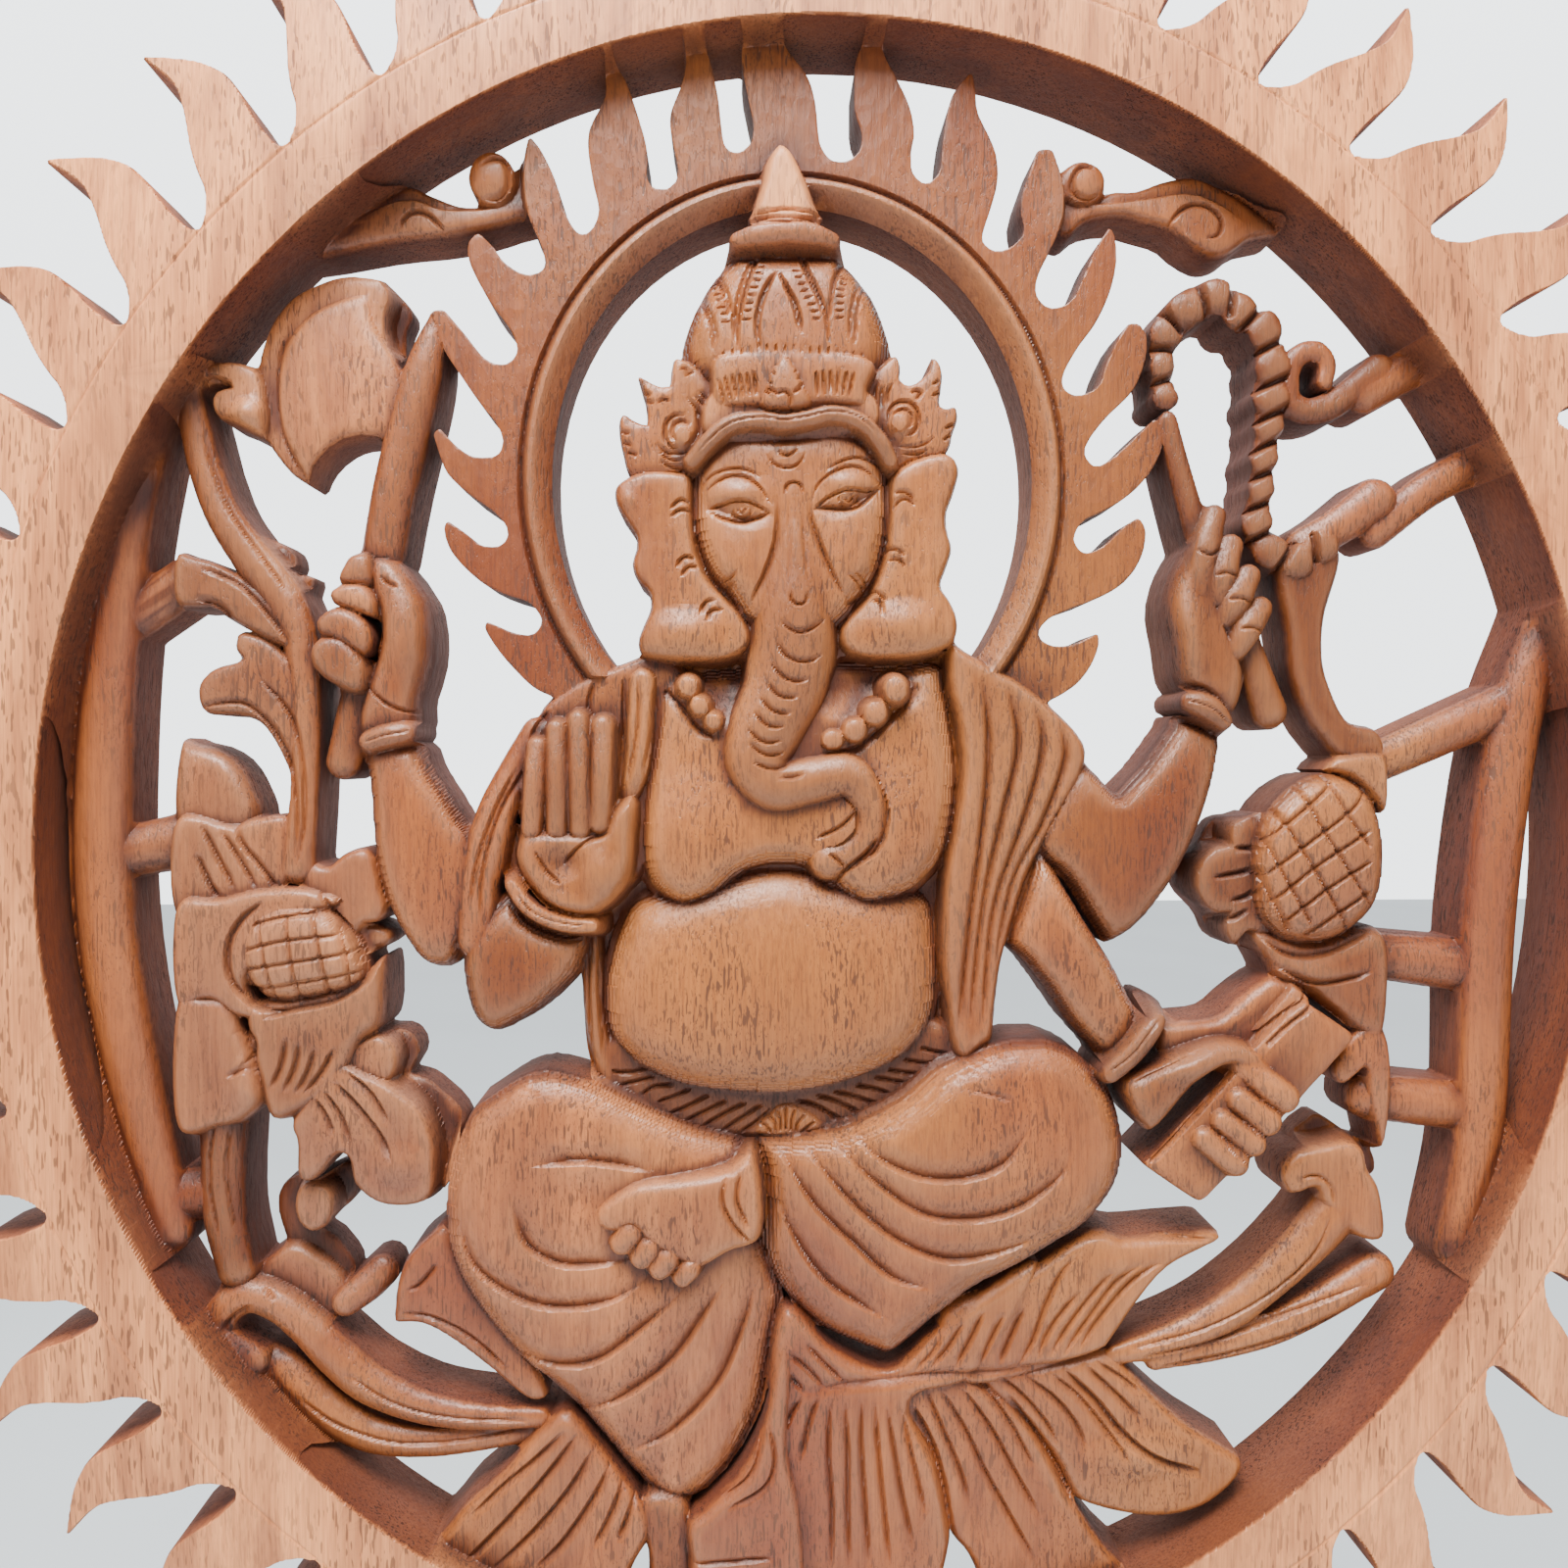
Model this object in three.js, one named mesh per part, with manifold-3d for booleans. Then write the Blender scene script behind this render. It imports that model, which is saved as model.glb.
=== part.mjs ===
// A pierced wall panel carved from one plank: a seated four-armed elephant-headed figure on a lotus
// inside an upright oval ring of flames, with an axe, a rope of beads, a narrow book and leaves.
// Millimetres, +Z up, the carved face toward -Y. The origin is on the back of the ring, top centre,
// where the panel is held to the wall.
import * as THREE from 'three';
import { mergeVertices } from 'three/addons/utils/BufferGeometryUtils.js';
import Module from 'manifold-3d';

// The plank and the ring
const PLANK = 30;
const OPENING_HALF_WIDTH = 216.4;
const OPENING_HALF_HEIGHT = 228.9;
const BAND_WIDTH = 17.5;
const FLAME_COUNT = 48;
const FLAME_TIP_HEIGHT = 26;
const FLAME_PITCH = 31.57;
const TOP_NOTCH_SHIFT = 1;
const LEFT_NOTCH_SHIFT = 6.8;
const RIGHT_NOTCH_SHIFT = -1.8;
const RING_STEPS = 56;
const ARC_SAMPLES = 2880;
const HOLD_Z = OPENING_HALF_HEIGHT + BAND_WIDTH / 2;

// One flame of the ring from its notch: [outward, along the ring to the left]
const FLAME_OUTLINE = [
  [0, 0], [27, 0.5], [37, 5], [46, 12], [33, 11], [15, 20], [2.7, 27],
];

// The halo behind the head
const HALO_HEIGHT = 19;
const HALO_CENTRE = [-10.2, 104.1];
const HALO_HALF = [68.4, 77.8];
const HALO_STEPS = 32;
const HALO_MOULDING_WIDTH = 11;
const MOULDING_LAP = 1;
// Moulding round its opening: [outward from the opening, height]
const HALO_PROFILE = [
  [0, -2], [0, 15], [3.6, 21.3], [6.8, 21.3], [9, 17.5], [10.6, 18.6], [10.6, -2],
];

// The viewpoint that the carved outlines below are drawn from. They are [u, v] points of the view,
// in picture units, u right and v down; a third value of 1 marks a sharp corner.
const VIEW_CENTRE = [800, 800];
const VIEW_FOOT = [756, 775];
const VIEW_FOCAL = 1250;
const VIEW_UNIT = 0.27;
const RING_CENTRE = [25.3, 25.6];

// How far solids run behind the back before it is planed flat, and the box that planes it
const OVERRUN = 2;
const PLANE_WIDTH = 2000;
const PLANE_DEPTH = 100;

// Outlines: steps between two points, the longest pull of a curve as a share of the gap that it
// crosses, and how far a point may lie from the line without it
const OUTLINE_STEPS = 2;
const LONGEST_PULL = 1.4;
const LEAST_LENGTH = 1e-6;
const FORM_TOLERANCE = 2;
const LIMB_TOLERANCE = 2.1;
const FEWEST_POINTS = 5;

// Raised forms: the narrowest rim that slopes, and where a rounded rim bends, as shares of it
const LEAST_RIM = 2.5;
const ROUND_FORMS = ['belly', 'head', 'crownDome'];
const ROUND_INSET = 0.3;
const ROUND_DROP = 0.35;

// Limbs: a side falls this share of the width, or of the height where that is less. The front of
// a thin or a wide limb is flat over a share of the width.
const SIDE_OF_WIDTH = 0.38;
const SIDE_OF_HEIGHT = 0.6;
const THIN_LIMB = 6;
const THIN_FRONT = 0.8;
const WIDE_LIMB = 14;
const WIDE_FRONT = 0.48;

// Beads: corners round one, its flat front as a share of it, and the drop to its side
const DOME_STEPS = 6;
const DOME_FRONT = 0.5;
const DOME_DROP = 0.8;
const CORD_WIDTH = 6;
const CORD_DROP = 2.5;

// The outline of the flames round the halo, one row from notch to notch, from the top centre
// down the left side, under the shoulders and up the right side
const HALO_FLAMES = [
  [
    [762, 16, 1], [757, 60], [763, 97], [769, 127], [766, 146],
  ],
  [
    [752, 156], [740, 149], [736, 128], [732, 95], [722, 55], [706, 31, 1], [693, 35, 1], [700, 58],
    [697, 82], [684, 118], [687, 146], [692, 176], [684, 191],
  ],
  [
    [668, 192], [660, 180], [660, 152], [650, 115], [637, 80], [625, 67, 1], [618, 76], [618, 98],
    [603, 128], [600, 150], [605, 185], [611, 215], [603, 235],
  ],
  [
    [590, 238], [576, 216], [567, 185], [553, 155], [540, 138, 1], [537, 150], [534, 188], [540, 222],
    [553, 252], [555, 274],
  ],
  [
    [536, 280], [515, 268], [503, 252], [488, 237, 1], [478, 248], [480, 270], [500, 308], [520, 335],
    [528, 358],
  ],
  [
    [515, 372], [495, 366], [475, 342], [453, 316, 1], [440, 317, 1], [447, 340], [455, 360],
    [468, 380], [490, 412], [505, 430], [513, 448],
  ],
  [
    [509, 463], [497, 467], [480, 465], [462, 452], [448, 436, 1], [442, 443, 1], [450, 468],
    [458, 485], [480, 505], [505, 523], [517, 538],
  ],
  [
    [517, 550], [507, 558], [490, 556], [475, 544], [456, 531, 1], [453, 540], [459, 560], [475, 580],
    [497, 598], [520, 608], [540, 615], [552, 630],
  ],
  [
    [551, 640], [542, 648], [525, 646], [508, 639], [496, 634, 1], [495, 642], [508, 663], [525, 683],
    [545, 702],
  ],
  [
    [566, 712, 1], [640, 760, 1], [690, 850, 1], [870, 850, 1], [985, 760, 1],
  ],
  [
    [1072, 715, 1], [1085, 708], [1100, 697], [1113, 680], [1121, 660], [1121, 646, 1], [1100, 656],
    [1080, 660], [1065, 655],
  ],
  [
    [1060, 645], [1070, 632], [1090, 622], [1115, 613], [1140, 600], [1157, 583], [1167, 562],
    [1169, 540], [1162, 528, 1], [1148, 537], [1132, 553], [1118, 562], [1105, 564],
  ],
  [
    [1096, 550], [1105, 532], [1125, 522], [1150, 507], [1170, 487], [1184, 462], [1186, 440],
    [1179, 427, 1], [1165, 440], [1150, 455], [1132, 470], [1117, 476],
  ],
  [
    [1107, 463], [1112, 448], [1130, 425], [1155, 400], [1168, 370], [1170, 345], [1163, 330, 1],
    [1152, 330, 1], [1142, 345], [1130, 370], [1122, 393], [1108, 402], [1095, 403],
  ],
  [
    [1085, 395], [1086, 380], [1100, 355], [1118, 330], [1132, 300], [1139, 270], [1138, 243],
    [1133, 231, 1], [1118, 255], [1105, 285], [1095, 305], [1080, 314],
  ],
  [
    [1066, 312], [1057, 298], [1060, 280], [1072, 255], [1084, 225], [1086, 200], [1082, 175],
    [1074, 152, 1], [1059, 153, 1], [1050, 178], [1043, 200], [1042, 215], [1045, 238], [1030, 253],
  ],
  [
    [1015, 256], [1003, 247], [1004, 235], [1012, 210], [1018, 185], [1017, 160], [1010, 140],
    [998, 115], [995, 90], [992, 72, 1], [975, 92], [968, 110], [963, 140], [960, 172], [952, 184],
  ],
  [
    [942, 187], [931, 175], [930, 155], [933, 135], [928, 108], [915, 80], [902, 55], [900, 35],
    [893, 26, 1], [880, 45], [873, 65], [872, 90], [873, 115], [880, 138], [876, 156],
  ],
  [
    [862, 165], [848, 163], [838, 150], [835, 135], [832, 105], [825, 80], [812, 62], [800, 45],
    [790, 16, 1],
  ],
];

// The axe on the left and the hand that holds it
const AXE = {
  bladeRim: {
    top: 17,
    inset: 1,
    drop: 1.5,
    outline: [
      [262, 378], [268, 352], [280, 325], [300, 302], [330, 287], [355, 281], [388, 284, 1], [398, 300],
      [392, 330], [400, 362], [413, 381, 1], [400, 430], [396, 449, 1], [375, 443], [350, 447],
      [330, 460], [318, 475], [313, 494, 1], [296, 482], [275, 455], [262, 432], [256, 405],
    ],
  },
  bladeFace: {
    top: 20,
    inset: 1.5,
    drop: 1.5,
    outline: [
      [372, 298], [350, 302], [320, 315], [300, 333], [288, 355], [281, 385], [281, 420], [290, 452],
      [312, 490, 1], [318, 475], [330, 460], [350, 447], [375, 443], [396, 449, 1], [410, 400],
      [400, 362], [385, 340], [376, 318],
    ],
  },
  bladeBack: {
    top: 9,
    inset: 1,
    drop: 1,
    outline: [
      [385, 290], [405, 300], [421, 320], [414, 345], [412, 381], [380, 380], [370, 330],
    ],
  },
  axeHand: {
    top: 24,
    inset: 4,
    drop: 8,
    outline: [
      [376, 566], [400, 568], [414, 579], [427, 598], [436, 614], [441, 640], [441, 668], [436, 692],
      [429, 715], [427, 742], [400, 752], [364, 752], [368, 712], [380, 680], [388, 650], [385, 625],
      [376, 600],
    ],
  },
  axeF1: {
    top: 24,
    inset: 2,
    drop: 4,
    outline: [
      [358, 566], [376, 566], [382, 590], [374, 597], [350, 596], [344, 590], [350, 577],
    ],
  },
  axeF2: {
    top: 24.5,
    inset: 2,
    drop: 4,
    outline: [
      [349, 596], [372, 597], [384, 613], [383, 630], [368, 626], [350, 620], [338, 614], [336, 604],
    ],
  },
  axeF3: {
    top: 25,
    inset: 2.5,
    drop: 4,
    outline: [
      [338, 620], [358, 622], [376, 636], [381, 655], [373, 669], [355, 661], [338, 652], [325, 647],
      [322, 633],
    ],
  },
  axeF4: {
    top: 25,
    inset: 2.5,
    drop: 4,
    outline: [
      [327, 650], [347, 650], [366, 665], [374, 682], [372, 702], [362, 707], [343, 700], [327, 690],
      [317, 676], [317, 661],
    ],
  },
  axeArm: {
    top: 24,
    inset: 5,
    drop: 11,
    outline: [
      [367, 765], [372, 800], [375, 840], [378, 870], [386, 905], [397, 938], [412, 965], [427, 985],
      [445, 992], [462, 990], [475, 975], [490, 940], [500, 890], [492, 850], [476, 834], [460, 808],
      [444, 783], [432, 757], [400, 750],
    ],
  },
};

// Trunk of the body, raised hand, cloth over the shoulder
const BODY = {
  backPlate: {
    top: 13,
    inset: 0,
    drop: 0,
    outline: [
      [640, 680], [980, 670], [1000, 760], [1010, 900], [1000, 1060], [980, 1100], [900, 1160],
      [700, 1160], [610, 1100], [596, 1000], [600, 900], [640, 820],
    ],
  },
  fan: {
    top: 20,
    inset: 2,
    drop: 4,
    outline: [
      [527, 778], [540, 757], [547, 740], [554, 722], [566, 711, 1], [600, 690], [628, 680],
      [664, 666, 1], [700, 690], [690, 800], [650, 900], [600, 900], [540, 860],
    ],
  },
  foreArmL: {
    top: 26,
    inset: 6,
    drop: 12,
    outline: [
      [468, 960], [467, 985], [470, 1012], [478, 1040], [491, 1054], [507, 1058], [530, 1048],
      [560, 1030], [590, 1002], [604, 975], [608, 948], [575, 945], [545, 932], [524, 905], [505, 915],
      [488, 935],
    ],
  },
  palm: {
    top: 27,
    inset: 4,
    drop: 8,
    outline: [
      [531, 848, 1], [560, 845], [592, 847], [613, 846], [620, 832], [632, 818], [645, 811], [652, 824],
      [650, 850], [648, 880], [641, 903], [623, 925], [600, 936], [575, 932], [553, 920], [536, 900],
      [526, 875],
    ],
  },
  chest: {
    top: 25.5,
    inset: 7,
    drop: 9,
    outline: [
      [668, 690], [663, 740], [655, 790], [650, 850], [655, 890], [672, 915], [700, 928], [730, 918],
      [752, 898], [775, 887], [805, 884], [830, 893], [850, 910], [880, 927], [905, 922], [940, 905],
      [965, 875], [975, 840], [980, 790], [975, 740], [968, 700], [962, 675], [860, 665], [700, 680],
    ],
  },
  belly: {
    top: 28.6,
    inset: 12,
    drop: 8,
    outline: [
      [645, 922], [630, 945], [620, 975], [613, 1010], [614, 1045], [623, 1072], [643, 1092],
      [672, 1106], [710, 1117], [760, 1121], [800, 1122], [850, 1114], [890, 1102], [925, 1085],
      [948, 1062], [958, 1035], [962, 1000], [961, 960], [955, 922], [925, 903], [860, 892], [800, 880],
      [740, 890], [690, 905],
    ],
  },
  belt: {
    top: 18,
    inset: 2,
    drop: 2,
    outline: [
      [612, 1075], [620, 1100], [640, 1118], [700, 1150], [770, 1162], [800, 1166], [860, 1156],
      [905, 1138], [955, 1108], [982, 1080], [970, 1050], [940, 1040], [660, 1040],
    ],
  },
  beltFan: {
    top: 20,
    inset: 1,
    drop: 2,
    outline: [
      [768, 1157, 1], [780, 1140], [802, 1127], [825, 1136], [848, 1152, 1], [810, 1160],
    ],
  },
  shawl: {
    top: 22,
    inset: 3,
    drop: 6,
    outline: [
      [968, 655], [985, 664], [1005, 676], [1035, 692], [1065, 714], [1088, 735], [1103, 752],
      [1109, 767], [1106, 785], [1096, 808], [1080, 835], [1064, 862], [1050, 890], [1038, 925],
      [1028, 960], [1021, 990], [1016, 1030], [1013, 1058], [1000, 1070], [985, 1082], [972, 1072],
      [966, 1030], [960, 980], [963, 900], [971, 850], [981, 790], [977, 740], [968, 700],
    ],
  },
};

// Head, ears and crown
const HEAD = {
  headBack: {
    top: 19,
    inset: 1,
    drop: 1,
    outline: [
      [705, 430], [690, 480], [690, 530], [700, 590], [730, 645], [770, 680], [850, 680], [890, 645],
      [915, 580], [925, 515], [915, 465], [905, 420], [800, 408],
    ],
  },
  head: {
    top: 27,
    inset: 6,
    drop: 7,
    outline: [
      [706, 480], [718, 455], [745, 432], [800, 438], [850, 428], [885, 438], [905, 462], [910, 500],
      [908, 545], [898, 585], [880, 612], [858, 640], [810, 660], [765, 640], [742, 608], [722, 585],
      [710, 555], [705, 520],
    ],
  },
  earL: {
    top: 24,
    inset: 2,
    drop: 4,
    outline: [
      [705, 488], [690, 482], [665, 480], [645, 485], [630, 494], [627, 505], [631, 520], [643, 538],
      [650, 555], [645, 575], [650, 592], [661, 604], [664, 620], [656, 640], [651, 655], [655, 668],
      [672, 673], [700, 676], [730, 675], [755, 668], [767, 655], [764, 640], [755, 625], [740, 610],
      [722, 590], [710, 560], [706, 520],
    ],
  },
  earR: {
    top: 24,
    inset: 2,
    drop: 4,
    outline: [
      [908, 490], [916, 480], [932, 470], [955, 463], [972, 465], [979, 480], [973, 505], [966, 525],
      [968, 545], [972, 560], [966, 580], [960, 598], [968, 610], [977, 630], [976, 650], [965, 662],
      [940, 670], [905, 674], [875, 670], [860, 660], [857, 645], [866, 630], [884, 612], [896, 590],
      [905, 560], [908, 520],
    ],
  },
  crownDome: {
    top: 27.6,
    inset: 12,
    drop: 12,
    outline: [
      [748, 248], [735, 262], [715, 290], [700, 322], [692, 350], [692, 375], [705, 400], [730, 415],
      [800, 420], [870, 415], [900, 400], [914, 378], [915, 350], [905, 315], [890, 285], [870, 262],
      [854, 248],
    ],
  },
  finial: {
    top: 27,
    inset: 3,
    drop: 9,
    outline: [
      [795, 144, 1], [781, 165], [775, 190], [769, 210], [765, 228], [801, 238], [838, 228], [832, 208],
      [822, 182], [809, 156],
    ],
  },
  crownBase: {
    top: 26,
    inset: 1,
    drop: 1,
    outline: [
      [730, 398], [800, 390], [884, 398], [896, 432], [872, 442], [800, 448], [742, 448], [718, 438],
    ],
  },
  crownBand: {
    top: 27.8,
    inset: 1.5,
    drop: 2.5,
    outline: [
      [727, 370], [737, 360], [758, 357], [780, 355], [800, 351], [830, 356], [858, 358], [880, 363],
      [893, 373], [884, 395], [882, 412], [850, 413], [800, 416], [750, 414], [731, 410], [728, 395],
    ],
  },
  crownLeaf: {
    top: 30,
    inset: 1.5,
    drop: 2.5,
    outline: [
      [778, 413], [781, 398], [788, 377], [800, 359, 1], [812, 375], [821, 395], [827, 412], [800, 417],
    ],
  },
  wingL: {
    top: 23,
    inset: 1,
    drop: 3,
    outline: [
      [643, 485], [636, 465], [632, 445], [632, 428], [635, 420, 1], [647, 429], [661, 435, 1],
      [659, 415], [655, 398], [649, 380, 1], [663, 389], [674, 394], [684, 395, 1], [685, 378],
      [688, 363, 1], [705, 371], [722, 388], [735, 415], [725, 445], [708, 470], [690, 482], [665, 484],
    ],
  },
  wingR: {
    top: 23,
    inset: 1,
    drop: 3,
    outline: [
      [890, 385], [903, 371], [915, 360, 1], [919, 372], [918, 388, 1], [930, 393], [946, 381],
      [949, 370], [952, 362, 1], [960, 371], [962, 387], [958, 415, 1], [967, 417], [976, 412, 1],
      [978, 426], [973, 441], [965, 462], [930, 470], [912, 480], [904, 462], [895, 440], [880, 415],
    ],
  },
};

// Arms on the right with the rope and the book
const RIGHT_ARMS = {
  armRope: {
    top: 23.5,
    inset: 5,
    drop: 11,
    outline: [
      [1108, 772], [1120, 785], [1138, 806, 1], [1162, 782], [1192, 742], [1203, 727], [1250, 747],
      [1248, 780], [1239, 815], [1223, 858], [1200, 902], [1170, 942], [1147, 961], [1130, 967],
      [1112, 945], [1085, 902], [1050, 862], [1070, 815], [1090, 780],
    ],
  },
  ropeHand: {
    top: 23.5,
    inset: 4,
    drop: 9,
    outline: [
      [1203, 697], [1196, 658], [1190, 622], [1195, 592], [1206, 567], [1220, 547], [1225, 535],
      [1245, 600], [1265, 650], [1271, 695], [1263, 727], [1250, 735], [1225, 718],
    ],
  },
  armBook: {
    top: 25,
    inset: 5,
    drop: 11,
    outline: [
      [1060, 858], [1085, 895], [1115, 945], [1135, 975], [1153, 1008], [1166, 1032], [1171, 1052],
      [1150, 1078], [1130, 1092], [1110, 1070], [1088, 1045], [1065, 1012], [1045, 985], [1026, 962],
      [1036, 925], [1048, 890],
    ],
  },
  palmBack: {
    top: 20,
    inset: 3,
    drop: 5,
    outline: [
      [1180, 1048], [1200, 1042], [1240, 1037], [1262, 1020], [1280, 1006], [1300, 996], [1325, 1010],
      [1310, 1060], [1250, 1090], [1190, 1090],
    ],
  },
  thumbBack: {
    top: 11,
    inset: 1.5,
    drop: 3,
    outline: [
      [1156, 1012], [1172, 1014], [1186, 1028], [1200, 1050], [1180, 1060], [1160, 1040],
    ],
  },
  handBook: {
    top: 27,
    inset: 3,
    drop: 7,
    outline: [
      [1146, 1102], [1175, 1086], [1210, 1071], [1245, 1060], [1275, 1065], [1298, 1082], [1312, 1104],
      [1300, 1112], [1275, 1097], [1255, 1087], [1236, 1094], [1215, 1112], [1195, 1136], [1176, 1156],
      [1163, 1150], [1150, 1128],
    ],
  },
  book: {
    top: 25,
    inset: 0.5,
    drop: 0.5,
    outline: [
      [1330, 1020, 1], [1380, 1054, 1], [1383, 1062], [1232, 1224], [1222, 1226], [1168, 1190, 1],
    ],
  },
  bookEdge: {
    top: 23,
    inset: 0.5,
    drop: 0.5,
    outline: [
      [1283, 1053, 1], [1322, 1007, 1], [1340, 1020, 1], [1298, 1068, 1],
    ],
  },
  ropeEndStem: {
    top: 18,
    inset: 2.5,
    drop: 5,
    outline: [
      [1302, 566], [1366, 560], [1352, 630], [1350, 670], [1357, 700], [1375, 735], [1405, 745],
      [1410, 775], [1368, 776], [1345, 755], [1328, 728], [1315, 690], [1311, 650],
    ],
  },
};

// Crossed legs and the lotus seat
const SEAT = {
  legL: {
    top: 27,
    inset: 10,
    drop: 7,
    outline: [
      [476, 1136], [460, 1175], [451, 1215], [450, 1250], [458, 1290], [475, 1325], [500, 1360],
      [530, 1395], [560, 1420], [590, 1450], [612, 1478], [642, 1518], [680, 1559, 1], [722, 1538],
      [757, 1497], [780, 1450], [790, 1410], [797, 1375], [803, 1335], [795, 1300], [785, 1275],
      [780, 1230], [776, 1180], [765, 1165], [700, 1148], [640, 1122], [600, 1102], [560, 1092],
      [530, 1098], [495, 1120],
    ],
  },
  foot: {
    top: 30,
    inset: 3,
    drop: 6,
    outline: [
      [605, 1236], [615, 1225], [650, 1206], [700, 1200], [745, 1192], [768, 1176], [779, 1220],
      [776, 1268], [745, 1280], [710, 1299], [690, 1288], [660, 1270], [645, 1253], [632, 1260],
      [615, 1258], [606, 1248],
    ],
  },
  legR: {
    top: 28.5,
    inset: 10,
    drop: 8,
    outline: [
      [868, 1150], [920, 1122], [960, 1090], [1015, 1066], [1060, 1060], [1092, 1068], [1118, 1086],
      [1142, 1118], [1154, 1165], [1151, 1200], [1138, 1228], [1112, 1257], [1080, 1276], [1040, 1300],
      [1000, 1320], [972, 1342], [945, 1366], [922, 1390], [906, 1399, 1], [880, 1387], [840, 1370],
      [815, 1350], [795, 1325], [780, 1290], [778, 1240], [775, 1200], [768, 1165], [800, 1160],
      [840, 1156],
    ],
  },
  pendant: {
    top: 25,
    inset: 3,
    drop: 4,
    outline: [
      [797, 1370], [780, 1450], [757, 1500], [722, 1540], [702, 1558], [705, 1600], [704, 1650],
      [722, 1692], [802, 1692], [822, 1640], [818, 1540], [805, 1480], [808, 1400],
    ],
  },
  drapeMid: {
    top: 23,
    inset: 3,
    drop: 4,
    outline: [
      [800, 1335], [850, 1375], [906, 1398], [950, 1362], [1000, 1320], [1060, 1290], [1000, 1400],
      [930, 1430], [958, 1500], [970, 1565], [960, 1620], [945, 1690], [815, 1690], [806, 1600],
      [800, 1500], [785, 1430],
    ],
  },
  drapeLow: {
    top: 21,
    inset: 2.5,
    drop: 3,
    outline: [
      [900, 1410], [980, 1405], [1040, 1440], [1075, 1490], [1097, 1532], [1125, 1575], [1165, 1625],
      [1110, 1660], [1040, 1685], [1012, 1640], [990, 1590], [970, 1562], [950, 1480],
    ],
  },
  petalMidL: {
    top: 21,
    inset: 2,
    drop: 3,
    outline: [
      [655, 1530], [700, 1535], [706, 1600], [704, 1690], [668, 1695], [662, 1640], [662, 1590],
    ],
  },
  petalUp: {
    top: 22,
    inset: 3,
    drop: 5,
    outline: [
      [960, 1340], [1040, 1300], [1112, 1257], [1150, 1262], [1200, 1258], [1240, 1256], [1246, 1265],
      [1226, 1275], [1190, 1295], [1160, 1330], [1136, 1365], [1125, 1377], [1060, 1400], [980, 1410],
    ],
  },
  petalLow: {
    top: 20.5,
    inset: 3,
    drop: 5,
    outline: [
      [1000, 1400], [1060, 1390], [1125, 1377], [1150, 1395], [1180, 1425], [1212, 1452], [1250, 1476],
      [1266, 1487], [1266, 1502], [1250, 1521], [1225, 1538], [1190, 1547], [1150, 1545], [1110, 1535],
      [1094, 1524], [1078, 1492], [1055, 1460], [1020, 1430],
    ],
  },
  petalLeft: {
    top: 20,
    inset: 2,
    drop: 4,
    outline: [
      [401, 1351, 1], [405, 1312], [416, 1282], [436, 1262], [456, 1252], [480, 1300], [520, 1350],
      [560, 1420], [540, 1428], [500, 1396], [460, 1366], [430, 1351],
    ],
  },
  drapeLeft: {
    top: 22.5,
    inset: 3,
    drop: 4,
    outline: [
      [548, 1462], [580, 1440], [615, 1480], [655, 1535], [664, 1558], [657, 1580], [644, 1604],
      [632, 1650], [625, 1690], [520, 1680], [400, 1625], [432, 1585], [455, 1560], [478, 1532],
      [515, 1500],
    ],
  },
};

// Leaves and cone flower on the right
const LEAVES_RIGHT = {
  coneR: {
    top: 26,
    inset: 6,
    drop: 7,
    outline: [
      [1280, 880], [1285, 850], [1300, 820], [1325, 797], [1355, 786], [1390, 795], [1415, 820],
      [1425, 870], [1418, 920], [1395, 948], [1360, 965], [1320, 965], [1292, 945], [1282, 915],
    ],
  },
  coneLeaf: {
    top: 18,
    inset: 1.2,
    drop: 2,
    outline: [
      [1290, 832], [1262, 838], [1256, 848], [1257, 862, 1], [1240, 866], [1226, 880], [1220, 900],
      [1226, 920], [1240, 932], [1256, 930, 1], [1250, 945], [1256, 963], [1264, 962], [1275, 950],
      [1300, 950], [1310, 880],
    ],
  },
  coneLeafBack: {
    top: 8,
    inset: 1,
    drop: 1,
    outline: [
      [1265, 832], [1238, 836], [1222, 860], [1205, 878], [1202, 905], [1225, 932], [1237, 955],
      [1262, 965], [1290, 960], [1290, 840],
    ],
  },
  cupR: {
    top: 20,
    inset: 3,
    drop: 6,
    outline: [
      [1278, 948], [1292, 985], [1302, 1000], [1330, 1012], [1382, 1052], [1412, 1060], [1412, 950],
      [1340, 962],
    ],
  },
  coneStemR: {
    top: 20,
    inset: 2,
    drop: 4,
    outline: [
      [1366, 772], [1400, 768], [1415, 775], [1415, 830], [1398, 810], [1375, 792], [1352, 786],
    ],
  },
  petalBookR: {
    top: 19,
    inset: 1.5,
    drop: 3,
    outline: [
      [1385, 1052], [1361, 1085], [1362, 1101], [1372, 1107], [1386, 1095], [1394, 1090], [1400, 1130],
      [1412, 1175], [1420, 1100], [1412, 1050],
    ],
  },
  scrollR: {
    top: 20,
    inset: 2,
    drop: 4,
    outline: [
      [1306, 1196], [1320, 1176], [1350, 1168], [1375, 1164], [1391, 1172], [1396, 1192], [1408, 1215],
      [1412, 1262], [1385, 1262], [1350, 1228], [1342, 1212], [1325, 1218], [1313, 1217],
    ],
  },
  scrollRBack: {
    top: 9,
    inset: 1,
    drop: 1,
    outline: [
      [1340, 1138], [1352, 1140], [1378, 1158], [1398, 1168], [1400, 1200], [1330, 1190], [1318, 1160],
    ],
  },
  voluteR: {
    top: 17,
    inset: 2,
    drop: 4,
    outline: [
      [1078, 165], [1090, 190], [1112, 204], [1135, 193], [1160, 192], [1190, 181], [1220, 177],
      [1250, 189], [1280, 209], [1310, 234], [1275, 245], [1255, 259], [1235, 262], [1212, 250],
      [1195, 236], [1170, 228], [1140, 221], [1110, 226], [1088, 240], [1070, 220],
    ],
  },
};

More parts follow.
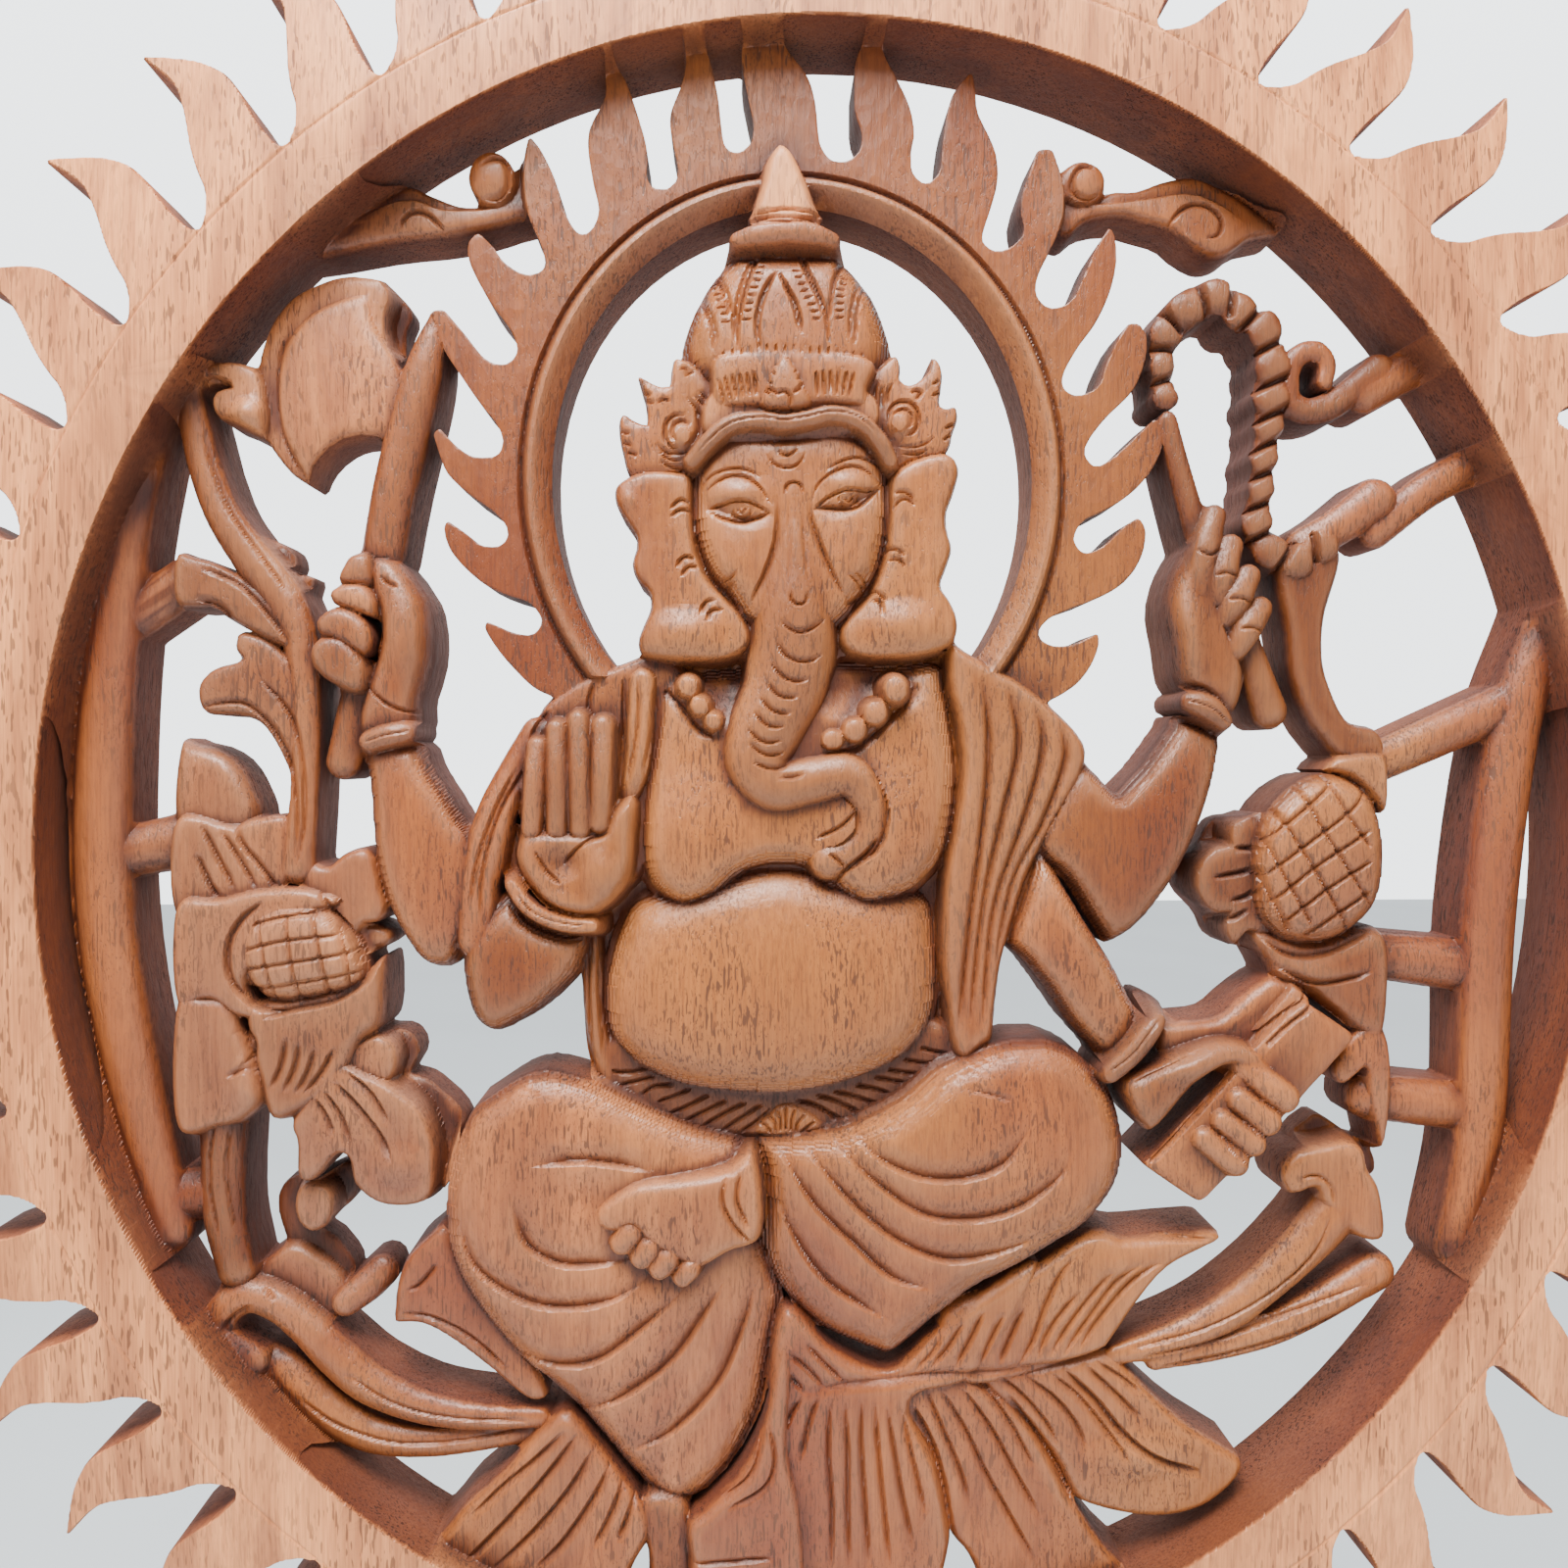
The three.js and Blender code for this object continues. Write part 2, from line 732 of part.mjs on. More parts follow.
// Leaves and cone flower on the left
const LEAVES_LEFT = {
  curlL: {
    top: 20,
    inset: 2,
    drop: 5,
    outline: [
      [190, 392], [205, 378], [225, 369], [250, 371], [268, 384], [275, 430], [268, 446], [240, 434],
      [222, 426], [216, 412], [221, 400], [236, 394], [215, 392], [205, 402], [196, 415],
    ],
  },
  knotL: {
    top: 12,
    inset: 1.5,
    drop: 3,
    outline: [
      [252, 548], [275, 550], [297, 560], [303, 575], [300, 585], [318, 588], [319, 598], [308, 612],
      [270, 590],
    ],
  },
  leafL1: {
    top: 20,
    inset: 2,
    drop: 4,
    outline: [
      [180, 566], [200, 568], [222, 575], [247, 590], [272, 611], [292, 635], [306, 668], [290, 660],
      [258, 645], [235, 633], [215, 621], [180, 616],
    ],
  },
  leafL2: {
    top: 19,
    inset: 2,
    drop: 4,
    outline: [
      [240, 655], [244, 645], [262, 647], [285, 660], [305, 690], [310, 740], [297, 800], [292, 782],
      [276, 751], [256, 733], [210, 728], [202, 712], [204, 696], [218, 682], [240, 676], [248, 673, 1],
      [240, 664],
    ],
  },
  petalL1: {
    top: 17,
    inset: 4,
    drop: 6,
    outline: [
      [180, 756], [200, 758], [222, 764], [241, 777], [256, 800], [266, 836], [240, 880], [180, 880],
    ],
  },
  petalL2: {
    top: 19,
    inset: 2,
    drop: 4,
    outline: [
      [180, 836], [238, 842], [256, 836], [293, 833], [298, 870], [295, 900], [280, 915], [240, 920],
      [180, 935],
    ],
  },
  coneL: {
    top: 25,
    inset: 6,
    drop: 7,
    outline: [
      [234, 975], [240, 945], [256, 925], [290, 913], [325, 918], [350, 935], [370, 962], [378, 998],
      [366, 1014], [330, 1022], [290, 1030], [264, 1024], [244, 1005],
    ],
  },
  collarL: {
    top: 22,
    inset: 2,
    drop: 4,
    outline: [
      [180, 925], [225, 917], [262, 908], [310, 906], [350, 922], [300, 940], [250, 1000], [268, 1038],
      [240, 1036], [215, 1020], [180, 1022],
    ],
  },
  knobL1: {
    top: 19,
    inset: 2,
    drop: 4,
    outline: [
      [310, 905], [312, 888], [322, 880], [336, 884], [350, 872], [372, 865], [384, 878], [390, 905],
      [396, 925], [388, 940], [372, 944], [362, 960], [345, 945], [330, 925],
    ],
  },
  knobL2: {
    top: 16,
    inset: 2,
    drop: 4,
    outline: [
      [362, 950], [380, 942], [397, 948], [402, 958], [392, 967], [370, 972], [358, 965],
    ],
  },
  calyxL: {
    top: 22,
    inset: 4,
    drop: 7,
    outline: [
      [252, 1030], [290, 1020], [340, 1010], [372, 995], [391, 976], [395, 1010], [391, 1045],
      [372, 1062], [362, 1085], [345, 1110], [310, 1136], [278, 1142], [264, 1100],
    ],
  },
  blockL: {
    top: 22,
    inset: 3,
    drop: 5,
    outline: [
      [180, 1022], [215, 1016], [235, 1022], [248, 1050], [262, 1092], [270, 1120], [256, 1140],
      [230, 1150], [180, 1150],
    ],
  },
  leafL3: {
    top: 22,
    inset: 2,
    drop: 5,
    outline: [
      [345, 1085], [375, 1094], [403, 1108], [430, 1130], [443, 1160], [446, 1195], [440, 1222],
      [415, 1231], [385, 1227], [362, 1208], [356, 1182], [345, 1178], [332, 1195], [318, 1206],
      [304, 1200], [303, 1165], [298, 1145], [318, 1115],
    ],
  },
  leafL3Back: {
    top: 12,
    inset: 1,
    drop: 1,
    outline: [
      [380, 1100], [425, 1098], [450, 1112], [474, 1140], [470, 1180], [450, 1215], [420, 1225],
      [380, 1180],
    ],
  },
  knobL3: {
    top: 20,
    inset: 2,
    drop: 5,
    outline: [
      [366, 1062], [385, 1054], [402, 1062], [408, 1080], [403, 1098], [392, 1104], [368, 1096],
      [355, 1082],
    ],
  },
  knobL3Back: {
    top: 12,
    inset: 1,
    drop: 1,
    outline: [
      [385, 1056], [405, 1050], [420, 1055], [428, 1070], [424, 1085], [410, 1100], [385, 1090],
    ],
  },
  ballL: {
    top: 18,
    inset: 2,
    drop: 4,
    outline: [
      [300, 1228], [306, 1210], [320, 1204], [336, 1210], [343, 1228], [337, 1248], [320, 1258],
      [305, 1248],
    ],
  },
  ballLBack: {
    top: 10,
    inset: 1,
    drop: 1,
    outline: [
      [283, 1235], [285, 1215], [300, 1200], [330, 1196], [358, 1186], [366, 1208], [360, 1225],
      [330, 1250], [345, 1265], [362, 1290], [355, 1310], [300, 1330], [270, 1300], [292, 1272],
      [288, 1255],
    ],
  },
  moundL: {
    top: 14,
    inset: 2,
    drop: 4,
    outline: [
      [225, 1300], [262, 1290], [300, 1268], [340, 1290], [360, 1320], [340, 1345], [290, 1350],
      [240, 1330],
    ],
  },
  voluteL: {
    top: 17,
    inset: 2,
    drop: 4,
    outline: [
      [300, 262], [345, 224], [395, 197], [418, 187], [440, 197], [470, 208], [500, 206], [522, 190],
      [530, 160], [545, 170], [545, 215], [520, 227], [490, 236], [450, 243], [400, 248],
    ],
  },
};

// Limbs, fingers, cuffs, stems and bands: [u, v, width in picture units, height in mm]
const LIMBS = {
  handleTop: [
    [444, 324, 14, 18], [436, 350, 30, 20], [426, 385, 42, 21], [412, 440, 46, 21], [398, 500, 46, 21],
    [388, 560, 46, 20],
  ],
  handleLow: [
    [368, 690, 38, 20], [358, 730, 38, 20], [347, 778, 36, 20],
  ],
  axeCuff: [
    [374, 757, 20, 25], [390, 751, 22, 26], [406, 747, 22, 26], [421, 745, 20, 25],
  ],
  sleeve: [
    [545, 745, 26, 22], [525, 785, 34, 23], [504, 830, 40, 24], [492, 875, 42, 24], [484, 920, 40, 24],
    [486, 960, 44, 24],
  ],
  cuffL: [
    [521, 904, 14, 27], [535, 924, 16, 28], [556, 938, 16, 28], [580, 945, 16, 27], [604, 946, 14, 26],
  ],
  fingerL1: [
    [547, 762, 20, 26], [544, 800, 21, 28], [541, 846, 20, 27],
  ],
  fingerL2: [
    [567, 744, 20, 26], [567, 790, 22, 28], [567, 846, 21, 27],
  ],
  fingerL3: [
    [589, 735, 21, 26], [590, 790, 22, 28], [591, 846, 21, 27],
  ],
  fingerL4: [
    [614, 741, 23, 26], [613, 790, 22, 28], [611, 840, 22, 27],
  ],
  strap: [
    [655, 695, 26, 23], [653, 740, 26, 24], [650, 780, 24, 24], [642, 812, 20, 22],
  ],
  sashL: [
    [603, 950, 20, 17], [604, 1000, 20, 18], [608, 1050, 20, 18], [622, 1100, 24, 18],
  ],
  trunk: [
    [811, 502, 24, 25], [810, 540, 38, 27.5], [812, 580, 62, 28.5], [811, 620, 86, 29.5],
    [810, 660, 93, 29.5], [803, 700, 91, 29.5], [785, 740, 84, 30], [773, 775, 74, 30],
    [792, 802, 54, 30], [830, 797, 48, 29.5], [868, 793, 44, 29], [890, 825, 34, 28],
    [886, 855, 34, 27.5], [866, 873, 34, 27], [846, 880, 38, 27],
  ],
  crownRing1: [
    [752, 243, 16, 25], [775, 236, 24, 28], [801, 232, 26, 29], [827, 235, 24, 28], [850, 243, 16, 25],
  ],
  crownRing2: [
    [770, 224, 12, 24], [801, 217, 16, 27], [834, 223, 12, 24],
  ],
  headBand: [
    [706, 470, 16, 26], [724, 448, 17, 28], [746, 431, 17, 29], [775, 427, 17, 29.5],
    [800, 430, 17, 29.5], [826, 426, 17, 29.5], [852, 421, 17, 29], [880, 430, 17, 28.5],
    [899, 450, 17, 27.5], [909, 470, 15, 26],
  ],
  cuffR: [
    [1207, 714, 22, 24], [1221, 716, 26, 25], [1238, 724, 26, 25], [1251, 736, 20, 24],
  ],
  ropeF1: [
    [1243, 525, 24, 23], [1234, 560, 28, 25], [1228, 600, 26, 24],
  ],
  ropeF2: [
    [1260, 556, 26, 24], [1252, 585, 28, 25.5], [1245, 608, 22, 24],
  ],
  ropeF3: [
    [1278, 587, 26, 24], [1266, 610, 30, 25.5], [1254, 628, 24, 24],
  ],
  ropeF4: [
    [1290, 620, 26, 23], [1278, 640, 30, 25], [1266, 660, 24, 24],
  ],
  stickLow: [
    [1276, 650, 24, 20], [1288, 690, 34, 20], [1300, 725, 40, 19],
  ],
  rodTop: [
    [1194, 428, 20, 20], [1204, 470, 24, 20], [1222, 535, 28, 20], [1232, 570, 28, 20],
  ],
  branchR: [
    [1335, 555, 38, 18], [1368, 537, 40, 19], [1410, 508, 48, 19],
  ],
  curlR: [
    [1300, 405, 24, 19], [1318, 410, 30, 19], [1338, 418, 28, 19], [1362, 412, 30, 19],
    [1385, 395, 30, 18], [1412, 375, 36, 18],
  ],
  curlR2: [
    [1318, 405, 24, 19], [1318, 380, 24, 19], [1328, 361, 22, 19], [1346, 356, 22, 19],
    [1357, 370, 20, 19], [1354, 388, 18, 19],
  ],
  cuffBook: [
    [1135, 1098, 20, 26], [1158, 1078, 22, 27], [1176, 1055, 22, 27], [1184, 1042, 16, 25],
  ],
  bookF1: [
    [1272, 1090, 24, 26], [1300, 1112, 30, 28.5], [1316, 1124, 30, 28.5],
  ],
  bookF2: [
    [1268, 1125, 24, 28], [1298, 1148, 30, 29],
  ],
  bookF3: [
    [1250, 1146, 22, 28], [1283, 1170, 28, 29],
  ],
  bookF4: [
    [1232, 1165, 24, 28], [1265, 1190, 30, 29],
  ],
  stemR1: [
    [1140, 1385, 20, 20], [1200, 1373, 38, 20], [1250, 1350, 44, 20], [1300, 1312, 46, 20],
    [1345, 1270, 54, 20], [1385, 1225, 64, 20],
  ],
  stemR2: [
    [1180, 1392, 20, 19], [1240, 1380, 28, 19], [1300, 1362, 36, 19], [1350, 1338, 38, 19],
    [1410, 1303, 42, 19],
  ],
  stemL: [
    [188, 400, 28, 20], [196, 440, 32, 20], [206, 480, 34, 20], [222, 522, 36, 20], [248, 562, 40, 20],
    [282, 606, 42, 20], [302, 650, 36, 20], [309, 700, 30, 20], [309, 760, 30, 20], [307, 820, 30, 20],
    [300, 885, 36, 20],
  ],
  stemL2: [
    [222, 1140, 52, 20], [222, 1200, 46, 20], [224, 1250, 44, 20], [236, 1300, 40, 20],
  ],
  knobL4: [
    [350, 1334, 28, 17], [372, 1316, 34, 15], [388, 1300, 34, 13],
  ],
  scrollL: [
    [250, 1395, 40, 20], [222, 1372, 38, 20], [222, 1345, 36, 20], [248, 1328, 34, 20],
    [280, 1338, 34, 20], [310, 1362, 38, 20], [340, 1392, 44, 20], [375, 1420, 44, 20],
    [430, 1442, 36, 20], [490, 1450, 28, 20], [550, 1450, 22, 20],
  ],
  stemL3: [
    [255, 1385, 36, 15], [290, 1408, 44, 17], [330, 1445, 44, 18], [375, 1470, 40, 18],
    [430, 1477, 32, 18], [490, 1472, 26, 18], [560, 1460, 20, 18],
  ],
};

// Beads of the rope and the two scroll eyes: [u, v, half width, half height, mm high]
const ROPE_BEADS = [
  [1191, 405, 14, 12, 20],
  [1188, 373, 13, 14, 20],
  [1193, 338, 18, 17, 20.5],
  [1216, 312, 22, 16, 21],
  [1245, 300, 20, 19, 21],
  [1268, 316, 19, 20, 21],
  [1294, 335, 18, 22, 21],
  [1302, 372, 19, 20, 21],
  [1300, 405, 20, 17, 21],
  [1298, 434, 16, 17, 20.5],
  [1293, 467, 15, 17, 20.5],
  [1290, 499, 14, 17, 20.5],
  [1286, 534, 17, 20, 20.5],
  [1300, 562, 20, 18, 20],
  [1328, 571, 19, 18, 20],
  [1352, 556, 18, 17, 20],
];
const SCROLL_EYES = [
  [500, 178, 23, 26, 19],
  [1107, 183, 23, 21, 19],
];

// Cuts in the cloth: [u, v, height of the surface] points
const CREASE_WIDTH = 3;
const CREASE_DEPTH = 1.7;
const CREASES = [
  [[530, 1250, 29], [560, 1288, 29], [600, 1293, 29], [635, 1287, 29]],
  [[480, 1280, 29], [530, 1328, 29], [575, 1337, 29], [655, 1310, 29]],
  [[535, 1382, 29], [570, 1395, 29], [610, 1390, 29], [690, 1325, 29]],
  [[600, 1437, 29], [640, 1425, 29], [690, 1385, 29], [735, 1315, 29]],
  [[645, 1480, 29], [690, 1460, 29], [735, 1410, 29], [765, 1335, 29]],
  [[870, 1157, 28], [920, 1197, 28], [985, 1205, 28], [1025, 1190, 28], [1055, 1148, 28]],
  [[850, 1162, 28], [890, 1205, 28], [940, 1240, 28], [1030, 1238, 28], [1093, 1180, 28]],
  [[822, 1167, 28], [870, 1230, 28], [920, 1270, 28], [970, 1288, 28], [1050, 1265, 28]],
  [[1003, 690, 22], [1010, 760, 22], [1003, 850, 22], [978, 1050, 22]],
  [[1032, 702, 22], [1040, 760, 22], [1025, 830, 22], [992, 1040, 22]],
];

// What the view doesn't show, finished plainly: [x, z, width, height] from the ring's centre
const HIDDEN_LIMBS = {
  leftStem: [
    [-188, 128, 10, 19], [-199, 85, 15, 20], [-205, 30, 17, 20], [-204, -30, 17, 20], [-188, -108, 14, 20],
  ],
  leftLeafStem: [[-203, 62, 14, 17], [-183, 76, 14, 17]],
  leftPetalStem: [[-206, -2, 14, 17], [-186, 2, 16, 17]],
  leftBlockStem: [[-192, -100, 14, 18], [-176, -98, 16, 18]],
  rightCurlStem: [[156, 132, 12, 18], [176, 143, 12, 18]],
  rightBranchStem: [[160, 92, 10, 17], [178, 106, 11, 17], [200, 116, 12, 17]],
  rightStem: [
    [212, 66, 15, 20], [202, 35, 16, 20], [195, -20, 17, 20], [193, -80, 15, 20], [186, -118, 14, 20],
  ],
  rightConeStem: [[155, 22, 12, 18], [178, 32, 13, 18], [206, 44, 14, 18]],
  rightCupStem: [[160, -32, 14, 17], [192, -36, 16, 17]],
  rightPetalStem: [[160, -74, 14, 17], [192, -78, 15, 17]],
};

const wasm = await Module();
wasm.setup();

// Turns a point of the view into [x, z] on the plane at a height above the back, measured from
// the ring's centre
const viewAxis = new THREE.Vector3(VIEW_FOOT[0] - VIEW_CENTRE[0], VIEW_FOOT[1] - VIEW_CENTRE[1], VIEW_FOCAL);
viewAxis.normalize();
const viewRight = new THREE.Vector3(1, 0, 0).addScaledVector(viewAxis, -viewAxis.x).normalize();
const viewDown = new THREE.Vector3().crossVectors(viewAxis, viewRight);

function viewDistance(height) {
  return VIEW_FOCAL * VIEW_UNIT + PLANK - height;
}

function toPanel(u, v, height) {
  const ray = new THREE.Vector3(u - VIEW_CENTRE[0], v - VIEW_CENTRE[1], VIEW_FOCAL);
  ray.multiplyScalar(viewDistance(height) / ray.dot(viewAxis));
  return [ray.dot(viewRight) - RING_CENTRE[0], RING_CENTRE[1] - ray.dot(viewDown)];
}

function unitAt(height) {
  return viewDistance(height) / VIEW_FOCAL;
}

// Turns rows of [x, y, z] corners and triangles into a solid
function toSolid(positions, index) {
  const geometry = new THREE.BufferGeometry();
  geometry.setAttribute('position', new THREE.Float32BufferAttribute(positions, 3));
  geometry.setIndex(index);
  return geometryToSolid(geometry);
}

function geometryToSolid(geometry) {
  geometry.deleteAttribute('normal');
  geometry.deleteAttribute('uv');
  const merged = mergeVertices(geometry);
  return new wasm.Manifold(new wasm.Mesh({
    numProp: 3,
    vertProperties: merged.attributes.position.array,
    triVerts: new Uint32Array(merged.index.array),
  }));
}

// A smooth closed line through [x, z, corner] points
function smoothLoop(points, steps) {
  const count = points.length;
  const at = (i) => points[(i + count) % count];
  const result = [];
  for (let i = 0; i < count; i += 1) {
    const a = at(i);
    const b = at(i + 1);
    const chord = [b[0] - a[0], b[1] - a[1]];
    const pull = (before, after, corner) => {
      if (corner) {
        return chord;
      }
      const tangent = [(after[0] - before[0]) / 2, (after[1] - before[1]) / 2];
      const limit = (LONGEST_PULL * Math.hypot(...chord)) / Math.max(Math.hypot(...tangent), LEAST_LENGTH);
      return tangent.map((value) => value * Math.min(1, limit));
    };
    const leave = pull(at(i - 1), b, a[2]);
    const arrive = pull(a, at(i + 2), b[2]);
    for (let step = 0; step < steps; step += 1) {
      const t = step / steps;
      const start = 2 * t ** 3 - 3 * t ** 2 + 1;
      const startPull = t ** 3 - 2 * t ** 2 + t;
      const endPull = t ** 3 - t ** 2;
      result.push([0, 1].map((axis) => (
        start * a[axis] + (1 - start) * b[axis] + startPull * leave[axis] + endPull * arrive[axis]
      )));
    }
  }
  return result;
}

function counterclockwise(line) {
  const shape = line.map(([x, z]) => new THREE.Vector2(x, z));
  return THREE.ShapeUtils.isClockWise(shape) ? [...line].reverse() : line;
}

// Moves a counterclockwise closed line inward by a distance
function insetLoop(line, distance) {
  const count = line.length;
  return line.map(([x, z], i) => {
    const [beforeX, beforeZ] = line[(i + count - 1) % count];
    const [afterX, afterZ] = line[(i + 1) % count];
    const along = new THREE.Vector2(afterX - beforeX, afterZ - beforeZ).normalize();
    return [x - along.y * distance, z + along.x * distance];
  });
}

// A solid through closed lines with the same number of points, from the back to the front. Each
// ring is { line, height }, and the two ends are filled flat.
function stackRings(rings) {
  const count = rings[0].line.length;
  const positions = [];
  const index = [];
  rings.forEach(({ line, height }) => line.forEach(([x, z]) => positions.push(x, -height, z)));
  for (let level = 0; level + 1 < rings.length; level += 1) {
    for (let i = 0; i < count; i += 1) {
      const a = level * count + i;
      const b = level * count + ((i + 1) % count);
      index.push(a, b, b + count, a, b + count, a + count);
    }
  }
  const contour = rings[0].line.map(([x, z]) => new THREE.Vector2(x, z));
  const front = (rings.length - 1) * count;
  THREE.ShapeUtils.triangulateShape(contour, []).forEach(([a, b, c]) => {
    index.push(a, c, b, front + a, front + b, front + c);
  });
  return toSolid(positions, index);
}

// How far a point lies from the line between two others
function gapFrom([x, z], [beforeX, beforeZ], [afterX, afterZ]) {
  const across = [afterX - beforeX, afterZ - beforeZ];
  const turn = across[0] * (z - beforeZ) - across[1] * (x - beforeX);
  return Math.abs(turn) / Math.hypot(...across);
}

// Leaves out the points of a closed line that lie within a tolerance of the line without them
function thin(line, tolerance) {
  const kept = [...line];
  while (kept.length > FEWEST_POINTS) {
    const gaps = kept.map((point, i) => (
      gapFrom(point, kept[(i + kept.length - 1) % kept.length], kept[(i + 1) % kept.length])
    ));
    const least = Math.min(...gaps);
    if (least > tolerance) {
      break;
    }
    kept.splice(gaps.indexOf(least), 1);
  }
  return kept;
}

// A raised form with upright walls and a sloping or rounded rim
function pad({ top, inset, drop, outline }, rounded = false) {
  const measured = outline.map(([u, v, corner]) => [...toPanel(u, v, top - drop / 2), corner]);
  const line = thin(smoothLoop(counterclockwise(measured), OUTLINE_STEPS), FORM_TOLERANCE);
  const rings = [
    { line, height: -OVERRUN },
    { line, height: inset >= LEAST_RIM ? top - drop : top },
  ];
  if (rounded) {
    rings.push({ line: insetLoop(line, inset * ROUND_INSET), height: top - drop * ROUND_DROP });
  }
  if (inset >= LEAST_RIM) {
    rings.push({ line: insetLoop(line, inset), height: top });
  }
  return stackRings(rings);
}

// An oval column with a domed front
function dome([u, v, halfWidth, halfHeight, top]) {
  const [x, z] = toPanel(u, v, top);
  const unit = unitAt(top);
  const oval = (scale) => Array.from({ length: DOME_STEPS }, (_, i) => {
    const angle = (i / DOME_STEPS) * 2 * Math.PI;
    return [x + halfWidth * unit * scale * Math.cos(angle), z + halfHeight * unit * scale * Math.sin(angle)];
  });
  const rise = Math.min(halfWidth, halfHeight) * unit;
  return stackRings([
    { line: oval(1), height: -OVERRUN },
    { line: oval(1), height: top - rise * DOME_DROP },
    { line: oval(DOME_FRONT), height: top },
  ]);
}

// A solid along [x, z, width, height] stations. The profile gives [across, level] corners, as a
// share of the width and as a height above the back.
function sweepStations(stations, profileAt) {
  const positions = [];
  const index = [];
  stations.forEach((station, i) => {
    const [x, z] = station;
    const before = stations[Math.max(i - 1, 0)];
    const after = stations[Math.min(i + 1, stations.length - 1)];
    const along = new THREE.Vector2(after[0] - before[0], after[1] - before[1]).normalize();
    profileAt(station).forEach(([across, level]) => {
      positions.push(x - along.y * across, -level, z + along.x * across);
    });
  });
  const ring = profileAt(stations[0]).length;
  for (let i = 0; i + 1 < stations.length; i += 1) {
    for (let k = 0; k < ring; k += 1) {
      const a = i * ring + k;
      const b = i * ring + ((k + 1) % ring);
      index.push(a, a + ring, b + ring, a, b + ring, b);
    }
  }
  const last = (stations.length - 1) * ring;
  for (let k = 1; k + 1 < ring; k += 1) {
    index.push(0, k, k + 1, last, last + k + 1, last + k);
  }
  return toSolid(positions, index);
}

// A limb, finger or stem: upright sides and a ridged front, which is flattened where it is wide
function limb(stations) {
  const widest = Math.max(...stations.map(([, , width]) => width));
  return sweepStations(stations, ([, , width, height]) => {
    const half = width / 2;
    const side = height - Math.min(width * SIDE_OF_WIDTH, height * SIDE_OF_HEIGHT);
    const back = [[half, -OVERRUN], [-half, -OVERRUN]];
    if (widest < THIN_LIMB) {
      return [...back, [-half * THIN_FRONT, height], [half * THIN_FRONT, height]];
    }
    const flat = half * WIDE_FRONT;
    const front = widest > WIDE_LIMB ? [[-flat, height], [flat, height]] : [[0, height]];
    return [...back, [-half, side], ...front, [half, side]];
  });
}

// The tool that cuts a V groove into a surface along [x, z, height] points
function grooveTool(stations, width, depth) {
  return sweepStations(stations, ([, , height]) => [
    [0, height - depth],
    [-width / 2, height],
    [-width / 2, PLANK + OVERRUN],
    [width / 2, PLANK + OVERRUN],
    [width / 2, height],
  ]);
}

function viewStations(points) {
  const stations = points.map(([u, v, width, height]) => (
    [...toPanel(u, v, height), width * unitAt(height), height]
  ));
  return stations.filter((station, i) => {
    const before = stations[i - 1];
    const after = stations[i + 1];
    const end = !before || !after;
    return end || i % 2 === 0 || gapFrom(station, before, after) > LIMB_TOLERANCE;
  });
}

function crease(points) {
  const stations = points.map(([u, v, height]) => [...toPanel(u, v, height), height]);
  return grooveTool(stations, CREASE_WIDTH, CREASE_DEPTH);
}

// Points and outward normals of an oval by the length of arc from its top, the left way round
function ovalByArc(halfWidth, halfHeight) {
  const lengths = [0];
  const at = (turn) => [-halfWidth * Math.sin(turn), halfHeight * Math.cos(turn)];
  for (let i = 1; i <= ARC_SAMPLES; i += 1) {
    const a = at(((i - 1) / ARC_SAMPLES) * 2 * Math.PI);
    const b = at((i / ARC_SAMPLES) * 2 * Math.PI);
    lengths.push(lengths[i - 1] + Math.hypot(b[0] - a[0], b[1] - a[1]));
  }
  const total = lengths[ARC_SAMPLES];
  const turnAt = (arc) => {
    const wanted = ((arc % total) + total) % total;
    const next = lengths.findIndex((length) => length > wanted);
    const share = (wanted - lengths[next - 1]) / (lengths[next] - lengths[next - 1]);
    return ((next - 1 + share) / ARC_SAMPLES) * 2 * Math.PI;
  };
  const offset = (arc, outward) => {
    const turn = turnAt(arc);
    const normal = new THREE.Vector2(-Math.sin(turn) / halfWidth, Math.cos(turn) / halfHeight).normalize();
    const [x, z] = at(turn);
    return [x + normal.x * outward, z + normal.y * outward];
  };
  return { total, turnAt, offset };
}

function ovalLoop([x, z], halfWidth, halfHeight, steps) {
  return Array.from({ length: steps }, (_, i) => {
    const angle = (i / steps) * 2 * Math.PI;
    return [x + halfWidth * Math.cos(angle), z + halfHeight * Math.sin(angle)];
  });
}

// A flat slab between an outer line and a hole, with its own height at each point of the front
function slab(outer, hole, heightOf) {
  const contour = outer.map(([x, z]) => new THREE.Vector2(x, z));
  const inner = hole.map(([x, z]) => new THREE.Vector2(x, z));
  const all = [...outer, ...hole];
  const count = all.length;
  const positions = [];
  all.forEach(([x, z]) => positions.push(x, OVERRUN, z));
  all.forEach((point) => positions.push(point[0], -heightOf(point), point[1]));
  const index = [];
  THREE.ShapeUtils.triangulateShape(contour, [inner]).forEach(([a, b, c]) => {
    index.push(count + a, count + b, count + c, a, c, b);
  });
  const wall = (first, length, forward) => {
    for (let i = 0; i < length; i += 1) {
      const a = first + (forward ? i : (i + 1) % length);
      const b = first + (forward ? (i + 1) % length : i);
      index.push(a, b, b + count, a, b + count, a + count);
    }
  };
  wall(0, outer.length, true);
  wall(outer.length, hole.length, false);
  return toSolid(positions, index);
}

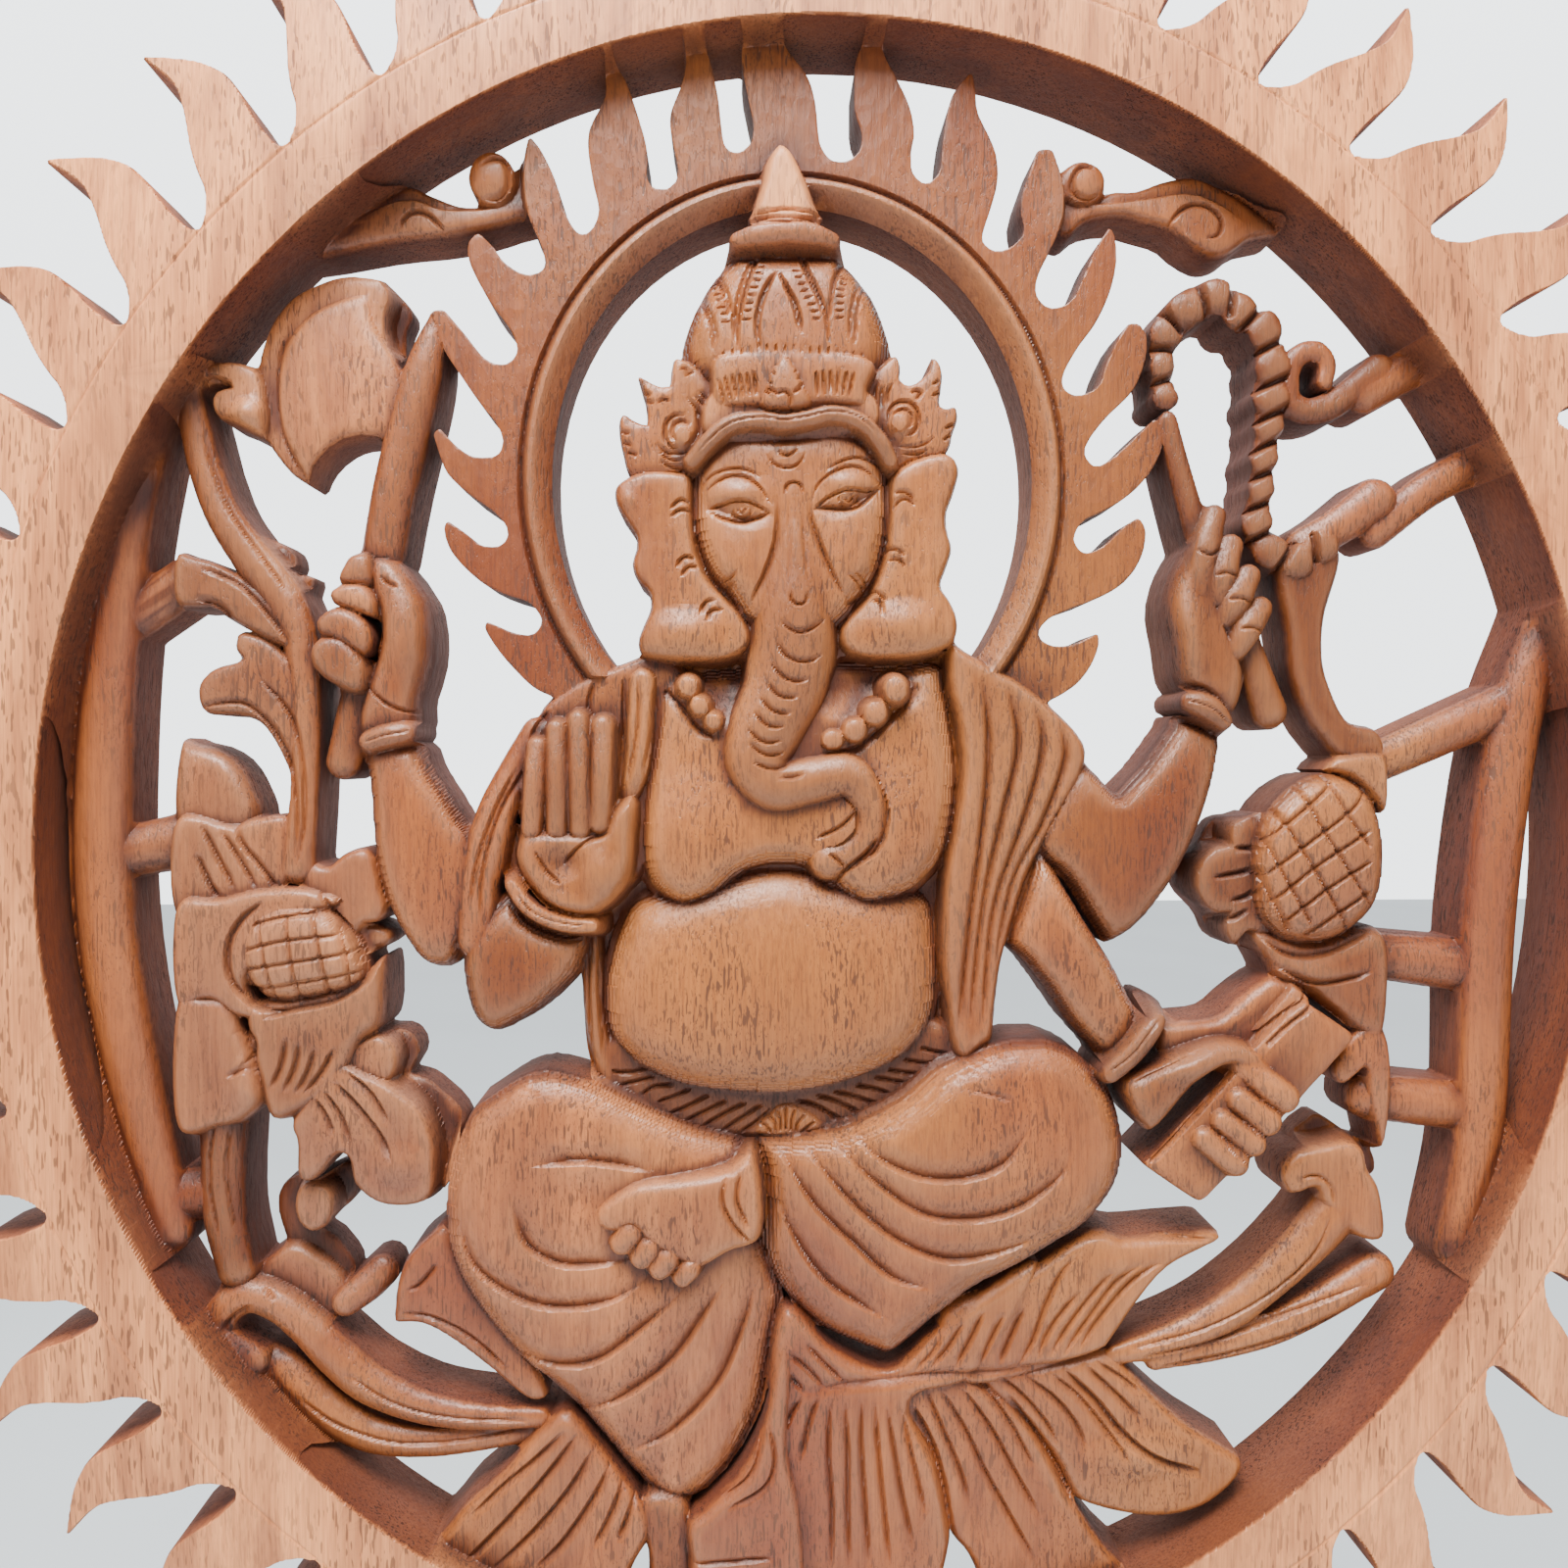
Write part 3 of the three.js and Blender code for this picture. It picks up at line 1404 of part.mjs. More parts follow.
// The ring: a true oval opening, a flat band and a row of flames that lean and curl back
function ring() {
  const notchLine = ovalByArc(OPENING_HALF_WIDTH + BAND_WIDTH, OPENING_HALF_HEIGHT + BAND_WIDTH);
  const pitch = notchLine.total / FLAME_COUNT;
  const notchArc = (k) => {
    const arc = pitch * k;
    const sideways = Math.sin(notchLine.turnAt(arc));
    const shift = sideways > 0 ? LEFT_NOTCH_SHIFT : RIGHT_NOTCH_SHIFT;
    return arc + TOP_NOTCH_SHIFT + shift * sideways ** 2;
  };
  const outer = [];
  for (let k = 0; k < FLAME_COUNT; k += 1) {
    const start = notchArc(k);
    const stretch = (notchArc(k + 1) - start) / FLAME_PITCH;
    FLAME_OUTLINE.forEach(([outward, along]) => {
      outer.push([...notchLine.offset(start + along * stretch, outward), outward]);
    });
  }
  const hole = ovalLoop([0, 0], OPENING_HALF_WIDTH, OPENING_HALF_HEIGHT, RING_STEPS);
  const reach = Math.max(...FLAME_OUTLINE.map(([outward]) => outward));
  const fall = (PLANK - FLAME_TIP_HEIGHT) / reach;
  return slab(outer, hole, ([, , outward = 0]) => PLANK - fall * outward);
}

// The halo: a flat plate with a flamed edge, and a rounded moulding round its opening
function halo() {
  const flames = HALO_FLAMES.flat().map(([u, v, corner]) => [...toPanel(u, v, HALO_HEIGHT), corner]);
  const outer = thin(counterclockwise(flames), FORM_TOLERANCE);
  const grow = HALO_MOULDING_WIDTH - MOULDING_LAP;
  const opening = ovalLoop(HALO_CENTRE, HALO_HALF[0] + grow, HALO_HALF[1] + grow, HALO_STEPS);
  const plate = slab(outer, opening, () => HALO_HEIGHT);
  const positions = [];
  const index = [];
  const count = HALO_PROFILE.length;
  for (let i = 0; i < HALO_STEPS; i += 1) {
    const angle = (i / HALO_STEPS) * 2 * Math.PI;
    HALO_PROFILE.forEach(([outward, level]) => {
      const x = HALO_CENTRE[0] + (HALO_HALF[0] + outward) * Math.cos(angle);
      const z = HALO_CENTRE[1] + (HALO_HALF[1] + outward) * Math.sin(angle);
      positions.push(x, -level, z);
    });
    for (let k = 0; k < count; k += 1) {
      const a = i * count + k;
      const b = i * count + ((k + 1) % count);
      const shift = (i + 1 === HALO_STEPS ? 1 - HALO_STEPS : 1) * count;
      index.push(a, b, b + shift, a, b + shift, a + shift);
    }
  }
  return plate.add(toSolid(positions, index));
}

function joinAll(solids) {
  return solids.reduce((joined, solid) => joined.add(solid));
}

// Planes everything behind the back flat and cuts off nothing else
function planeBack(solid) {
  const keep = new THREE.BoxGeometry(PLANE_WIDTH, PLANE_DEPTH, PLANE_WIDTH);
  keep.translate(0, -PLANE_DEPTH / 2, 0);
  return solid.intersect(geometryToSolid(keep));
}

const forms = [AXE, BODY, HEAD, RIGHT_ARMS, SEAT, LEAVES_RIGHT, LEAVES_LEFT].flatMap((group) => (
  Object.entries(group).map(([name, form]) => pad(form, ROUND_FORMS.includes(name)))
));
const ropeCord = ROPE_BEADS.filter((_, i) => i % 2 === 0 || i + 1 === ROPE_BEADS.length).map(
  ([u, v, , , height]) => [...toPanel(u, v, height), CORD_WIDTH, height - CORD_DROP],
);
const limbs = [
  limb(ropeCord),
  ...Object.values(LIMBS).map((points) => limb(viewStations(points))),
  ...Object.values(HIDDEN_LIMBS).map(limb),
];
const domes = [
  ...ROPE_BEADS.map(dome),
  ...SCROLL_EYES.map(dome),
];
const cuts = CREASES.map(crease);
const carved = planeBack(joinAll([ring(), halo(), ...forms, ...limbs, ...domes])).subtract(joinAll(cuts));

// Back to a mesh, with the origin at the hold point on the back of the ring
const mesh = carved.getMesh();
const geometry = new THREE.BufferGeometry();
geometry.setAttribute('position', new THREE.BufferAttribute(new Float32Array(mesh.vertProperties), 3));
geometry.setIndex(new THREE.BufferAttribute(new Uint32Array(mesh.triVerts), 1));
geometry.translate(0, 0, -HOLD_Z);

const group = new THREE.Group();
group.name = 'carved_wall_panel';
const panel = new THREE.Mesh(
  geometry,
  new THREE.MeshStandardMaterial({ color: 0x9a5a30, roughness: 0.5, metalness: 0 }),
);
panel.name = 'carved_panel';
group.add(panel);
export default group;
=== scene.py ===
"""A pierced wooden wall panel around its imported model: one carved relief, a wood finish and the stage."""
import math

import bpy
import numpy as np
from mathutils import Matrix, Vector


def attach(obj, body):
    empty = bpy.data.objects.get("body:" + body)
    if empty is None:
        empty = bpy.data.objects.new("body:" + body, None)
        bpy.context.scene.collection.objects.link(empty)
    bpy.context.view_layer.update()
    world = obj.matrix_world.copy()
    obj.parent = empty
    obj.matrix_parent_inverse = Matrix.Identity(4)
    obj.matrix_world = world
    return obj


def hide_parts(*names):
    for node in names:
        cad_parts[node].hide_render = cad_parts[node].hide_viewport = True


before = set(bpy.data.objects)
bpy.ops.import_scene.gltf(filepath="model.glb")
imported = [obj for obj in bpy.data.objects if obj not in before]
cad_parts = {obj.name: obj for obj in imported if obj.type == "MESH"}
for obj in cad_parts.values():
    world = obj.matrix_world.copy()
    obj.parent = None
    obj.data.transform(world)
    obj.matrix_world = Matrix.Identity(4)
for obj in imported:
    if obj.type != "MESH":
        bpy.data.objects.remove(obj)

bl_info = {
    "name": "Carved wall panel",
    "version": (1, 0, 0),
    "blender": (4, 5, 0),
    "location": "View3D > Sidebar > Panel",
    "description": "Builds the relief of a pierced wooden wall panel, its finish and its stage",
    "category": "Add Mesh",
}

# The plank and the ring, in mm from the ring's centre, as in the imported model
PLANK = 30.0
OPENING = (216.4, 228.9)
BAND = 17.5
HOLD_Z = OPENING[1] + BAND / 2
FLAME_COUNT = 48
FLAME_PITCH = 31.57
FLAME_TIP_HEIGHT = 26.0
TOP_NOTCH_SHIFT = 1.0
LEFT_NOTCH_SHIFT = 6.8
RIGHT_NOTCH_SHIFT = -1.8
# One flame of the ring from its notch: outward, along the ring to the left, and 1 at a corner
FLAME_OUTLINE = (
    (0, 0, 1), (2, 1.9), (10, 1.9), (18, 0.5), (24.6, 0), (29.4, 1), (36, 4.4), (46, 12, 1),
    (34, 10.8), (26.5, 13.4), (18, 18.4), (12, 21.4), (7, 23.4), (2.7, 27),
)

# The halo behind the head
HALO_HEIGHT = 19.0
HALO_CENTRE = (-10.2, 104.1)
HALO_HALF = (68.4, 77.8)
# Height of the moulding round its opening: outward from the opening, height
HALO_PROFILE = (
    (0, 17), (3.4, 20), (4.2, 20.8), (5.2, 21.5), (6.4, 21.3), (7.3, 20), (7.9, 18.6), (8.6, 17.6),
    (9.6, 19),
)

# Where the halo lies low behind the figure: from x to x, below z, and its height there
HALO_FOOT = (-70.0, 47.0, 49.0, 12.0)

# The viewpoint that the outlines are drawn from: u right and v down in picture units
VIEW_CENTRE = (800.0, 800.0)
VIEW_FOOT = (756.0, 775.0)
VIEW_FOCAL = 1250.0
VIEW_UNIT = 0.27
RING_CENTRE = (25.3, 25.6)

# How finely the surface is worked out, and how steep a carved step is
STEP = 0.5
HALF_WIDTH = 284.0
HALF_HEIGHT = 297.0
WALL_SLOPE = 4.0
RING_SLOPE = 14.0
REACH = 5.0
EMPTY = -60.0
OVERHANG = 0.4
MM = 0.001
BACK_DEPTH = 0.5
EDGE_PASSES = 3
TRIANGLES = 190000

# Raised forms: top height, width of the rounded rim, its drop, then the outline as points of the
# view. A third value of 1 marks a sharp corner.
# The axe on the left and the hand that holds it
AXE = {
    "bladeRim": (17, 1, 1.5, (
        (262, 378), (268, 352), (280, 325), (300, 302), (330, 287), (355, 281), (388, 284, 1),
        (398, 300), (392, 330), (400, 362), (413, 381, 1), (400, 430), (396, 449, 1), (375, 443),
        (350, 447), (330, 460), (318, 475), (313, 494, 1), (296, 482), (275, 455), (262, 432),
        (256, 405),
    )),
    "bladeFace": (20, 1.5, 1.5, (
        (372, 298), (350, 302), (320, 315), (300, 333), (288, 355), (281, 385), (281, 420), (290, 452),
        (312, 490, 1), (318, 475), (330, 460), (350, 447), (375, 443), (396, 449, 1), (410, 400),
        (400, 362), (385, 340), (376, 318),
    )),
    "bladeBack": (9, 1, 1, (
        (385, 290), (405, 300), (421, 320), (414, 345), (412, 381), (380, 380), (370, 330),
    )),
    "axeHand": (24, 4, 8, (
        (376, 566), (400, 568), (414, 579), (427, 598), (436, 614), (441, 640), (441, 668), (436, 692),
        (429, 715), (427, 742), (400, 752), (364, 752), (368, 712), (380, 680), (388, 650), (385, 625),
        (376, 600),
    )),
    "axeF1": (24, 2, 4, (
        (358, 566), (376, 566), (382, 590), (374, 597), (350, 596), (344, 590), (350, 577),
    )),
    "axeF2": (24.5, 2, 4, (
        (349, 596), (372, 597), (384, 613), (383, 630), (368, 626), (350, 620), (338, 614), (336, 604),
    )),
    "axeF3": (25, 2.5, 4, (
        (338, 620), (358, 622), (376, 636), (381, 655), (373, 669), (355, 661), (338, 652), (325, 647),
        (322, 633),
    )),
    "axeF4": (25, 2.5, 4, (
        (327, 650), (347, 650), (366, 665), (374, 682), (372, 702), (362, 707), (343, 700), (327, 690),
        (317, 676), (317, 661),
    )),
    "axeArm": (24, 5, 11, (
        (367, 765), (372, 800), (375, 840), (378, 870), (386, 905), (397, 938), (412, 965), (427, 985),
        (445, 992), (462, 990), (475, 975), (490, 940), (500, 890), (492, 850), (476, 834), (460, 808),
        (444, 783), (432, 757), (400, 750),
    )),
}
# Trunk of the body, raised hand, cloth over the shoulder
BODY = {
    "backPlate": (13, 0, 0, (
        (640, 680), (980, 670), (1000, 760), (1010, 900), (1000, 1060), (980, 1100), (900, 1160),
        (700, 1160), (610, 1100), (596, 1000), (600, 900), (640, 820),
    )),
    "fan": (20, 2, 4, (
        (527, 778), (540, 757), (547, 740), (554, 722), (566, 711, 1), (600, 690), (628, 680),
        (664, 666, 1), (700, 690), (690, 800), (650, 900), (600, 900), (540, 860),
    )),
    "foreArmL": (26, 6, 12, (
        (468, 960), (467, 985), (470, 1012), (478, 1040), (491, 1054), (507, 1058), (530, 1048),
        (560, 1030), (590, 1002), (604, 975), (608, 948), (575, 945), (545, 932), (524, 905),
        (505, 915), (488, 935),
    )),
    "palm": (27, 4, 8, (
        (531, 848, 1), (560, 845), (592, 847), (613, 846), (620, 832), (632, 818), (645, 811),
        (652, 824), (650, 850), (648, 880), (641, 903), (623, 925), (600, 936), (575, 932), (553, 920),
        (536, 900), (526, 875),
    )),
    "chest": (25.5, 7, 9, (
        (668, 690), (663, 740), (655, 790), (650, 850), (655, 890), (672, 915), (700, 928), (730, 918),
        (752, 898), (775, 887), (805, 884), (830, 893), (850, 910), (880, 927), (905, 922), (940, 905),
        (965, 875), (975, 840), (980, 790), (975, 740), (968, 700), (962, 675), (860, 665), (700, 680),
    )),
    "belly": (28.6, 12, 8, (
        (645, 922), (630, 945), (620, 975), (613, 1010), (614, 1045), (623, 1072), (643, 1092),
        (672, 1106), (710, 1117), (760, 1121), (800, 1122), (850, 1114), (890, 1102), (925, 1085),
        (948, 1062), (958, 1035), (962, 1000), (961, 960), (955, 922), (925, 903), (860, 892),
        (800, 880), (740, 890), (690, 905),
    )),
    "belt": (18, 2, 2, (
        (612, 1075), (620, 1100), (640, 1118), (700, 1150), (770, 1162), (800, 1166), (860, 1156),
        (905, 1138), (955, 1108), (982, 1080), (970, 1050), (940, 1040), (660, 1040),
    )),
    "beltFan": (20, 1, 2, (
        (768, 1157, 1), (780, 1140), (802, 1127), (825, 1136), (848, 1152, 1), (810, 1160),
    )),
    "shawl": (22, 3, 6, (
        (968, 655), (985, 664), (1005, 676), (1035, 692), (1065, 714), (1088, 735), (1103, 752),
        (1109, 767), (1106, 785), (1096, 808), (1080, 835), (1064, 862), (1050, 890), (1038, 925),
        (1028, 960), (1021, 990), (1016, 1030), (1013, 1058), (1000, 1070), (985, 1082), (972, 1072),
        (966, 1030), (960, 980), (963, 900), (971, 850), (981, 790), (977, 740), (968, 700),
    )),
}
# Head, ears and crown
HEAD = {
    "headBack": (19, 1, 1, (
        (705, 430), (690, 480), (690, 530), (700, 590), (730, 645), (770, 680), (850, 680), (890, 645),
        (915, 580), (925, 515), (915, 465), (905, 420), (800, 408),
    )),
    "head": (27, 6, 7, (
        (706, 480), (718, 455), (745, 432), (800, 438), (850, 428), (885, 438), (905, 462), (910, 500),
        (908, 545), (898, 585), (880, 612), (858, 640), (810, 660), (765, 640), (742, 608), (722, 585),
        (710, 555), (705, 520),
    )),
    "earL": (24, 2, 4, (
        (705, 488), (690, 482), (665, 480), (645, 485), (630, 494), (627, 505), (631, 520), (643, 538),
        (650, 555), (645, 575), (650, 592), (661, 604), (664, 620), (656, 640), (651, 655), (655, 668),
        (672, 673), (700, 676), (730, 675), (755, 668), (767, 655), (764, 640), (755, 625), (740, 610),
        (722, 590), (710, 560), (706, 520),
    )),
    "earR": (24, 2, 4, (
        (908, 490), (916, 480), (932, 470), (955, 463), (972, 465), (979, 480), (973, 505), (966, 525),
        (968, 545), (972, 560), (966, 580), (960, 598), (968, 610), (977, 630), (976, 650), (965, 662),
        (940, 670), (905, 674), (875, 670), (860, 660), (857, 645), (866, 630), (884, 612), (896, 590),
        (905, 560), (908, 520),
    )),
    "crownDome": (27.6, 12, 12, (
        (748, 248), (735, 262), (715, 290), (700, 322), (692, 350), (692, 375), (705, 400), (730, 415),
        (800, 420), (870, 415), (900, 400), (914, 378), (915, 350), (905, 315), (890, 285), (870, 262),
        (854, 248),
    )),
    "finial": (27, 3, 9, (
        (795, 144, 1), (781, 165), (775, 190), (769, 210), (765, 228), (801, 238), (838, 228),
        (832, 208), (822, 182), (809, 156),
    )),
    "crownBase": (26, 1, 1, (
        (730, 398), (800, 390), (884, 398), (896, 432), (872, 442), (800, 448), (742, 448), (718, 438),
    )),
    "crownBand": (27.8, 1.5, 2.5, (
        (727, 370), (737, 360), (758, 357), (780, 355), (800, 351), (830, 356), (858, 358), (880, 363),
        (893, 373), (884, 395), (882, 412), (850, 413), (800, 416), (750, 414), (731, 410), (728, 395),
    )),
    "crownLeaf": (30, 1.5, 2.5, (
        (778, 413), (781, 398), (788, 377), (800, 359, 1), (812, 375), (821, 395), (827, 412),
        (800, 417),
    )),
    "wingL": (23, 1, 3, (
        (643, 485), (636, 465), (632, 445), (632, 428), (635, 420, 1), (647, 429), (661, 435, 1),
        (659, 415), (655, 398), (649, 380, 1), (663, 389), (674, 394), (684, 395, 1), (685, 378),
        (688, 363, 1), (705, 371), (722, 388), (735, 415), (725, 445), (708, 470), (690, 482),
        (665, 484),
    )),
    "wingR": (23, 1, 3, (
        (890, 385), (903, 371), (915, 360, 1), (919, 372), (918, 388, 1), (930, 393), (946, 381),
        (949, 370), (952, 362, 1), (960, 371), (962, 387), (958, 415, 1), (967, 417), (976, 412, 1),
        (978, 426), (973, 441), (965, 462), (930, 470), (912, 480), (904, 462), (895, 440), (880, 415),
    )),
}
# Arms on the right with the rope and the book
RIGHT_ARMS = {
    "armRope": (23.5, 5, 11, (
        (1108, 772), (1120, 785), (1138, 806, 1), (1162, 782), (1192, 742), (1203, 727), (1250, 747),
        (1248, 780), (1239, 815), (1223, 858), (1200, 902), (1170, 942), (1147, 961), (1130, 967),
        (1112, 945), (1085, 902), (1050, 862), (1070, 815), (1090, 780),
    )),
    "ropeHand": (23.5, 4, 9, (
        (1203, 697), (1196, 658), (1190, 622), (1195, 592), (1206, 567), (1220, 547), (1225, 535),
        (1245, 600), (1265, 650), (1271, 695), (1263, 727), (1250, 735), (1225, 718),
    )),
    "armBook": (25, 5, 11, (
        (1060, 858), (1085, 895), (1115, 945), (1135, 975), (1153, 1008), (1166, 1032), (1171, 1052),
        (1150, 1078), (1130, 1092), (1110, 1070), (1088, 1045), (1065, 1012), (1045, 985), (1026, 962),
        (1036, 925), (1048, 890),
    )),
    "palmBack": (20, 3, 5, (
        (1180, 1048), (1200, 1042), (1240, 1037), (1262, 1020), (1280, 1006), (1300, 996), (1325, 1010),
        (1310, 1060), (1250, 1090), (1190, 1090),
    )),
    "thumbBack": (11, 1.5, 3, (
        (1156, 1012), (1172, 1014), (1186, 1028), (1200, 1050), (1180, 1060), (1160, 1040),
    )),
    "handBook": (27, 3, 7, (
        (1146, 1102), (1175, 1086), (1210, 1071), (1245, 1060), (1275, 1065), (1298, 1082),
        (1312, 1104), (1300, 1112), (1275, 1097), (1255, 1087), (1236, 1094), (1215, 1112),
        (1195, 1136), (1176, 1156), (1163, 1150), (1150, 1128),
    )),
    "book": (25, 0.5, 0.5, (
        (1330, 1020, 1), (1380, 1054, 1), (1383, 1062), (1232, 1224), (1222, 1226), (1168, 1190, 1),
    )),
    "bookEdge": (23, 0.5, 0.5, (
        (1283, 1053, 1), (1322, 1007, 1), (1340, 1020, 1), (1298, 1068, 1),
    )),
    "ropeEndStem": (18, 2.5, 5, (
        (1302, 566), (1366, 560), (1352, 630), (1350, 670), (1357, 700), (1375, 735), (1405, 745),
        (1410, 775), (1368, 776), (1345, 755), (1328, 728), (1315, 690), (1311, 650),
    )),
}
# Crossed legs and the lotus seat
SEAT = {
    "legL": (27, 10, 7, (
        (476, 1136), (460, 1175), (451, 1215), (450, 1250), (458, 1290), (475, 1325), (500, 1360),
        (530, 1395), (560, 1420), (590, 1450), (612, 1478), (642, 1518), (680, 1559, 1), (722, 1538),
        (757, 1497), (780, 1450), (790, 1410), (797, 1375), (803, 1335), (795, 1300), (785, 1275),
        (780, 1230), (776, 1180), (765, 1165), (700, 1148), (640, 1122), (600, 1102), (560, 1092),
        (530, 1098), (495, 1120),
    )),
    "foot": (30, 3, 6, (
        (605, 1236), (615, 1225), (650, 1206), (700, 1200), (745, 1192), (768, 1176), (779, 1220),
        (776, 1268), (745, 1280), (710, 1299), (690, 1288), (660, 1270), (645, 1253), (632, 1260),
        (615, 1258), (606, 1248),
    )),
    "legR": (28.5, 10, 8, (
        (868, 1150), (920, 1122), (960, 1090), (1015, 1066), (1060, 1060), (1092, 1068), (1118, 1086),
        (1142, 1118), (1154, 1165), (1151, 1200), (1138, 1228), (1112, 1257), (1080, 1276),
        (1040, 1300), (1000, 1320), (972, 1342), (945, 1366), (922, 1390), (906, 1399, 1), (880, 1387),
        (840, 1370), (815, 1350), (795, 1325), (780, 1290), (778, 1240), (775, 1200), (768, 1165),
        (800, 1160), (840, 1156),
    )),
    "pendant": (25, 3, 4, (
        (797, 1370), (780, 1450), (757, 1500), (722, 1540), (702, 1558), (705, 1600), (704, 1650),
        (722, 1692), (802, 1692), (822, 1640), (818, 1540), (805, 1480), (808, 1400),
    )),
    "drapeMid": (23, 3, 4, (
        (800, 1335), (850, 1375), (906, 1398), (950, 1362), (1000, 1320), (1060, 1290), (1000, 1400),
        (930, 1430), (958, 1500), (970, 1565), (960, 1620), (945, 1690), (815, 1690), (806, 1600),
        (800, 1500), (785, 1430),
    )),
    "drapeLow": (21, 2.5, 3, (
        (900, 1410), (980, 1405), (1040, 1440), (1075, 1490), (1097, 1532), (1125, 1575), (1165, 1625),
        (1110, 1660), (1040, 1685), (1012, 1640), (990, 1590), (970, 1562), (950, 1480),
    )),
    "petalMidL": (21, 2, 3, (
        (655, 1530), (700, 1535), (706, 1600), (704, 1690), (668, 1695), (662, 1640), (662, 1590),
    )),
    "petalUp": (22, 3, 5, (
        (960, 1340), (1040, 1300), (1112, 1257), (1150, 1262), (1200, 1258), (1240, 1256), (1246, 1265),
        (1226, 1275), (1190, 1295), (1160, 1330), (1136, 1365), (1125, 1377), (1060, 1400), (980, 1410),
    )),
    "petalLow": (20.5, 3, 5, (
        (1000, 1400), (1060, 1390), (1125, 1377), (1150, 1395), (1180, 1425), (1212, 1452),
        (1250, 1476), (1266, 1487), (1266, 1502), (1250, 1521), (1225, 1538), (1190, 1547),
        (1150, 1545), (1110, 1535), (1094, 1524), (1078, 1492), (1055, 1460), (1020, 1430),
    )),
    "petalLeft": (20, 2, 4, (
        (401, 1351, 1), (405, 1312), (416, 1282), (436, 1262), (456, 1252), (480, 1300), (520, 1350),
        (560, 1420), (540, 1428), (500, 1396), (460, 1366), (430, 1351),
    )),
    "drapeLeft": (22.5, 3, 4, (
        (548, 1462), (580, 1440), (615, 1480), (655, 1535), (664, 1558), (657, 1580), (644, 1604),
        (632, 1650), (625, 1690), (520, 1680), (400, 1625), (432, 1585), (455, 1560), (478, 1532),
        (515, 1500),
    )),
}
# Leaves and cone flower on the right
LEAVES_RIGHT = {
    "coneR": (26, 6, 7, (
        (1280, 880), (1285, 850), (1300, 820), (1325, 797), (1355, 786), (1390, 795), (1415, 820),
        (1425, 870), (1418, 920), (1395, 948), (1360, 965), (1320, 965), (1292, 945), (1282, 915),
    )),
    "coneLeaf": (18, 1.2, 2, (
        (1290, 832), (1262, 838), (1256, 848), (1257, 862, 1), (1240, 866), (1226, 880), (1220, 900),
        (1226, 920), (1240, 932), (1256, 930, 1), (1250, 945), (1256, 963), (1264, 962), (1275, 950),
        (1300, 950), (1310, 880),
    )),
    "coneLeafBack": (8, 1, 1, (
        (1265, 832), (1238, 836), (1222, 860), (1205, 878), (1202, 905), (1225, 932), (1237, 955),
        (1262, 965), (1290, 960), (1290, 840),
    )),
    "cupR": (20, 3, 6, (
        (1278, 948), (1292, 985), (1302, 1000), (1330, 1012), (1382, 1052), (1412, 1060), (1412, 950),
        (1340, 962),
    )),
    "coneStemR": (20, 2, 4, (
        (1366, 772), (1400, 768), (1415, 775), (1415, 830), (1398, 810), (1375, 792), (1352, 786),
    )),
    "petalBookR": (19, 1.5, 3, (
        (1385, 1052), (1361, 1085), (1362, 1101), (1372, 1107), (1386, 1095), (1394, 1090),
        (1400, 1130), (1412, 1175), (1420, 1100), (1412, 1050),
    )),
    "scrollR": (20, 2, 4, (
        (1306, 1196), (1320, 1176), (1350, 1168), (1375, 1164), (1391, 1172), (1396, 1192),
        (1408, 1215), (1412, 1262), (1385, 1262), (1350, 1228), (1342, 1212), (1325, 1218),
        (1313, 1217),
    )),
    "scrollRBack": (9, 1, 1, (
        (1340, 1138), (1352, 1140), (1378, 1158), (1398, 1168), (1400, 1200), (1330, 1190),
        (1318, 1160),
    )),
    "voluteR": (17, 2, 4, (
        (1078, 165), (1090, 190), (1112, 204), (1135, 193), (1160, 192), (1190, 181), (1220, 177),
        (1250, 189), (1280, 209), (1310, 234), (1275, 245), (1255, 259), (1235, 262), (1212, 250),
        (1195, 236), (1170, 228), (1140, 221), (1110, 226), (1088, 240), (1070, 220),
    )),
}
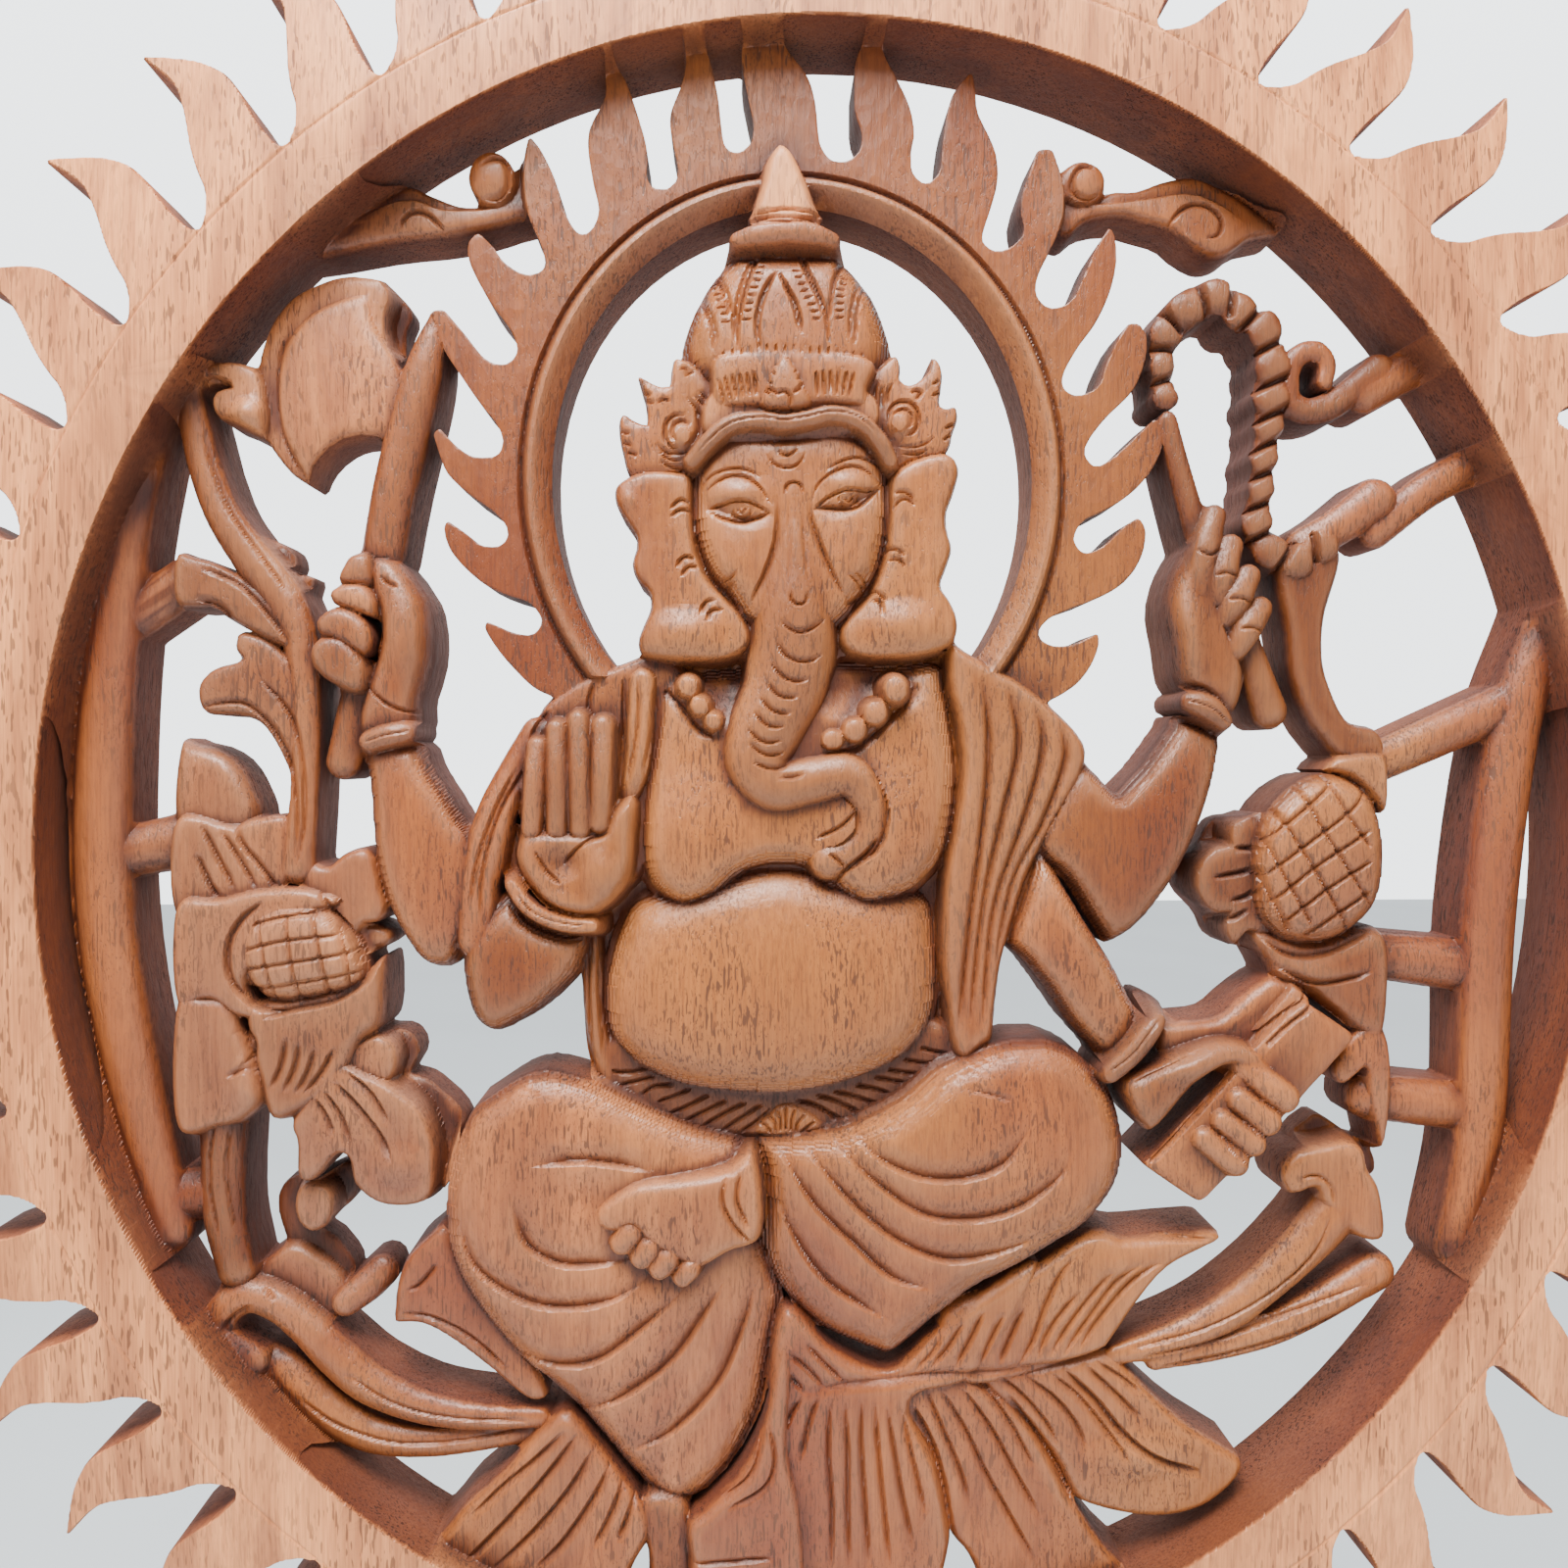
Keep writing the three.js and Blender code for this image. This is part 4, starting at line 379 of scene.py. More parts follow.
# Leaves and cone flower on the left
LEAVES_LEFT = {
    "curlL": (20, 2, 5, (
        (190, 392), (205, 378), (225, 369), (250, 371), (268, 384), (275, 430), (268, 446), (240, 434),
        (222, 426), (216, 412), (221, 400), (236, 394), (215, 392), (205, 402), (196, 415),
    )),
    "knotL": (12, 1.5, 3, (
        (252, 548), (275, 550), (297, 560), (303, 575), (300, 585), (318, 588), (319, 598), (308, 612),
        (270, 590),
    )),
    "leafL1": (20, 2, 4, (
        (180, 566), (200, 568), (222, 575), (247, 590), (272, 611), (292, 635), (306, 668), (290, 660),
        (258, 645), (235, 633), (215, 621), (180, 616),
    )),
    "leafL2": (19, 2, 4, (
        (240, 655), (244, 645), (262, 647), (285, 660), (305, 690), (310, 740), (297, 800), (292, 782),
        (276, 751), (256, 733), (210, 728), (202, 712), (204, 696), (218, 682), (240, 676),
        (248, 673, 1), (240, 664),
    )),
    "petalL1": (17, 4, 6, (
        (180, 756), (200, 758), (222, 764), (241, 777), (256, 800), (266, 836), (240, 880), (180, 880),
    )),
    "petalL2": (19, 2, 4, (
        (180, 836), (238, 842), (256, 836), (293, 833), (298, 870), (295, 900), (280, 915), (240, 920),
        (180, 935),
    )),
    "coneL": (25, 6, 7, (
        (234, 975), (240, 945), (256, 925), (290, 913), (325, 918), (350, 935), (370, 962), (378, 998),
        (366, 1014), (330, 1022), (290, 1030), (264, 1024), (244, 1005),
    )),
    "collarL": (22, 2, 4, (
        (180, 925), (225, 917), (262, 908), (310, 906), (350, 922), (300, 940), (250, 1000),
        (268, 1038), (240, 1036), (215, 1020), (180, 1022),
    )),
    "knobL1": (19, 2, 4, (
        (310, 905), (312, 888), (322, 880), (336, 884), (350, 872), (372, 865), (384, 878), (390, 905),
        (396, 925), (388, 940), (372, 944), (362, 960), (345, 945), (330, 925),
    )),
    "knobL2": (16, 2, 4, (
        (362, 950), (380, 942), (397, 948), (402, 958), (392, 967), (370, 972), (358, 965),
    )),
    "calyxL": (22, 4, 7, (
        (252, 1030), (290, 1020), (340, 1010), (372, 995), (391, 976), (395, 1010), (391, 1045),
        (372, 1062), (362, 1085), (345, 1110), (310, 1136), (278, 1142), (264, 1100),
    )),
    "blockL": (22, 3, 5, (
        (180, 1022), (215, 1016), (235, 1022), (248, 1050), (262, 1092), (270, 1120), (256, 1140),
        (230, 1150), (180, 1150),
    )),
    "leafL3": (22, 2, 5, (
        (345, 1085), (375, 1094), (403, 1108), (430, 1130), (443, 1160), (446, 1195), (440, 1222),
        (415, 1231), (385, 1227), (362, 1208), (356, 1182), (345, 1178), (332, 1195), (318, 1206),
        (304, 1200), (303, 1165), (298, 1145), (318, 1115),
    )),
    "leafL3Back": (12, 1, 1, (
        (380, 1100), (425, 1098), (450, 1112), (474, 1140), (470, 1180), (450, 1215), (420, 1225),
        (380, 1180),
    )),
    "knobL3": (20, 2, 5, (
        (366, 1062), (385, 1054), (402, 1062), (408, 1080), (403, 1098), (392, 1104), (368, 1096),
        (355, 1082),
    )),
    "knobL3Back": (12, 1, 1, (
        (385, 1056), (405, 1050), (420, 1055), (428, 1070), (424, 1085), (410, 1100), (385, 1090),
    )),
    "ballL": (18, 2, 4, (
        (300, 1228), (306, 1210), (320, 1204), (336, 1210), (343, 1228), (337, 1248), (320, 1258),
        (305, 1248),
    )),
    "ballLBack": (10, 1, 1, (
        (283, 1235), (285, 1215), (300, 1200), (330, 1196), (358, 1186), (366, 1208), (360, 1225),
        (330, 1250), (345, 1265), (362, 1290), (355, 1310), (300, 1330), (270, 1300), (292, 1272),
        (288, 1255),
    )),
    "moundL": (14, 2, 4, (
        (225, 1300), (262, 1290), (300, 1268), (340, 1290), (360, 1320), (340, 1345), (290, 1350),
        (240, 1330),
    )),
    "voluteL": (17, 2, 4, (
        (300, 262), (345, 224), (395, 197), (418, 187), (440, 197), (470, 208), (500, 206), (522, 190),
        (530, 160), (545, 170), (545, 215), (520, 227), (490, 236), (450, 243), (400, 248),
    )),
}
# Limbs, fingers, cuffs, stems and bands: u, v, width in picture units, height in mm
LIMBS = {
    "handleTop": (
        (444, 324, 14, 18), (436, 350, 30, 20), (426, 385, 42, 21), (412, 440, 46, 21),
        (398, 500, 46, 21), (388, 560, 46, 20),
    ),
    "handleLow": (
        (368, 690, 38, 20), (358, 730, 38, 20), (347, 778, 36, 20),
    ),
    "axeCuff": (
        (374, 757, 20, 25), (388, 752, 22, 26), (401, 749, 22, 26), (413, 747, 20, 25),
    ),
    "sleeve": (
        (545, 745, 26, 22), (525, 785, 34, 23), (504, 830, 40, 24), (492, 875, 42, 24),
        (484, 920, 40, 24), (486, 960, 44, 24),
    ),
    "palmWeb": (
        (526, 850, 20, 17), (527, 880, 26, 17), (532, 905, 20, 17),
    ),
    "cuffL": (
        (521, 904, 14, 27), (535, 924, 16, 28), (556, 938, 16, 28), (580, 945, 16, 27),
        (604, 946, 14, 26),
    ),
    "fingerL1": (
        (547, 762, 20, 26), (544, 800, 21, 28), (541, 846, 20, 27),
    ),
    "fingerL2": (
        (567, 744, 20, 26), (567, 790, 22, 28), (567, 846, 21, 27),
    ),
    "fingerL3": (
        (589, 735, 21, 26), (590, 790, 22, 28), (591, 846, 21, 27),
    ),
    "fingerL4": (
        (614, 741, 23, 26), (613, 790, 22, 28), (611, 840, 22, 27),
    ),
    "strap": (
        (655, 695, 26, 23), (653, 740, 26, 24), (650, 780, 24, 24), (642, 812, 20, 22),
    ),
    "sashL": (
        (603, 950, 20, 17), (604, 1000, 20, 18), (608, 1050, 20, 18), (622, 1100, 24, 18),
    ),
    "trunk": (
        (811, 502, 24, 25), (810, 540, 38, 27.5), (812, 580, 62, 28.5), (811, 620, 86, 29.5),
        (810, 660, 93, 29.5), (803, 700, 91, 29.5), (785, 740, 84, 30), (773, 775, 74, 30),
        (792, 802, 54, 30), (830, 797, 48, 29.5), (868, 793, 44, 29), (890, 825, 34, 28),
        (886, 855, 34, 27.5), (866, 873, 34, 27), (846, 880, 38, 27),
    ),
    "crownRing1": (
        (752, 243, 16, 25), (775, 236, 24, 28), (801, 232, 26, 29), (827, 235, 24, 28),
        (850, 243, 16, 25),
    ),
    "crownRing2": (
        (770, 224, 12, 24), (801, 217, 16, 27), (834, 223, 12, 24),
    ),
    "headBand": (
        (706, 470, 16, 26), (724, 448, 17, 28), (746, 431, 17, 29), (775, 427, 17, 29.5),
        (800, 430, 17, 29.5), (826, 426, 17, 29.5), (852, 421, 17, 29), (880, 430, 17, 28.5),
        (899, 450, 17, 27.5), (909, 470, 15, 26),
    ),
    "cuffR": (
        (1217, 716, 22, 24), (1228, 719, 26, 25), (1240, 725, 26, 25), (1251, 736, 20, 24),
    ),
    "ropeF1": (
        (1243, 525, 24, 23), (1234, 560, 28, 25), (1228, 600, 26, 24),
    ),
    "ropeF2": (
        (1260, 556, 26, 24), (1252, 585, 28, 25.5), (1245, 608, 22, 24),
    ),
    "ropeF3": (
        (1278, 587, 26, 24), (1266, 610, 30, 25.5), (1254, 628, 24, 24),
    ),
    "ropeF4": (
        (1290, 620, 26, 23), (1278, 640, 30, 25), (1266, 660, 24, 24),
    ),
    "stickLow": (
        (1276, 650, 24, 20), (1288, 690, 34, 20), (1300, 725, 40, 19),
    ),
    "rodTop": (
        (1194, 428, 20, 20), (1204, 470, 24, 20), (1222, 535, 28, 20), (1232, 570, 28, 20),
    ),
    "branchR": (
        (1335, 555, 38, 18), (1368, 537, 40, 19), (1410, 508, 48, 19),
    ),
    "curlR": (
        (1300, 405, 24, 19), (1318, 410, 30, 19), (1338, 418, 28, 19), (1362, 412, 30, 19),
        (1385, 395, 30, 18), (1412, 375, 36, 18),
    ),
    "curlR2": (
        (1318, 405, 24, 19), (1318, 380, 24, 19), (1328, 361, 22, 19), (1346, 356, 22, 19),
        (1357, 370, 20, 19), (1354, 388, 18, 19),
    ),
    "cuffBook": (
        (1135, 1098, 20, 26), (1158, 1078, 22, 27), (1176, 1055, 22, 27), (1184, 1042, 16, 25),
    ),
    "bookF1": (
        (1272, 1090, 24, 26), (1300, 1112, 30, 28.5), (1316, 1124, 30, 28.5),
    ),
    "bookF2": (
        (1268, 1125, 24, 28), (1298, 1148, 30, 29),
    ),
    "bookF3": (
        (1250, 1146, 22, 28), (1283, 1170, 28, 29),
    ),
    "bookF4": (
        (1232, 1165, 24, 28), (1265, 1190, 30, 29),
    ),
    "stemR1": (
        (1140, 1385, 20, 20), (1200, 1373, 38, 20), (1250, 1350, 44, 20), (1300, 1312, 46, 20),
        (1345, 1270, 54, 20), (1385, 1225, 64, 20),
    ),
    "stemR2": (
        (1180, 1392, 20, 19), (1240, 1380, 28, 19), (1300, 1362, 36, 19), (1350, 1338, 38, 19),
        (1410, 1303, 42, 19),
    ),
    "stemL": (
        (188, 400, 28, 20), (196, 440, 32, 20), (206, 480, 34, 20), (222, 522, 36, 20),
        (248, 562, 40, 20), (282, 606, 42, 20), (302, 650, 36, 20), (309, 700, 30, 20),
        (309, 760, 30, 20), (307, 820, 30, 20), (300, 885, 36, 20),
    ),
    "stemL2": (
        (222, 1140, 52, 20), (222, 1200, 46, 20), (224, 1250, 44, 20), (236, 1300, 40, 20),
    ),
    "knobL4": (
        (350, 1334, 28, 17), (372, 1316, 34, 15), (388, 1300, 34, 13),
    ),
    "scrollL": (
        (250, 1395, 40, 20), (222, 1372, 38, 20), (222, 1345, 36, 20), (248, 1328, 34, 20),
        (280, 1338, 34, 20), (310, 1362, 38, 20), (340, 1392, 44, 20), (375, 1420, 44, 20),
        (430, 1442, 36, 20), (490, 1450, 28, 20), (550, 1450, 22, 20),
    ),
    "stemL3": (
        (255, 1385, 36, 15), (290, 1408, 44, 17), (330, 1445, 44, 18), (375, 1470, 40, 18),
        (430, 1477, 32, 18), (490, 1472, 26, 18), (560, 1460, 20, 18),
    ),
}
# The outline of the flames round the halo
HALO_FLAMES = (
    (762, 16, 1), (757, 60), (763, 97), (769, 127), (766, 146), (752, 156), (740, 149), (736, 128),
    (732, 95), (722, 55), (706, 31, 1), (693, 35, 1), (700, 58), (697, 82), (684, 118), (687, 146),
    (692, 176), (684, 191), (668, 192), (660, 180), (660, 152), (650, 115), (637, 80), (625, 67, 1),
    (618, 76), (618, 98), (603, 128), (600, 150), (605, 185), (611, 215), (603, 235), (590, 238),
    (576, 216), (567, 185), (553, 155), (540, 138, 1), (537, 150), (534, 188), (540, 222), (553, 252),
    (555, 274), (536, 280), (515, 268), (503, 252), (488, 237, 1), (478, 248), (480, 270), (500, 308),
    (520, 335), (528, 358), (515, 372), (495, 366), (475, 342), (453, 316, 1), (440, 317, 1),
    (447, 340), (455, 360), (468, 380), (490, 412), (505, 430), (513, 448), (509, 463), (497, 467),
    (480, 465), (462, 452), (448, 436, 1), (442, 443, 1), (450, 468), (458, 485), (480, 505),
    (505, 523), (517, 538), (517, 550), (507, 558), (490, 556), (475, 544), (456, 531, 1), (453, 540),
    (459, 560), (475, 580), (497, 598), (520, 608), (540, 615), (552, 630), (551, 640), (542, 648),
    (525, 646), (508, 639), (496, 634, 1), (495, 642), (508, 663), (525, 683), (545, 702),
    (566, 712, 1), (640, 760, 1), (690, 850, 1), (870, 850, 1), (985, 760, 1), (1072, 715, 1),
    (1085, 708), (1100, 697), (1113, 680), (1121, 660), (1121, 646, 1), (1100, 656), (1080, 660),
    (1065, 655), (1060, 645), (1070, 632), (1090, 622), (1115, 613), (1140, 600), (1157, 583),
    (1167, 562), (1169, 540), (1162, 528, 1), (1148, 537), (1132, 553), (1118, 562), (1105, 564),
    (1096, 550), (1105, 532), (1125, 522), (1150, 507), (1170, 487), (1184, 462), (1186, 440),
    (1179, 427, 1), (1165, 440), (1150, 455), (1132, 470), (1117, 476), (1107, 463), (1112, 448),
    (1130, 425), (1155, 400), (1168, 370), (1170, 345), (1163, 330, 1), (1152, 330, 1), (1142, 345),
    (1130, 370), (1122, 393), (1108, 402), (1095, 403), (1085, 395), (1086, 380), (1100, 355),
    (1118, 330), (1132, 300), (1139, 270), (1138, 243), (1133, 231, 1), (1118, 255), (1105, 285),
    (1095, 305), (1080, 314), (1066, 312), (1057, 298), (1060, 280), (1072, 255), (1084, 225),
    (1086, 200), (1082, 175), (1074, 152, 1), (1059, 153, 1), (1050, 178), (1043, 200), (1042, 215),
    (1045, 238), (1030, 253), (1015, 256), (1003, 247), (1004, 235), (1012, 210), (1018, 185),
    (1017, 160), (1010, 140), (998, 115), (995, 90), (992, 72, 1), (975, 92), (968, 110), (963, 140),
    (960, 172), (952, 184), (942, 187), (931, 175), (930, 155), (933, 135), (928, 108), (915, 80),
    (902, 55), (900, 35), (893, 26, 1), (880, 45), (873, 65), (872, 90), (873, 115), (880, 138),
    (876, 156), (862, 165), (848, 163), (838, 150), (835, 135), (832, 105), (825, 80), (812, 62),
    (800, 45), (790, 16, 1),
)
ROPE_BEADS = (
    (1191, 405, 14, 12, 20),
    (1188, 373, 13, 14, 20),
    (1193, 338, 18, 17, 20.5),
    (1216, 312, 22, 16, 21),
    (1245, 300, 20, 19, 21),
    (1268, 316, 19, 20, 21),
    (1294, 335, 18, 22, 21),
    (1302, 372, 19, 20, 21),
    (1300, 405, 20, 17, 21),
    (1298, 434, 16, 17, 20.5),
    (1293, 467, 15, 17, 20.5),
    (1290, 499, 14, 17, 20.5),
    (1286, 534, 17, 20, 20.5),
    (1300, 562, 20, 18, 20),
    (1328, 571, 19, 18, 20),
    (1352, 556, 18, 17, 20),
)
SCROLL_EYES = (
    (500, 178, 23, 26, 19),
    (1107, 183, 23, 21, 19),
)

# Forms that swell over their whole: an oval that reaches past the outline, as u, v, half width, half
# height, and the mm it raises the middle by
BULGES = {
    "belly": (790, 1040, 245, 190, 9.0),
    "chest": (806, 880, 270, 240, 4.5),
    "head": (805, 560, 125, 160, 3.0),
    "crownDome": (803, 345, 130, 130, 4.0),
    "legL": (545, 1240, 250, 330, 6.0),
    "legR": (985, 1210, 250, 220, 6.0),
    "foot": (690, 1235, 110, 80, 3.0),
    "axeArm": (410, 850, 100, 210, 3.5),
    "foreArmL": (520, 1000, 110, 150, 4.0),
    "armRope": (1160, 850, 170, 190, 3.5),
    "armBook": (1100, 960, 120, 170, 3.5),
    "coneL": (305, 970, 95, 75, 3.5),
    "coneR": (1345, 880, 95, 115, 4.0),
    "bladeFace": (335, 390, 90, 130, 2.5),
    "petalL1": (205, 810, 80, 70, 3.0),
    "voluteL": (430, 215, 130, 60, 2.5),
    "voluteR": (1190, 215, 140, 60, 2.5),
}

# Soft swellings, or hollows where negative: the forms they may touch, then ovals as u, v, half
# width, half height and mm raised
SWELLINGS = (
    (("chest",), (
        (700, 862, 70, 92, 3.2), (905, 858, 76, 96, 3.2), (748, 694, 60, 52, -6.5), (886, 690, 76, 54, -6.5),
    )),
    (("head",), (
        (750, 572, 36, 46, 0.8), (870, 567, 36, 46, 0.8), (755, 499, 31, 17, 1.4), (866, 489, 31, 17, 1.4),
        (756, 521, 20, 8, 1.0), (865, 510, 20, 8, 1.0), (803, 455, 80, 30, 0.6),
    )),
    (("earL",), ((697, 645, 50, 34, 2.6), (672, 535, 24, 60, -0.5), (640, 505, 12, 14, 0.8))),
    (("earR",), ((925, 638, 54, 36, 2.6), (945, 530, 22, 60, -0.5))),
    (("wingL",), ((694, 440, 22, 22, 1.8),)),
    (("wingR",), ((921, 424, 22, 22, 1.8),)),
    (("legL",), ((662, 1296, 84, 52, -2.0), (600, 1225, 40, 30, -1.0))),
    (("palm",), ((572, 882, 30, 24, -1.8), (612, 893, 26, 34, 1.8), (560, 925, 40, 20, 1.2))),
    (("axeHand",), ((405, 640, 34, 66, 2.2),)),
    (("ropeHand",), ((1215, 650, 34, 70, 2.5),)),
    (("handBook",), ((1220, 1090, 70, 26, 2.0),)),
    (("petalUp", "petalLow", "drapeLow"), ((1175, 1505, 70, 34, 1.6), (1150, 1300, 40, 24, 0.8))),
    (("petalUp",), ((1140, 1236, 45, 20, -5.0), (1200, 1240, 40, 16, -5.0))),
    (("leafL3",), ((400, 1200, 36, 30, 1.6),)),
    (("voluteL",), ((428, 232, 24, 15, 2.6), (470, 222, 40, 12, -1.0))),
    (("voluteR",), ((1222, 228, 22, 16, 2.6), (1150, 208, 40, 12, -1.0))),
    (("curlL",), ((238, 412, 24, 22, 3.0),)),
    (("blockL",), ((245, 1115, 40, 40, 1.6),)),
    (("cupR",), ((1350, 1000, 60, 26, 1.6),)),
)
ROSETTE_EYES = ((697, 444, 7, 8, 25.2), (918, 430, 8, 9, 25.2))
NECK_BEADS = (
    (702, 700, 11, 11, 27), (714, 720, 10, 10, 27.2), (728, 736, 9, 9, 27), (915, 703, 13, 14, 29),
    (894, 727, 13, 13, 28), (873, 745, 12, 12, 27.5), (850, 755, 11, 10, 27),
)

# Toes: stations as u, v, width and height
TOE_LIMBS = {
    "toe1": ((642, 1263, 26, 29.8), (634, 1272, 25, 29.4)),
    "toe2": ((661, 1278, 25, 29.8), (654, 1287, 24, 29.4)),
    "toe3": ((680, 1289, 25, 29.8), (673, 1298, 24, 29.2)),
    "toe4": ((703, 1300, 22, 29.4), (696, 1307, 20, 28.8)),
}

